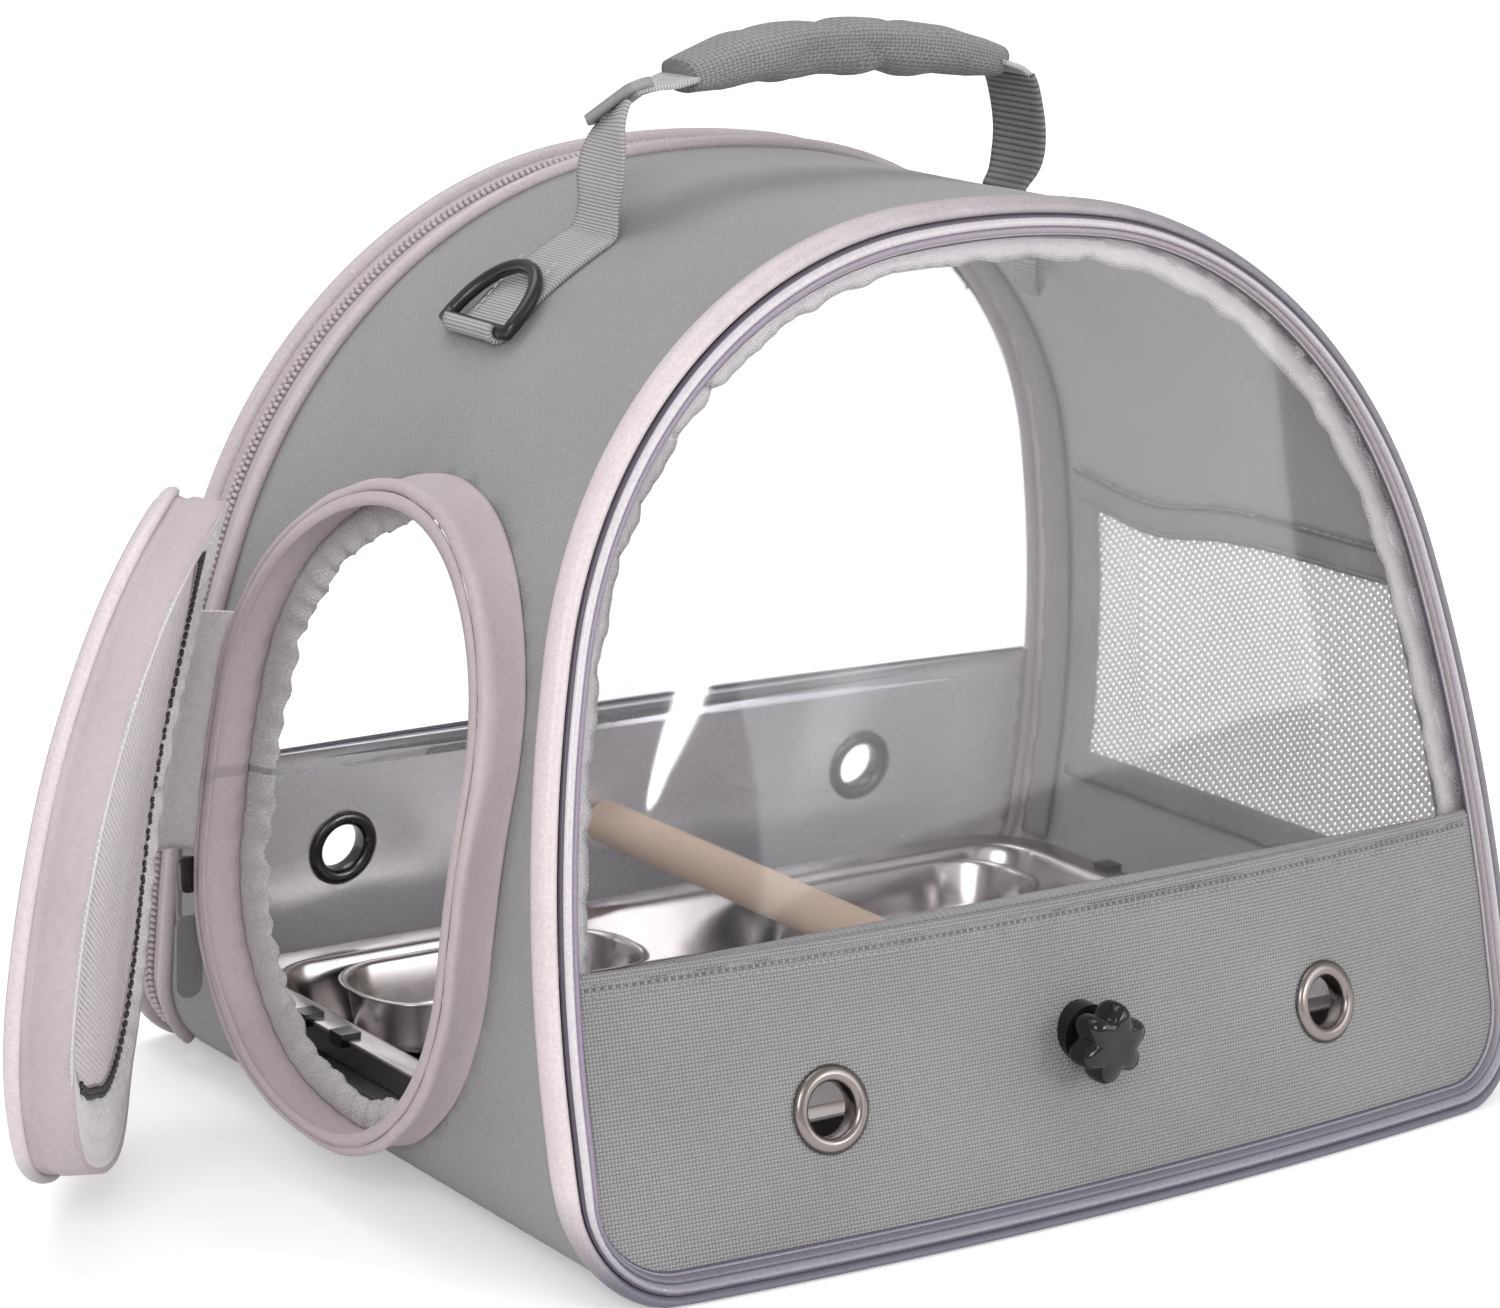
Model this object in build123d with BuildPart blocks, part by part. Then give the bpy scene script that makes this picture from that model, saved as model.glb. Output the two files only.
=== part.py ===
"""Soft-sided bird travel carrier.

An arched fabric tunnel (the gusset) stands on a stiff base.  Its front is closed by a clear
window over a fabric panel, its back by a zipped door of the same build, its right wall has a
mesh window and its left wall a raised collar with a zipped mesh door.  A perch on a star knob,
a steel tray with two cups, a webbing handle and two D-rings complete it.

Millimetres.  +Z up, +X to the right as seen from the front, the front faces -Y.
The origin lies under the middle of the base, on the surface that the carrier stands on.
"""

import os
from math import asin, atan2, cos, degrees, radians, sin, sqrt

from build123d import *

os.makedirs("parts", exist_ok=True)

# ------------------------------------------------------------------ body: the arched tunnel
HALF_WIDTH = 184.0          # at the waist, where the side walls stand upright
HEIGHT = 290.0
BASE_DEPTH = 259.0          # front to back, along the side walls, at the base
CORNER_RADIUS = 31.0        # bottom corners
WAIST_HEIGHT = 52.0         # the side walls start to lean in above this
SIDE_TURN = 15.2            # degrees that each side wall turns through
SHOULDER_TURN = 68.0        # degrees that each shoulder turns through
SHOULDER_RADIUS = 154.0
FRONT_LEAN = 0.267          # the front face moves back by this much per millimetre of height
REAR_LEAN = 0.112           # and the rear face moves forwards by this much
FRONT_BOW = 11.0            # how far the middle of the front face stands forwards
REAR_BOW = 6.0              # and how far the middle of the rear face stands backwards
WALL = 3.0                  # foam-backed fabric

SEAT = 0.3                  # gap between soft pieces on different bodies
NAP = 0.05                  # gap that the cloth's nap fills between sewn layers
MARGIN = 20.0               # how far construction blocks reach past the body

# ------------------------------------------------------------------ panels and windows
SHEET = 1.2                 # clear plastic
CLOTH = 2.0                 # fabric panel
LINING = 1.6                # silver-faced lining
LINING_GAP = 0.2            # lining edge to the wall beside it
FRONT_PANEL_TOP = 90.0
REAR_PANEL_TOP = 94.0
WINDOW_LAP = 8.0            # how far a window reaches down behind its panel

PIPING_OUT = 3.0            # piping stands proud of the wall by this much
PIPING_IN = 4.0             # and reaches inside the wall line by this much
PIPING_WIDTH = 8.0          # front to back
WELT_WIDTH = 5.0            # clear welt inside the front piping
HOOP = 2.0                  # square spring-steel hoop inside the piping

# ------------------------------------------------------------------ rear zip, front to back
ZIP_BAND = 24.0             # from the end of the tunnel wall to the rear face
SEAM_PIPING = 5.0
COIL_WIDTH = 2.3            # half a zip chain
COIL_HEIGHT = 1.5           # chain above and below the tape's face
TAPE = 1.2
CHAIN_FROM_FACE = 10.0      # middle of the closed chain to the rear face
ZIP_LOW = 7.5               # the zip's ends stand this far above the ground
REAR_PIPING_IN = 3.0        # rear piping, inside the rear face
REAR_PIPING_OUT = 4.0       # rear piping, outside the rear face

# ------------------------------------------------------------------ base, tray and cups
BOARD = 3.0
BOARD_GAP = 1.0             # board edge to the tunnel's flat floor
BOARD_FROM_REAR = 8.0       # board edge to the rear face
FLOOR_LINING = 1.0

TRAY_SIDE_GAP = 18.0        # tray rim's ends to the side walls' widest line
TRAY_FRONT = -104.0
TRAY_REAR = 108.0
TRAY_TOP = 30.0             # height of the rim above the ground
TRAY_CORNER = 28.0
TRAY_RIM = 11.0
TRAY_DRAFT = 22.0           # degrees
STEEL = 1.0

CUP_LENGTH = 108.0
CUP_WIDTH = 50.0
CUP_HEIGHT = 20.0
CUP_CORNER = 22.0
CUP_RIM = 2.5
CUP_FROM_END = 17.0         # cup rim to the tray's end wall, at the rim
CUP_FROM_WALL = 5.0         # cup rim to the tray's rear wall, at the rim
CUP_LIFT = 0.3              # running gap under a cup

CLIP_WIDTH = 7.0            # black clips on the tray's end rims
CLIP_THICK = 1.6
CLIP_GRIP = 0.1
CLIP_YS = (50.0, 28.0)

# ------------------------------------------------------------------ perch and knob
PERCH_X = -4.5              # the knob's hole is punched a little left of the middle
PERCH_HEIGHT = 52.0
PERCH_RADIUS = 7.5
PERCH_CHAMFER = 2.0
PERCH_REAR_GAP = 2.0        # perch end to the rear lining
STUD_RADIUS = 2.5
STUD_IN_PERCH = 18.0
STUD_HOLE = 2.7
WASHER_RADIUS = 9.0
WASHER_THICK = 1.2          # at its thin edge
KNOB_RADIUS = 12.5
KNOB_THICK = 11.0
KNOB_LOBES = 6
KNOB_GROOVE = 3.6           # radius of the hollows between lobes
KNOB_CHAMFER = 1.8
KNOB_HUB_RADIUS = 7.5
KNOB_HUB = 3.0
KNOB_RUN = 0.05             # radial clearance on the stud
KNOB_CAP = 3.0              # closed end over the stud

# ------------------------------------------------------------------ eyelets
EYELET_RADIUS = 13.0
EYELET_HOLE = 8.0
EYELET_FLANGE = 1.4
EYELET_WALL = 0.8
EYELET_SEAT = 0.05          # the flat flange rides this far off the bowed cloth
FRONT_EYELET_X = 97.0
FRONT_EYELET_Z = 43.0
REAR_EYELET_X = 108.0
REAR_EYELET_Z = 57.0

# ------------------------------------------------------------------ mesh window, right wall
MESH_LOW = 56.0
MESH_HIGH = 168.0
MESH_FRONT_EDGE = 12.0      # from the front face
MESH_REAR_EDGE = 34.0       # from the rear face
MESH = 1.0
BINDING = 1.4
BINDING_WIDTH = 8.0

# ------------------------------------------------------------------ side opening and its door
DOOR_Y = -12.0
DOOR_Z = 112.0
DOOR_HALF_WIDTH = 72.0
DOOR_HALF_HEIGHT = 98.0
COLLAR = 16.0               # how far the collar stands out
COLLAR_WALL = 3.0
ZIP_TAPE_WIDTH = 6.0
ZIP_TAPE = 1.5
DOOR_DEPTH = 16.0           # how far the door's own band stands out
DOOR_BORDER = 8.0           # fabric border on the door's outer face
DOOR_BINDING = 22.0         # gathered binding around the door's mesh, on its inner face
DOOR_PIPING = 3.5
HINGE_LOW = 84.0            # the fabric hinge lies between these heights
HINGE_HIGH = 160.0
DOOR_OPEN = 37.0            # degrees open, as it stands
HINGE_BACK = 14.0           # the hinge cloth reaches back this far from the opening's edge
HINGE_OUT = 19.5            # hinge line to the side wall, at half height
HINGE_LEAN_X = -0.02        # the line's run per millimetre of height
HINGE_LEAN_Y = -0.03
HINGE_CLOTH = 1.6

# ------------------------------------------------------------------ handle and D-rings
STRAP_WIDTH = 25.0
STRAP = 1.6
HANDLE_Y = 20.0
LEFT_FOOT = 64.6            # degrees round the shoulder, up from level
RIGHT_FOOT = 69.9
STRAP_RUN = 18.3            # degrees from the handle's foot down to the D-ring
HANDLE_LEFT_X = -88.0
HANDLE_LEFT_RISE = 23.0     # the handle's corners stand this far above the roof
HANDLE_RIGHT_X = 74.0
HANDLE_RIGHT_RISE = 32.0
HANDLE_RISE = 13.0
GRIP_LEFT = -57.0
GRIP_RIGHT = 64.0
GRIP_HEIGHT = 15.0
GRIP_WIDTH = 31.0
GRIP_CHAMFER = 5.0
SLIDE_LEFT = -83.0
SLIDE_LENGTH = 19.0
SLIDE_WIDTH = 33.0
SLIDE_BAR = 3.0
RING_ROD = 2.0              # radius of the ring's bar
RING_FLAT = 0.8             # the bow is this much thinner than its bar
RING_LENGTH = 24.0
LOOP_RUN = 0.3              # webbing loop around the ring's bar

HANG_LOOP_X = 112.0
HANG_LOOP_Y = 50.0
HANG_LOOP_DROP = 14.0
HANG_LOOP_WIDTH = 10.0

# ------------------------------------------------------------------ zip sliders
SLIDER_LENGTH = 11.0
SLIDER_WIDTH = 9.0
SLIDER_PLATE = 1.6
SLIDER_RIDE = 0.5           # gap over the chain, which is not quite a true arc
BRIDGE = 4.4                # height of the slider's bridge
PULL_WIDTH = 9.0
PULL_TAB = 26.0             # length of the flat tab
PULL_THICK = 1.8
PULL_EYE = 4.2              # half-width of the pull's eye
PULL_BAR = 1.5
BRIDGE_WIDTH = 3.0

# ------------------------------------------------------------------ worked-out geometry
TOP_TURN = 90.0 - SIDE_TURN - SHOULDER_TURN
_side, _top = radians(SIDE_TURN), radians(SIDE_TURN + SHOULDER_TURN)
# The side and top arcs meet the shoulder smoothly and reach the stated width and height:
# two linear equations in their radii.
_run = HALF_WIDTH - SHOULDER_RADIUS * (cos(_side) - cos(_top))
_rise = HEIGHT - WAIST_HEIGHT - SHOULDER_RADIUS * (sin(_top) - sin(_side))
_det = (1 - cos(_side)) * (1 - sin(_top)) - cos(_top) * sin(_side)
SIDE_RADIUS = (_run * (1 - sin(_top)) - cos(_top) * _rise) / _det
TOP_RADIUS = ((1 - cos(_side)) * _rise - sin(_side) * _run) / _det
CORNER_CENTRE = (HALF_WIDTH - CORNER_RADIUS, CORNER_RADIUS)
SIDE_CENTRE = (HALF_WIDTH - SIDE_RADIUS, WAIST_HEIGHT)
SHOULDER_CENTRE = (
    SIDE_CENTRE[0] + (SIDE_RADIUS - SHOULDER_RADIUS) * cos(_side),
    SIDE_CENTRE[1] + (SIDE_RADIUS - SHOULDER_RADIUS) * sin(_side),
)
TOP_CENTRE = (0.0, HEIGHT - TOP_RADIUS)

HALF_DEPTH = BASE_DEPTH / 2
TRAY_HALF_LENGTH = HALF_WIDTH - TRAY_SIDE_GAP
CUP_X = TRAY_HALF_LENGTH - TRAY_RIM - CUP_FROM_END - CUP_LENGTH / 2
HANDLE_LEFT_Z = HEIGHT + HANDLE_LEFT_RISE
HANDLE_RIGHT_Z = HEIGHT + HANDLE_RIGHT_RISE
REACH = HALF_DEPTH + 3 * MARGIN
FLOOR_TOP = WALL + BOARD + FLOOR_LINING
PANEL_FACE = SHEET + CLOTH          # outer face of the front panel, forward of the front face


def half_width_at(height: float, outwards: float = 0.0) -> float:
    """Half-width of the arch at a height below the shoulder, moved outwards."""
    if height < CORNER_RADIUS:
        drop = CORNER_RADIUS - height
        return CORNER_CENTRE[0] + sqrt((CORNER_RADIUS + outwards) ** 2 - drop**2)
    if height <= WAIST_HEIGHT:
        return HALF_WIDTH + outwards
    rise = height - SIDE_CENTRE[1]
    return SIDE_CENTRE[0] + sqrt((SIDE_RADIUS + outwards) ** 2 - rise**2)


def on_shoulder(angle: float, outwards: float = 0.0) -> tuple[float, float]:
    """Point (x, z) on the right shoulder, at an angle up from level."""
    reach = SHOULDER_RADIUS + outwards
    turn = radians(angle)
    return SHOULDER_CENTRE[0] + reach * cos(turn), SHOULDER_CENTRE[1] + reach * sin(turn)


def front_y(x: float, z: float, forwards: float = 0.0) -> float:
    """Depth of the front face at a place, moved forwards."""
    bow = FRONT_BOW * (1 - (x / HALF_WIDTH) ** 2)
    return -HALF_DEPTH + FRONT_LEAN * z - bow - forwards


def rear_y(x: float, z: float, backwards: float = 0.0) -> float:
    """Depth of the rear face at a place, moved backwards."""
    bow = REAR_BOW * (1 - (x / HALF_WIDTH) ** 2)
    return HALF_DEPTH - REAR_LEAN * z + bow + backwards


# ------------------------------------------------------------------ building blocks
def arch_face(outwards: float = 0.0, mode: Mode = Mode.ADD):
    """Arch outline moved outwards, on the active sketch."""
    with BuildLine() as outline:
        Line((0, -outwards), (CORNER_CENTRE[0], -outwards))
        CenterArc(CORNER_CENTRE, CORNER_RADIUS + outwards, -90, 90)
        Line((HALF_WIDTH + outwards, CORNER_RADIUS), (HALF_WIDTH + outwards, WAIST_HEIGHT))
        CenterArc(SIDE_CENTRE, SIDE_RADIUS + outwards, 0, SIDE_TURN)
        CenterArc(SHOULDER_CENTRE, SHOULDER_RADIUS + outwards, SIDE_TURN, SHOULDER_TURN)
        CenterArc(TOP_CENTRE, TOP_RADIUS + outwards, SIDE_TURN + SHOULDER_TURN, TOP_TURN)
        mirror(about=Plane.YZ)
    make_face(outline.edges(), mode=mode)


def arch_block(outwards: float = 0.0, mode: Mode = Mode.ADD):
    """The arch run straight through, front to back."""
    with BuildSketch(Plane.XZ) as section:
        arch_face(outwards)
    extrude(section.sketch, amount=REACH, both=True, mode=mode)


def arch_band(outer: float, inner: float, mode: Mode = Mode.ADD):
    """The space between two arches, run straight through."""
    with BuildSketch(Plane.XZ) as section:
        arch_face(outer)
        arch_face(inner, mode=Mode.SUBTRACT)
    extrude(section.sketch, amount=REACH, both=True, mode=mode)


def face_block(facing: int, outwards: float, mode: Mode = Mode.INTERSECT):
    """Everything inside the bowed, leaning front (-1) or rear (1) face, moved outwards."""
    lean, bow = (FRONT_LEAN, FRONT_BOW) if facing < 0 else (REAR_LEAN, REAR_BOW)
    radius = (HALF_WIDTH**2 + bow**2) / (2 * bow)
    foot = facing * (HALF_DEPTH + lean * MARGIN)
    with BuildSketch(Plane.XY.offset(-MARGIN)) as section:
        with Locations((0, foot + facing * (bow - radius))):
            Circle(radius + outwards)
        with Locations((0, facing * lean * MARGIN)):
            Rectangle(2 * (HALF_WIDTH + 3 * MARGIN), 2 * REACH, mode=Mode.INTERSECT)
    extrude(section.sketch, amount=HEIGHT + 3 * MARGIN, dir=(0, -facing * lean, 1), mode=mode)


def front_block(forwards: float, mode: Mode = Mode.INTERSECT):
    """Everything behind the front face moved forwards."""
    face_block(-1, forwards, mode)


def rear_block(backwards: float, mode: Mode = Mode.INTERSECT):
    """Everything in front of the rear face moved backwards."""
    face_block(1, backwards, mode)


def box_between(low, high, mode: Mode = Mode.INTERSECT):
    """A box from its lowest to its highest corner."""
    size = [b - a for a, b in zip(low, high)]
    centre = [(a + b) / 2 for a, b in zip(low, high)]
    with Locations(tuple(centre)):
        Box(*size, mode=mode)


def height_between(low: float, high: float, mode: Mode = Mode.INTERSECT):
    """A slab of the given heights, wider and deeper than the body."""
    box_between((-2 * HALF_WIDTH, -2 * REACH, low), (2 * HALF_WIDTH, 2 * REACH, high), mode)


def above_ground():
    """Keep only what lies above the ground."""
    height_between(0, HEIGHT + 3 * MARGIN)


def door_outline(grow: float = 0.0, side: int = -1, mode: Mode = Mode.ADD):
    """Round-ended outline of the side opening, grown, run out from the middle of the body."""
    with BuildSketch(Plane.YZ) as section:
        with Locations((DOOR_Y, DOOR_Z)):
            SlotOverall(
                2 * (DOOR_HALF_HEIGHT + grow), 2 * (DOOR_HALF_WIDTH + grow), rotation=90
            )
    extrude(section.sketch, amount=side * (HALF_WIDTH + 4 * MARGIN), mode=mode)


def door_band(grow: float, shrink: float, inner: float, outer: float):
    """Ring of the side door's outline that stands between two distances from the wall."""
    arch_band(outer, inner)
    door_outline(grow, mode=Mode.INTERSECT)
    door_outline(shrink, mode=Mode.SUBTRACT)


def eyelet_ring(normal: tuple[float, float, float], place, back: float, front: float):
    """Pressed eyelet: a flange on each face and a barrel, along the panel's normal.

    back and front are the panel's two faces, as distances along the normal.
    """
    frame = Plane(origin=place, z_dir=normal)
    inner, outer = back - EYELET_SEAT, front + EYELET_SEAT
    for low, high, radius in (
        (outer, outer + EYELET_FLANGE, EYELET_RADIUS),
        (inner, outer, EYELET_HOLE + EYELET_WALL),
        (inner - EYELET_FLANGE, inner, EYELET_RADIUS),
    ):
        with BuildSketch(frame.offset(low)) as section:
            Circle(radius)
            Circle(EYELET_HOLE, mode=Mode.SUBTRACT)
        extrude(section.sketch, amount=high - low)


def eyelet_hole(normal: tuple[float, float, float], place):
    """Clear hole for an eyelet's barrel."""
    frame = Plane(origin=place, z_dir=normal)
    with BuildSketch(frame.offset(-MARGIN)) as section:
        Circle(EYELET_HOLE + EYELET_WALL)
    extrude(section.sketch, amount=2 * MARGIN, mode=Mode.SUBTRACT)


def save(piece: Part, name: str):
    """Label a finished piece and write its file."""
    piece.label = name
    export_step(piece, f"parts/{name}.step")


def panel_place(facing: int, x: float, z: float):
    """Point on the front (-1) or rear (1) face, and the outward normal there."""
    lean, bow = (FRONT_LEAN, FRONT_BOW) if facing < 0 else (REAR_LEAN, REAR_BOW)
    y = front_y(x, z) if facing < 0 else rear_y(x, z)
    slope = 2 * bow * x / HALF_WIDTH**2
    length = sqrt(slope**2 + 1 + lean**2)
    return (x, y, z), (slope / length, facing / length, lean / length)


# ------------------------------------------------------------------ tunnel wall
def mesh_area(grow: float, mode: Mode):
    """Block through the right wall, the mesh window's outline grown."""
    block = BuildPart(mode=Mode.PRIVATE)
    with block:
        box_between(
            (0.0, -REACH, MESH_LOW - grow), (HALF_WIDTH + MARGIN, REACH, MESH_HIGH + grow), Mode.ADD
        )
        front_block(grow - MESH_FRONT_EDGE)
        rear_block(grow - MESH_REAR_EDGE)
    add(block.part, mode=mode)


with BuildPart() as tail:
    arch_band(0.0, -WALL)
    height_between(0, WALL)
    rear_block(-REAR_PIPING_IN - SEAT)
    rear_block(-ZIP_BAND, Mode.SUBTRACT)

with BuildPart() as gusset_shell:
    arch_band(0.0, -WALL)
    front_block(0.0)
    rear_block(-ZIP_BAND)
    mesh_area(0.0, Mode.SUBTRACT)
    door_outline(-COLLAR_WALL, mode=Mode.SUBTRACT)
    # the floor runs on to the rear piping, where the back door folds down
    add(tail.part)
save(gusset_shell.part, "gusset_shell")

with BuildPart() as base_board:
    half = CORNER_CENTRE[0] - BOARD_GAP
    box_between((-half, -REACH, WALL), (half, REACH, WALL + BOARD), Mode.ADD)
    front_block(-LINING - BOARD_GAP)
    rear_block(-BOARD_FROM_REAR)
save(base_board.part, "base_board")

with BuildPart() as floor_lining:
    half = CORNER_CENTRE[0] - BOARD_GAP
    box_between((-half, -REACH, WALL + BOARD), (half, REACH, FLOOR_TOP), Mode.ADD)
    front_block(-LINING - BOARD_GAP)
    rear_block(-BOARD_FROM_REAR)
save(floor_lining.part, "floor_lining")

# ------------------------------------------------------------------ front
FRONT_EYELETS = [panel_place(-1, side * FRONT_EYELET_X, FRONT_EYELET_Z) for side in (-1, 1)]


def stud_hole():
    """Clear hole for the perch's stud through the front."""
    with BuildSketch(Plane.XZ) as section:
        with Locations((PERCH_X, PERCH_HEIGHT)):
            Circle(STUD_HOLE)
    extrude(section.sketch, amount=REACH, mode=Mode.SUBTRACT)


with BuildPart() as front_window:
    arch_block(-PIPING_IN)
    front_block(SHEET)
    front_block(0.0, Mode.SUBTRACT)
    height_between(FRONT_PANEL_TOP - WINDOW_LAP, HEIGHT)
save(front_window.part, "front_window")

with BuildPart() as front_panel:
    arch_block(-PIPING_IN)
    front_block(PANEL_FACE)
    front_block(SHEET, Mode.SUBTRACT)
    height_between(0, FRONT_PANEL_TOP)
    for spot, normal in FRONT_EYELETS:
        eyelet_hole(normal, spot)
    stud_hole()
save(front_panel.part, "front_panel")

with BuildPart() as front_lining:
    arch_block(-WALL - LINING_GAP)
    front_block(0.0)
    front_block(-LINING, Mode.SUBTRACT)
    height_between(WALL + LINING_GAP, FRONT_PANEL_TOP - WINDOW_LAP)
    for spot, normal in FRONT_EYELETS:
        eyelet_hole(normal, spot)
    stud_hole()
save(front_lining.part, "front_lining")

with BuildPart() as front_hoop:
    arch_band(HOOP / 2, -HOOP / 2)
    front_block(PIPING_WIDTH / 2 + HOOP / 2)
    front_block(PIPING_WIDTH / 2 - HOOP / 2, Mode.SUBTRACT)
    above_ground()
save(front_hoop.part, "front_hoop")

with BuildPart() as front_piping:
    arch_band(PIPING_OUT, -PIPING_IN)
    front_block(PIPING_WIDTH)
    front_block(0.0, Mode.SUBTRACT)
    above_ground()
    add(front_hoop.part, mode=Mode.SUBTRACT)
save(front_piping.part, "front_piping")

with BuildPart() as front_welt:
    arch_band(-PIPING_IN, -PIPING_IN - WELT_WIDTH)
    front_block(PANEL_FACE + CLOTH)
    front_block(PANEL_FACE, Mode.SUBTRACT)
save(front_welt.part, "front_welt")

with BuildPart() as front_eyelets:
    for spot, normal in FRONT_EYELETS:
        eyelet_ring(normal, spot, -LINING, PANEL_FACE)
save(front_eyelets.part, "front_eyelets")

# ------------------------------------------------------------------ right wall mesh window
with BuildPart() as mesh_window:
    arch_band(-WALL, -WALL - MESH)
    mesh_area(BINDING_WIDTH / 2, Mode.INTERSECT)
save(mesh_window.part, "mesh_window")

with BuildPart() as mesh_binding:
    arch_band(-WALL - MESH - NAP, -WALL - MESH - NAP - BINDING)
    mesh_area(BINDING_WIDTH / 2, Mode.INTERSECT)
    mesh_area(-BINDING_WIDTH / 2, Mode.SUBTRACT)
save(mesh_binding.part, "mesh_binding")

# ------------------------------------------------------------------ side opening's collar
with BuildPart() as door_collar:
    door_band(0.0, -COLLAR_WALL, 0.0, COLLAR)
save(door_collar.part, "door_collar")

with BuildPart() as collar_binding:
    door_band(BINDING_WIDTH / 2, -COLLAR_WALL - BINDING_WIDTH, -WALL - BINDING, -WALL)
    height_between(FLOOR_TOP + SEAT, HEIGHT)
save(collar_binding.part, "collar_binding")

COLLAR_TOP = COLLAR + ZIP_TAPE
with BuildPart() as collar_zip_tape:
    door_band(0.0, -ZIP_TAPE_WIDTH, COLLAR, COLLAR_TOP)
save(collar_zip_tape.part, "collar_zip_tape")

# ------------------------------------------------------------------ side door, drawn closed
DOOR_SEAT = COLLAR_TOP + SEAT
DOOR_BAND_TOP = DOOR_SEAT + ZIP_TAPE + DOOR_DEPTH
DOOR_MESH_FACE = DOOR_SEAT + ZIP_TAPE + BINDING
HINGE_MID = (
    -half_width_at((HINGE_LOW + HINGE_HIGH) / 2, HINGE_OUT),
    DOOR_Y + DOOR_HALF_WIDTH + HINGE_BACK,
    (HINGE_LOW + HINGE_HIGH) / 2,
)
SIDE_HINGE = Axis(HINGE_MID, (HINGE_LEAN_X, HINGE_LEAN_Y, 1))


def hinge_web(edge_out: float, gap: float):
    """Cloth from the rear edge of the side opening to the hinge line.

    edge_out is the cloth's face at the opening, out from the wall.  gap is its face at the
    hinge line, out from the line.  The sign of gap says on which side the cloth lies.
    """
    thick = HINGE_CLOTH if gap > 0 else -HINGE_CLOTH
    webs = []
    for height in (HINGE_LOW, HINGE_MID[2], DOOR_Z + DOOR_HALF_HEIGHT - DOOR_HALF_WIDTH, HINGE_HIGH):
        rise = height - HINGE_MID[2]
        line_x = HINGE_MID[0] + HINGE_LEAN_X * rise
        line_y = HINGE_MID[1] + HINGE_LEAN_Y * rise - SEAT
        bend = max(0.0, abs(height - DOOR_Z) - (DOOR_HALF_HEIGHT - DOOR_HALF_WIDTH))
        edge_y = DOOR_Y + sqrt(DOOR_HALF_WIDTH**2 - bend**2) - ZIP_TAPE
        with BuildSketch(Plane.XY.offset(height)) as web:
            with BuildLine():
                Polyline(
                    (-half_width_at(height, edge_out), edge_y),
                    (line_x - gap, line_y),
                    (line_x - gap - thick, line_y),
                    (-half_width_at(height, edge_out + thick), edge_y),
                    close=True,
                )
            make_face()
        webs.append(web.sketch)
    loft(webs, ruled=True)
    door_outline(NAP, mode=Mode.SUBTRACT)


def save_opened(closed: Part, name: str):
    """Swing a piece of the side door from closed to where the door stands, and write it."""
    with BuildPart() as opened:
        add(closed.rotate(SIDE_HINGE, -DOOR_OPEN))
    save(opened.part, name)


with BuildPart() as door_zip_tape:
    door_band(0.0, -ZIP_TAPE_WIDTH, DOOR_SEAT, DOOR_SEAT + ZIP_TAPE)
save_opened(door_zip_tape.part, "door_zip_tape")

with BuildPart() as door_rim:
    door_band(0.0, -COLLAR_WALL, DOOR_SEAT + ZIP_TAPE, DOOR_BAND_TOP)
save_opened(door_rim.part, "door_band")

with BuildPart() as door_border:
    door_band(0.0, -DOOR_BORDER, DOOR_BAND_TOP, DOOR_BAND_TOP + CLOTH)
save_opened(door_border.part, "door_border")

with BuildPart() as door_piping:
    door_band(DOOR_PIPING, 0.0, DOOR_BAND_TOP - DOOR_PIPING, DOOR_BAND_TOP + CLOTH)
save_opened(door_piping.part, "door_piping")

with BuildPart() as door_binding:
    door_band(-COLLAR_WALL, -DOOR_BINDING, DOOR_SEAT + ZIP_TAPE, DOOR_MESH_FACE)
save_opened(door_binding.part, "door_binding")

with BuildPart() as door_mesh:
    arch_band(DOOR_MESH_FACE + MESH, DOOR_MESH_FACE)
    door_outline(-COLLAR_WALL, mode=Mode.INTERSECT)
save_opened(door_mesh.part, "door_mesh")

# Cloth hinge: one layer is sewn to the collar and one to the door, and they join at the line
with BuildPart() as hinge_strip:
    hinge_web(COLLAR_TOP, -SEAT)
save(hinge_strip.part, "hinge_strip")

with BuildPart() as door_hinge_strip:
    hinge_web(DOOR_SEAT, SEAT)
save_opened(door_hinge_strip.part, "door_hinge_strip")

# ------------------------------------------------------------------ rear zip and back door
FIXED_CHAIN_END = CHAIN_FROM_FACE + SEAT / 2
DOOR_CHAIN_START = CHAIN_FROM_FACE - SEAT / 2


def rear_ring(outer: float, inner: float, fore: float, aft: float, low: float = ZIP_LOW):
    """Ring round the rear arch, between two distances in front of the rear face.

    It stops at a height above the ground, so that the zip's ends leave the floor uncut.
    """
    arch_band(outer, inner)
    rear_block(-aft)
    rear_block(-fore, Mode.SUBTRACT)
    height_between(low, HEIGHT + MARGIN)


with BuildPart() as rear_hoop:
    middle = ZIP_BAND - SEAM_PIPING / 2
    rear_ring(HOOP / 2, -HOOP / 2, middle + HOOP / 2, middle - HOOP / 2)
save(rear_hoop.part, "rear_hoop")

with BuildPart() as rear_seam_piping:
    rear_ring(PIPING_OUT, -WALL, ZIP_BAND, ZIP_BAND - SEAM_PIPING)
    add(rear_hoop.part, mode=Mode.SUBTRACT)
save(rear_seam_piping.part, "rear_seam_piping")

with BuildPart() as rear_zip_tape_fixed:
    rear_ring(0.0, -TAPE, ZIP_BAND - SEAM_PIPING, FIXED_CHAIN_END + COIL_WIDTH)
save(rear_zip_tape_fixed.part, "rear_zip_tape_fixed")

with BuildPart() as rear_zip_coil_fixed:
    rear_ring(COIL_HEIGHT, -COIL_HEIGHT, FIXED_CHAIN_END + COIL_WIDTH, FIXED_CHAIN_END)
save(rear_zip_coil_fixed.part, "rear_zip_coil_fixed")

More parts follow.
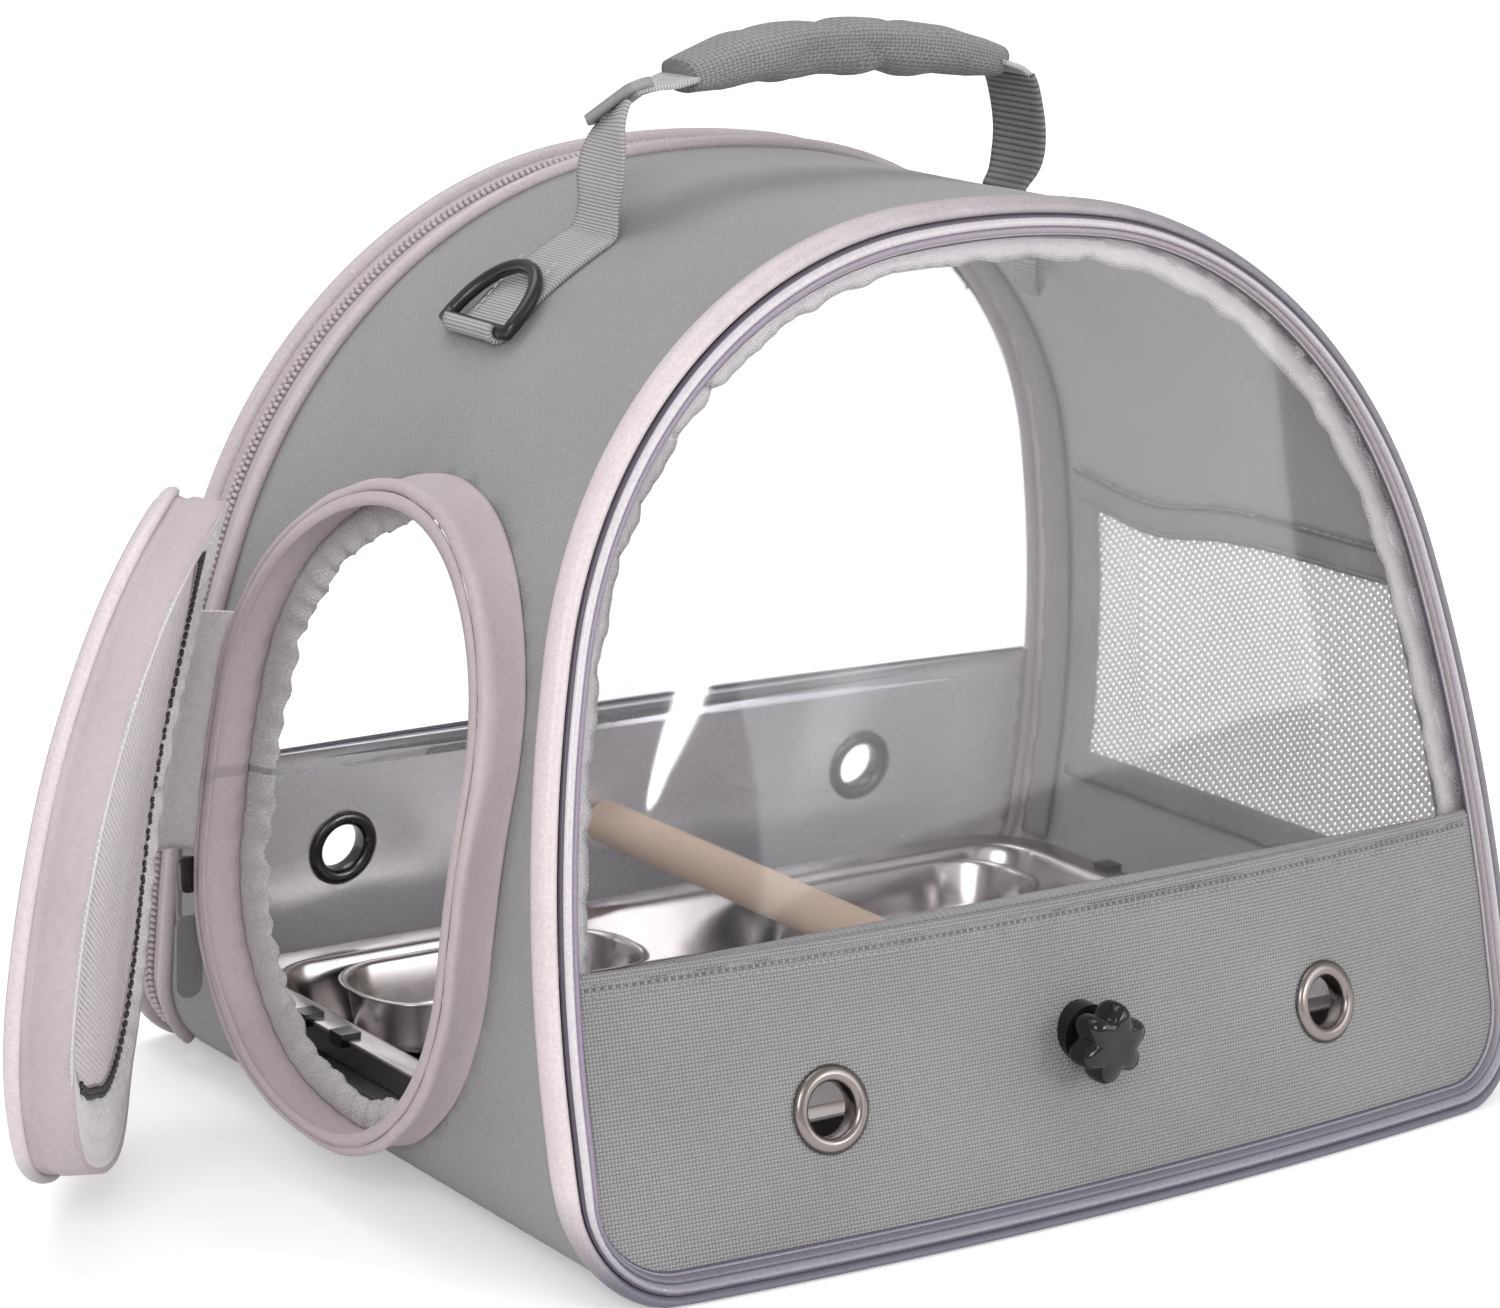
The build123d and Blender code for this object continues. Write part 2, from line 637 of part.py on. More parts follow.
with BuildPart() as rear_zip_coil_door:
    rear_ring(COIL_HEIGHT, -COIL_HEIGHT, DOOR_CHAIN_START, DOOR_CHAIN_START - COIL_WIDTH)
save(rear_zip_coil_door.part, "rear_zip_coil_door")

with BuildPart() as rear_zip_tape_door:
    rear_ring(0.0, -TAPE, DOOR_CHAIN_START - COIL_WIDTH, REAR_PIPING_IN)
save(rear_zip_tape_door.part, "rear_zip_tape_door")

with BuildPart() as rear_piping:
    rear_ring(PIPING_OUT, -PIPING_IN, REAR_PIPING_IN, -REAR_PIPING_OUT, low=0.0)
save(rear_piping.part, "rear_piping")

REAR_EYELETS = [panel_place(1, side * REAR_EYELET_X, REAR_EYELET_Z) for side in (-1, 1)]

with BuildPart() as rear_window:
    arch_block(-PIPING_IN)
    rear_block(0.0)
    rear_block(-SHEET, Mode.SUBTRACT)
    height_between(REAR_PANEL_TOP - WINDOW_LAP, HEIGHT)
save(rear_window.part, "rear_window")

with BuildPart() as rear_panel:
    arch_block(-PIPING_IN)
    rear_block(CLOTH)
    rear_block(0.0, Mode.SUBTRACT)
    height_between(0, REAR_PANEL_TOP - WINDOW_LAP / 2)
    for spot, normal in REAR_EYELETS:
        eyelet_hole(normal, spot)
save(rear_panel.part, "rear_panel")

with BuildPart() as rear_lining:
    arch_block(-PIPING_IN - LINING_GAP)
    rear_block(-SHEET)
    rear_block(-SHEET - LINING, Mode.SUBTRACT)
    height_between(PIPING_IN + LINING_GAP, REAR_PANEL_TOP)
    for spot, normal in REAR_EYELETS:
        eyelet_hole(normal, spot)
save(rear_lining.part, "rear_lining")

with BuildPart() as rear_eyelets:
    for spot, normal in REAR_EYELETS:
        eyelet_ring(normal, spot, -SHEET - LINING, CLOTH)
save(rear_eyelets.part, "rear_eyelets")

# ------------------------------------------------------------------ perch, stud and knob
PERCH_REAR = rear_y(0, PERCH_HEIGHT + PERCH_RADIUS, -SHEET - LINING - PERCH_REAR_GAP)
WASHER_FACE = front_y(0, PERCH_HEIGHT - WASHER_RADIUS, PANEL_FACE + WASHER_THICK)
KNOB_FACE = WASHER_FACE - SEAT


def perch_bar(radius: float, start: float, end: float, mode: Mode = Mode.ADD):
    """Round bar on the perch's axis, from one depth to another."""
    with BuildSketch(Plane.XZ.offset(-end)) as section:
        with Locations((PERCH_X, PERCH_HEIGHT)):
            Circle(radius)
    extrude(section.sketch, amount=end - start, mode=mode)


STUD_END = front_y(0, PERCH_HEIGHT, -LINING) + STUD_IN_PERCH
STUD_TIP = KNOB_FACE - KNOB_HUB - KNOB_THICK + KNOB_CAP

with BuildPart() as perch:
    perch_bar(PERCH_RADIUS, -REACH, PERCH_REAR)
    rear_end = perch.edges().filter_by(GeomType.CIRCLE).sort_by(Axis.Y)[-1]
    chamfer(rear_end, PERCH_CHAMFER)
    front_block(-LINING)
    perch_bar(STUD_RADIUS, -REACH, STUD_END, Mode.SUBTRACT)
save(perch.part, "perch")

with BuildPart() as perch_stud:
    perch_bar(STUD_RADIUS, STUD_TIP, STUD_END)
save(perch_stud.part, "perch_stud")

with BuildPart() as knob_washer:
    perch_bar(WASHER_RADIUS, WASHER_FACE, 0)
    front_block(PANEL_FACE, Mode.SUBTRACT)
    perch_bar(STUD_HOLE, WASHER_FACE, 0, Mode.SUBTRACT)
save(knob_washer.part, "knob_washer")

KNOB_FRAME = Plane(origin=(PERCH_X, KNOB_FACE, PERCH_HEIGHT), x_dir=(1, 0, 0), z_dir=(0, -1, 0))
with BuildPart() as star_knob:
    with BuildSketch(KNOB_FRAME):
        Circle(KNOB_HUB_RADIUS)
    extrude(amount=KNOB_HUB)
    with BuildSketch(KNOB_FRAME.offset(KNOB_HUB)):
        Circle(KNOB_RADIUS)
        with PolarLocations(KNOB_RADIUS + KNOB_GROOVE / 3, KNOB_LOBES):
            Circle(KNOB_GROOVE, mode=Mode.SUBTRACT)
    extrude(amount=KNOB_THICK)
    crown = star_knob.faces().sort_by(Axis.Y)[0]
    chamfer(crown.outer_wire().edges(), KNOB_CHAMFER)
    with BuildSketch(KNOB_FRAME):
        Circle(STUD_RADIUS + KNOB_RUN)
    extrude(amount=KNOB_HUB + KNOB_THICK - KNOB_CAP + SEAT, mode=Mode.SUBTRACT)
save(star_knob.part, "star_knob")

# ------------------------------------------------------------------ tray, clips and cups
TRAY_DEPTH = TRAY_REAR - TRAY_FRONT
TRAY_Y = (TRAY_REAR + TRAY_FRONT) / 2
TRAY_FLOOR = FLOOR_TOP + SEAT


def pan(centre, size, corner: float, low: float, high: float, draft: float, rim: float):
    """Pressed steel pan: drafted walls, a flat floor and a flat rim with a turned edge."""
    length, width = size
    with BuildSketch(Plane.XY.offset(high - STEEL)) as flange:
        with Locations(centre):
            RectangleRounded(length, width, corner)
    extrude(flange.sketch, amount=STEEL)
    mouth = (length - 2 * rim, width - 2 * rim)
    with BuildSketch(Plane.XY.offset(high)) as outside:
        with Locations(centre):
            RectangleRounded(*mouth, corner - rim / 2)
    extrude(outside.sketch, amount=low - high, taper=draft)
    with BuildSketch(Plane.XY.offset(high)) as inside:
        with Locations(centre):
            RectangleRounded(mouth[0] - 2 * STEEL, mouth[1] - 2 * STEEL, corner - rim / 2 - STEEL)
    extrude(inside.sketch, amount=low + STEEL - high, taper=draft, mode=Mode.SUBTRACT)


with BuildPart() as tray:
    pan((0, TRAY_Y), (2 * TRAY_HALF_LENGTH, TRAY_DEPTH), TRAY_CORNER, TRAY_FLOOR, TRAY_TOP,
        TRAY_DRAFT, TRAY_RIM)
save(tray.part, "tray")

with BuildPart() as tray_clips:
    for side in (-1, 1):
        for y in CLIP_YS:
            outer = side * (TRAY_HALF_LENGTH + CLIP_THICK)
            inner = side * (TRAY_HALF_LENGTH - TRAY_RIM / 2)
            low = TRAY_TOP - STEEL - CLIP_THICK
            high = TRAY_TOP + CLIP_THICK
            box_between((min(outer, inner), y - CLIP_WIDTH / 2, low),
                        (max(outer, inner), y + CLIP_WIDTH / 2, high), Mode.ADD)
    for side in (-1, 1):
        slot = side * TRAY_HALF_LENGTH
        middle = side * (TRAY_HALF_LENGTH - TRAY_RIM)
        box_between((min(slot, middle), -REACH, TRAY_TOP - STEEL),
                    (max(slot, middle), REACH, TRAY_TOP), Mode.SUBTRACT)
save(tray_clips.part, "tray_clips")

CUP_Y = TRAY_REAR - TRAY_RIM - CUP_FROM_WALL - CUP_WIDTH / 2
CUP_FLOOR = TRAY_FLOOR + STEEL + CUP_LIFT
for side, name in ((-1, "food_cup"), (1, "water_cup")):
    with BuildPart() as cup:
        pan((side * CUP_X, CUP_Y), (CUP_LENGTH, CUP_WIDTH), CUP_CORNER, CUP_FLOOR,
            CUP_FLOOR + CUP_HEIGHT, TRAY_DRAFT / 2, CUP_RIM)
    save(cup.part, name)

# ------------------------------------------------------------------ straps and D-rings
LAY = STRAP + SEAT + RING_ROD           # D-ring's plane above the shoulder
STRAP_LOW = HANDLE_Y - STRAP_WIDTH / 2
STRAP_HIGH = HANDLE_Y + STRAP_WIDTH / 2
EYE = RING_ROD + LOOP_RUN
FOOT_TOP = max(on_shoulder(LEFT_FOOT)[1], on_shoulder(RIGHT_FOOT)[1]) + STRAP + SEAT
HANDLE_AXIS_Z = FOOT_TOP + STRAP_WIDTH / 2 + SEAT


def strap_base(side: int, foot: float):
    """Webbing sewn on the shoulder: an eye round the D-ring's bar, a run, and the foot."""
    bar_x, bar_z = on_shoulder(foot - STRAP_RUN, LAY)
    foot_x, foot_z = on_shoulder(foot)
    wedge = [
        SHOULDER_CENTRE,
        on_shoulder(foot - STRAP_RUN, 2 * MARGIN),
        on_shoulder(foot + degrees(STRAP / SHOULDER_RADIUS), 2 * MARGIN),
    ]
    with BuildSketch(Plane.XZ.offset(-STRAP_HIGH)) as section:
        arch_face(STRAP)
        arch_face(0.0, mode=Mode.SUBTRACT)
        with BuildLine():
            Polyline(*wedge, close=True)
        make_face(mode=Mode.INTERSECT)
        with Locations((bar_x, bar_z)):
            Circle(EYE + STRAP)
        with Locations((foot_x - STRAP / 2, (foot_z + FOOT_TOP) / 2)):
            Rectangle(STRAP, FOOT_TOP - foot_z)
        arch_face(0.0, mode=Mode.SUBTRACT)
        with Locations((bar_x, bar_z)):
            Circle(EYE, mode=Mode.SUBTRACT)
    extrude(section.sketch, amount=STRAP_WIDTH)
    if side < 0:
        mirror(about=Plane.YZ, mode=Mode.REPLACE)


def d_ring(side: int, foot: float):
    """Plastic D-ring lying on its strap: a round bar through the webbing's eye and a flat bow."""
    turn = foot - STRAP_RUN
    bar_x, bar_z = on_shoulder(turn, LAY)
    along = (-sin(radians(turn)), 0, cos(radians(turn)))
    frame = Plane(origin=(bar_x, HANDLE_Y, bar_z), x_dir=(0, 1, 0),
                  z_dir=(cos(radians(turn)), 0, sin(radians(turn))))
    reach = STRAP_WIDTH / 2 + RING_ROD + SEAT
    up = 1 if frame.y_dir.dot(Vector(*along)) > 0 else -1
    with BuildSketch(frame.offset(-RING_ROD * RING_FLAT)) as bow:
        for outer, mode in ((2 * RING_ROD, Mode.ADD), (0.0, Mode.SUBTRACT)):
            with BuildLine() as outline:
                ThreePointArc(
                    (reach + outer, 0), (0, up * (RING_LENGTH + outer)), (-reach - outer, 0)
                )
                Line((-reach - outer, 0), (reach + outer, 0))
            make_face(outline.edges(), mode=mode)
    extrude(bow.sketch, amount=2 * RING_ROD * RING_FLAT)
    with Locations(Location((bar_x, HANDLE_Y, bar_z), (90, 0, 0))):
        Cylinder(RING_ROD, 2 * reach + 3 * RING_ROD)
    if side < 0:
        mirror(about=Plane.YZ, mode=Mode.REPLACE)


for side, foot, where in ((-1, LEFT_FOOT, "left"), (1, RIGHT_FOOT, "right")):
    with BuildPart() as base:
        strap_base(side, foot)
    save(base.part, f"strap_base_{where}")
    with BuildPart() as ring:
        d_ring(side, foot)
    save(ring.part, f"d_ring_{where}")

# ------------------------------------------------------------------ handle
LEFT_FOOT_X = -on_shoulder(LEFT_FOOT)[0] + STRAP / 2
RIGHT_FOOT_X = on_shoulder(RIGHT_FOOT)[0] - STRAP / 2
FOOT_GAP_TOP = FOOT_TOP + SEAT
CROWN = (
    (HANDLE_LEFT_X + HANDLE_RIGHT_X) / 2,
    (HANDLE_LEFT_Z + HANDLE_RIGHT_Z) / 2 + HANDLE_RISE,
)


def handle_line(thick: float):
    """Handle's side view at a thickness, on the active sketch."""
    with BuildLine() as centre_line:
        Line((LEFT_FOOT_X, FOOT_GAP_TOP), (HANDLE_LEFT_X, HANDLE_LEFT_Z))
        ThreePointArc(
            (HANDLE_LEFT_X, HANDLE_LEFT_Z), CROWN, (HANDLE_RIGHT_X, HANDLE_RIGHT_Z)
        )
        Line((HANDLE_RIGHT_X, HANDLE_RIGHT_Z), (RIGHT_FOOT_X, FOOT_GAP_TOP))
    trace(centre_line.line, line_width=thick)


with BuildPart() as handle_strap:
    with BuildSketch(Plane.XZ.offset(-STRAP_HIGH)):
        handle_line(STRAP)
    extrude(amount=STRAP_WIDTH)
    # the webbing's ends are rounded about the line that the handle turns on
    with BuildSketch(Plane.YZ):
        with Locations((HANDLE_Y, HANDLE_AXIS_Z)):
            Circle(STRAP_WIDTH / 2)
        with Locations((HANDLE_Y, HANDLE_AXIS_Z + HEIGHT / 2)):
            Rectangle(STRAP_WIDTH, HEIGHT)
    extrude(amount=HALF_WIDTH, both=True, mode=Mode.INTERSECT)
save(handle_strap.part, "handle_strap")

with BuildPart() as handle_grip:
    with BuildSketch(Plane.XZ.offset(-HANDLE_Y - GRIP_WIDTH / 2)):
        with BuildLine():
            ThreePointArc(
                (HANDLE_LEFT_X, HANDLE_LEFT_Z), CROWN, (HANDLE_RIGHT_X, HANDLE_RIGHT_Z)
            )
        trace(line_width=GRIP_HEIGHT)
        with Locations(((GRIP_LEFT + GRIP_RIGHT) / 2, CROWN[1])):
            Rectangle(GRIP_RIGHT - GRIP_LEFT, HEIGHT, mode=Mode.INTERSECT)
    extrude(amount=GRIP_WIDTH)
    long_edges = [e for e in handle_grip.edges() if e.length > (GRIP_RIGHT - GRIP_LEFT) / 2]
    chamfer(long_edges, GRIP_CHAMFER)
    add(handle_strap.part, mode=Mode.SUBTRACT)
save(handle_grip.part, "handle_grip")

SLIDE_MID_X = SLIDE_LEFT + SLIDE_LENGTH / 2


def strap_height(x: float) -> float:
    """Height of the handle's upper run at a place across the carrier."""
    arc = Edge.make_three_point_arc(
        Vector(HANDLE_LEFT_X, 0, HANDLE_LEFT_Z),
        Vector(CROWN[0], 0, CROWN[1]),
        Vector(HANDLE_RIGHT_X, 0, HANDLE_RIGHT_Z),
    )
    low, high = 0.0, 1.0
    for _ in range(40):
        middle = (low + high) / 2
        low, high = (middle, high) if (arc @ middle).X < x else (low, middle)
    return (arc @ low).Z


_slide_a = strap_height(SLIDE_LEFT)
_slide_b = strap_height(SLIDE_LEFT + SLIDE_LENGTH)
SLIDE_TILT = degrees(atan2(_slide_b - _slide_a, SLIDE_LENGTH))
SLIDE_FRAME = Plane(
    origin=(SLIDE_MID_X, HANDLE_Y, (_slide_a + _slide_b) / 2),
    x_dir=(cos(radians(SLIDE_TILT)), 0, sin(radians(SLIDE_TILT))),
    z_dir=(-sin(radians(SLIDE_TILT)), 0, cos(radians(SLIDE_TILT))),
)

with BuildPart() as strap_slide:
    thick = STRAP + 2 * SLIDE_BAR
    with BuildSketch(SLIDE_FRAME.offset(-thick / 2)):
        RectangleRounded(SLIDE_LENGTH, SLIDE_WIDTH, SLIDE_BAR)
        Rectangle(SLIDE_LENGTH - 2 * SLIDE_BAR, STRAP_WIDTH + 2 * SEAT, mode=Mode.SUBTRACT)
    extrude(amount=thick)
    # the webbing runs under both end bars and over the middle one
    with BuildSketch(SLIDE_FRAME.offset(-thick / 2)):
        Rectangle(SLIDE_LENGTH + MARGIN, STRAP_WIDTH + 2 * SEAT)
    extrude(amount=thick / 2 + STRAP / 2 + SEAT, mode=Mode.SUBTRACT)
    with BuildSketch(SLIDE_FRAME.offset(-thick / 2)):
        Rectangle(SLIDE_BAR, SLIDE_WIDTH)
    extrude(amount=SLIDE_BAR - SEAT)
save(strap_slide.part, "strap_slide")

# ------------------------------------------------------------------ loop inside the roof
with BuildPart() as hanging_loop:
    low_y = HANG_LOOP_Y - HANG_LOOP_WIDTH / 2
    with BuildSketch(Plane.XZ.offset(-low_y - HANG_LOOP_WIDTH)):
        top = SHOULDER_CENTRE[1] + sqrt(
            (SHOULDER_RADIUS - WALL) ** 2 - (HANG_LOOP_X - SHOULDER_CENTRE[0]) ** 2
        )
        with Locations((HANG_LOOP_X, top - HANG_LOOP_DROP / 2)):
            SlotOverall(2 * HANG_LOOP_DROP, 3 * STRAP, rotation=90)
            SlotOverall(2 * HANG_LOOP_DROP - 2 * STRAP, STRAP, rotation=90, mode=Mode.SUBTRACT)
        arch_face(-WALL, mode=Mode.INTERSECT)
    extrude(amount=HANG_LOOP_WIDTH)
save(hanging_loop.part, "hanging_loop")


# ------------------------------------------------------------------ zip sliders and pulls
def slider(frame: Plane):
    """Zip slider: a plate over the chain with a bridge for the pull.

    The frame lies on the chain's face: x across the chain, y along it, z outwards.
    """
    with BuildSketch(frame.offset(SLIDER_RIDE)) as plate:
        RectangleRounded(SLIDER_WIDTH, SLIDER_LENGTH, SLIDER_WIDTH / 4)
    extrude(plate.sketch, amount=SLIDER_PLATE)
    above = frame.offset(SLIDER_RIDE + SLIDER_PLATE)
    with BuildSketch(above) as bridge:
        Rectangle(BRIDGE_WIDTH, SLIDER_LENGTH - PULL_BAR)
    extrude(bridge.sketch, amount=BRIDGE)
    with BuildSketch(above) as opening:
        Rectangle(BRIDGE_WIDTH, 2 * PULL_BAR)
    extrude(opening.sketch, amount=BRIDGE - PULL_BAR, mode=Mode.SUBTRACT)


def pull(frame: Plane):
    """Pull tab hanging from the slider's bridge: a wire eye and a flat rounded tab.

    The frame's origin is the middle of the bridge's opening, and its y is up.
    """
    with BuildSketch(frame.offset(-PULL_BAR / 2)) as eye:
        with Locations((0, PULL_BAR / 2 - 2 * PULL_EYE)):
            SlotOverall(4 * PULL_EYE, 2 * PULL_EYE, rotation=90)
            offset(amount=-PULL_BAR, mode=Mode.SUBTRACT)
    extrude(eye.sketch, amount=PULL_BAR)
    with BuildSketch(frame.offset(-PULL_THICK / 2)) as tab:
        with Locations((0, -4 * PULL_EYE + 2 * PULL_BAR - PULL_TAB / 2)):
            RectangleRounded(PULL_WIDTH, PULL_TAB, PULL_WIDTH / 2.2)
    extrude(tab.sketch, amount=PULL_THICK)


PULL_PIVOT = SLIDER_RIDE + SLIDER_PLATE + (BRIDGE - PULL_BAR) / 2

# side slider: on the lower bend of the opening's outline, just below the hinge cloth
BEND_Z = DOOR_Z - DOOR_HALF_HEIGHT + DOOR_HALF_WIDTH
SIDE_SLIDER_Z = HINGE_LOW - SLIDER_LENGTH / 2 - SEAT
SIDE_SLIDER_TURN = asin((SIDE_SLIDER_Z - BEND_Z) / DOOR_HALF_WIDTH)
SIDE_SLIDER_OUT = Vector(0, cos(SIDE_SLIDER_TURN), sin(SIDE_SLIDER_TURN))
SIDE_SLIDER_FRAME = Plane(
    origin=Vector(-half_width_at(SIDE_SLIDER_Z, COLLAR), DOOR_Y, BEND_Z)
    + SIDE_SLIDER_OUT * DOOR_HALF_WIDTH,
    x_dir=(-1, 0, 0),
    z_dir=SIDE_SLIDER_OUT,
)
SIDE_PULL_FRAME = Plane(
    origin=SIDE_SLIDER_FRAME.origin + SIDE_SLIDER_OUT * PULL_PIVOT,
    x_dir=(-1, 0, 0),
    z_dir=(0, 1, 0),
)

# rear slider: low on the right side of the arch, on the closed chain
REAR_SLIDER_TURN = SLIDER_LENGTH / SIDE_RADIUS
REAR_SLIDER_OUT = Vector(cos(REAR_SLIDER_TURN), 0, sin(REAR_SLIDER_TURN))
REAR_ACROSS = Vector(0, 1, REAR_LEAN * cos(REAR_SLIDER_TURN)).normalized()
REAR_SLIDER_POINT = Vector(SIDE_CENTRE[0], 0, SIDE_CENTRE[1]) + REAR_SLIDER_OUT * (
    SIDE_RADIUS + COIL_HEIGHT
)
REAR_SLIDER_POINT.Y = rear_y(REAR_SLIDER_POINT.X, REAR_SLIDER_POINT.Z, -CHAIN_FROM_FACE)
REAR_SLIDER_FRAME = Plane(
    origin=REAR_SLIDER_POINT, x_dir=REAR_ACROSS, z_dir=REAR_SLIDER_OUT
)
REAR_PULL_FRAME = Plane(
    origin=REAR_SLIDER_POINT + REAR_SLIDER_OUT * PULL_PIVOT, x_dir=REAR_ACROSS, z_dir=(1, 0, 0)
)

for slider_frame, pull_frame, where in (
    (SIDE_SLIDER_FRAME, SIDE_PULL_FRAME, "side"),
    (REAR_SLIDER_FRAME, REAR_PULL_FRAME, "rear"),
):
    with BuildPart() as zip_slider:
        slider(slider_frame)
    save(zip_slider.part, f"{where}_zip_slider")
    with BuildPart() as zip_pull:
        pull(pull_frame)
    save(zip_pull.part, f"{where}_zip_pull")
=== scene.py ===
"""Looks of a soft-sided bird travel carrier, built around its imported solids.

Shapes are worked out in millimetres in the carrier's own frame and turned into metres as each
mesh is made.  +Z is up, +X is right as seen from the front, and the clear front faces -Y.
"""

import logging
import math
from dataclasses import dataclass, field
from enum import Enum
from typing import Callable, Iterable, Optional, Sequence

import bmesh
import bpy
from mathutils import Matrix, Vector, noise
from mathutils.geometry import delaunay_2d_cdt


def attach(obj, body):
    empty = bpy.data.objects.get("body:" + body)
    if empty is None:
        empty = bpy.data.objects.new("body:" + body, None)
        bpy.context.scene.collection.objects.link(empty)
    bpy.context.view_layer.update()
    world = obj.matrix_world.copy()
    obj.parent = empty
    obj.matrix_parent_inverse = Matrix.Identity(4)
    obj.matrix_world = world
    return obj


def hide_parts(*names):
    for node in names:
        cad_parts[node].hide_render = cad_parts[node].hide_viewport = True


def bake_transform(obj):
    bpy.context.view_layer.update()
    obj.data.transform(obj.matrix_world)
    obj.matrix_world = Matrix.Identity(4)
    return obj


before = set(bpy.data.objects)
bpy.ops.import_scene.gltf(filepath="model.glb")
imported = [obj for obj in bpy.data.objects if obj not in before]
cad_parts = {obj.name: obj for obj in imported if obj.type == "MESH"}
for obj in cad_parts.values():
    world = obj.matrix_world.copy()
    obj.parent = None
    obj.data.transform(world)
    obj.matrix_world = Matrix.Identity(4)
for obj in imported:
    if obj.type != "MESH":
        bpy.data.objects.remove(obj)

LOG = logging.getLogger("carrier")
LOG.setLevel(logging.INFO)
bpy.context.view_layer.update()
MM = 0.001

Place = Callable[[float, float, float], Vector]
Section = Sequence[tuple[float, float]]


class Body(str, Enum):
    """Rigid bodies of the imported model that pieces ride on."""

    CARRIER = "carrier"
    BACK_DOOR = "back_door"
    SIDE_DOOR = "side_door"
    HANDLE = "handle"
    LEFT_RING = "d_ring_l"
    RIGHT_RING = "d_ring_r"
    KNOB = "knob"
    TRAY = "tray_body"
    LEFT_CUP = "cup_l"
    RIGHT_CUP = "cup_r"


class Facing(Enum):
    """Which end of the tunnel a face closes."""

    FRONT = -1
    REAR = 1


class Space(Enum):
    """Where a material takes its pattern's coordinates from."""

    UNROLLED = "uv"
    SOLID = "object"


# --------------------------------------------------------------------------- form
@dataclass(frozen=True)
class Form:
    """Shape of the carrier's arched body, in millimetres."""

    half_width: float = 184.0
    height: float = 290.0
    base_depth: float = 259.0
    corner: float = 31.0
    waist: float = 52.0
    side_turn: float = 15.2
    shoulder_turn: float = 68.0
    shoulder: float = 154.0
    front_lean: float = 0.267
    rear_lean: float = 0.112
    front_bow: float = 11.0
    rear_bow: float = 6.0
    wall: float = 3.0
    zip_band: float = 24.0
    ground: float = 0.05

    @property
    def radii(self) -> tuple[float, float]:
        """Radii of the side arc and of the top arc."""
        a, b = math.radians(self.side_turn), math.radians(self.side_turn + self.shoulder_turn)
        run = self.half_width - self.shoulder * (math.cos(a) - math.cos(b))
        rise = self.height - self.waist - self.shoulder * (math.sin(b) - math.sin(a))
        det = (1 - math.cos(a)) * (1 - math.sin(b)) - math.cos(b) * math.sin(a)
        side = (run * (1 - math.sin(b)) - math.cos(b) * rise) / det
        top = ((1 - math.cos(a)) * rise - math.sin(a) * run) / det
        return side, top

    @property
    def arcs(self) -> list[tuple[float, tuple[float, float], float, float]]:
        """Arcs of the right half above the base: radius, centre, start and turn in radians."""
        side, top = self.radii
        a, b = math.radians(self.side_turn), math.radians(self.side_turn + self.shoulder_turn)
        side_centre = (self.half_width - side, self.waist)
        shoulder_centre = (
            side_centre[0] + (side - self.shoulder) * math.cos(a),
            side_centre[1] + (side - self.shoulder) * math.sin(a),
        )
        corner_centre = (self.half_width - self.corner, self.corner)
        return [
            (self.corner, corner_centre, -math.pi / 2, math.pi / 2),
            (math.inf, (self.half_width, self.corner), 0.0, self.waist - self.corner),
            (side, side_centre, 0.0, a),
            (self.shoulder, shoulder_centre, a, b - a),
            (top, (0.0, self.height - top), b, math.pi / 2 - b),
        ]

    @property
    def half_length(self) -> float:
        """Length of half the outline, from the middle of the base to the top."""
        flat = self.half_width - self.corner
        return flat + sum(turn if math.isinf(r) else r * turn for r, _, _, turn in self.arcs)

    def outline(self, s: float) -> tuple[float, float, float, float]:
        """Point and outward normal on the arch.

        Args:
            s: length along the outline from the middle of the base, up the right side.

        Returns:
            x, z and the normal's x and z.
        """
        half = self.half_length
        s = s % (2 * half)
        if s > half:
            x, z, nx, nz = self.outline(2 * half - s)
            return -x, z, -nx, nz
        flat = self.half_width - self.corner
        if s <= flat:
            return s, 0.0, 0.0, -1.0
        s -= flat
        for radius, centre, start, turn in self.arcs:
            run = turn if math.isinf(radius) else radius * turn
            if s <= run + 1e-9:
                if math.isinf(radius):
                    return centre[0], centre[1] + s, 1.0, 0.0
                angle = start + s / radius
                nx, nz = math.cos(angle), math.sin(angle)
                return centre[0] + radius * nx, centre[1] + radius * nz, nx, nz
            s -= run
        return 0.0, self.height, 0.0, 1.0

    def length_at(self, height: float) -> float:
        """Length along the right half of the outline at which it reaches a height."""
        low, high = self.half_width - self.corner, self.half_length
        for _ in range(40):
            middle = (low + high) / 2
            low, high = (middle, high) if self.outline(middle)[1] < height else (low, middle)
        return low

    def front_y(self, x: float, z: float, forwards: float = 0.0) -> float:
        """Depth of the front face, moved forwards."""
        bow = self.front_bow * (1 - (x / self.half_width) ** 2)
        return -self.base_depth / 2 + self.front_lean * z - bow - forwards

    def rear_y(self, x: float, z: float, backwards: float = 0.0) -> float:
        """Depth of the rear face, moved backwards."""
        bow = self.rear_bow * (1 - (x / self.half_width) ** 2)
        return self.base_depth / 2 - self.rear_lean * z + bow + backwards

    def wall_point(self, s: float, y: float, out: float) -> Vector:
        """Point on the tunnel wall, moved outwards."""
        x, z, nx, nz = self.outline(s)
        return Vector((x + nx * out, y, z + nz * out))

    def rim(self, facing: Facing) -> Place:
        """Place function of a rim.

        Args:
            facing: Which of the two rims.

        Returns:
            A function of the length along the arch, outwards, and away from the tunnel.
        """

        def place(s: float, out: float, away: float) -> Vector:
            """Place a point beside the rim, no lower than the ground."""
            x, z, nx, nz = self.outline(s)
            x, z = x + nx * out, max(self.ground, z + nz * out)
            edge = self.front_y if facing is Facing.FRONT else self.rear_y
            return Vector((x, edge(x, z, away), z))

        return place

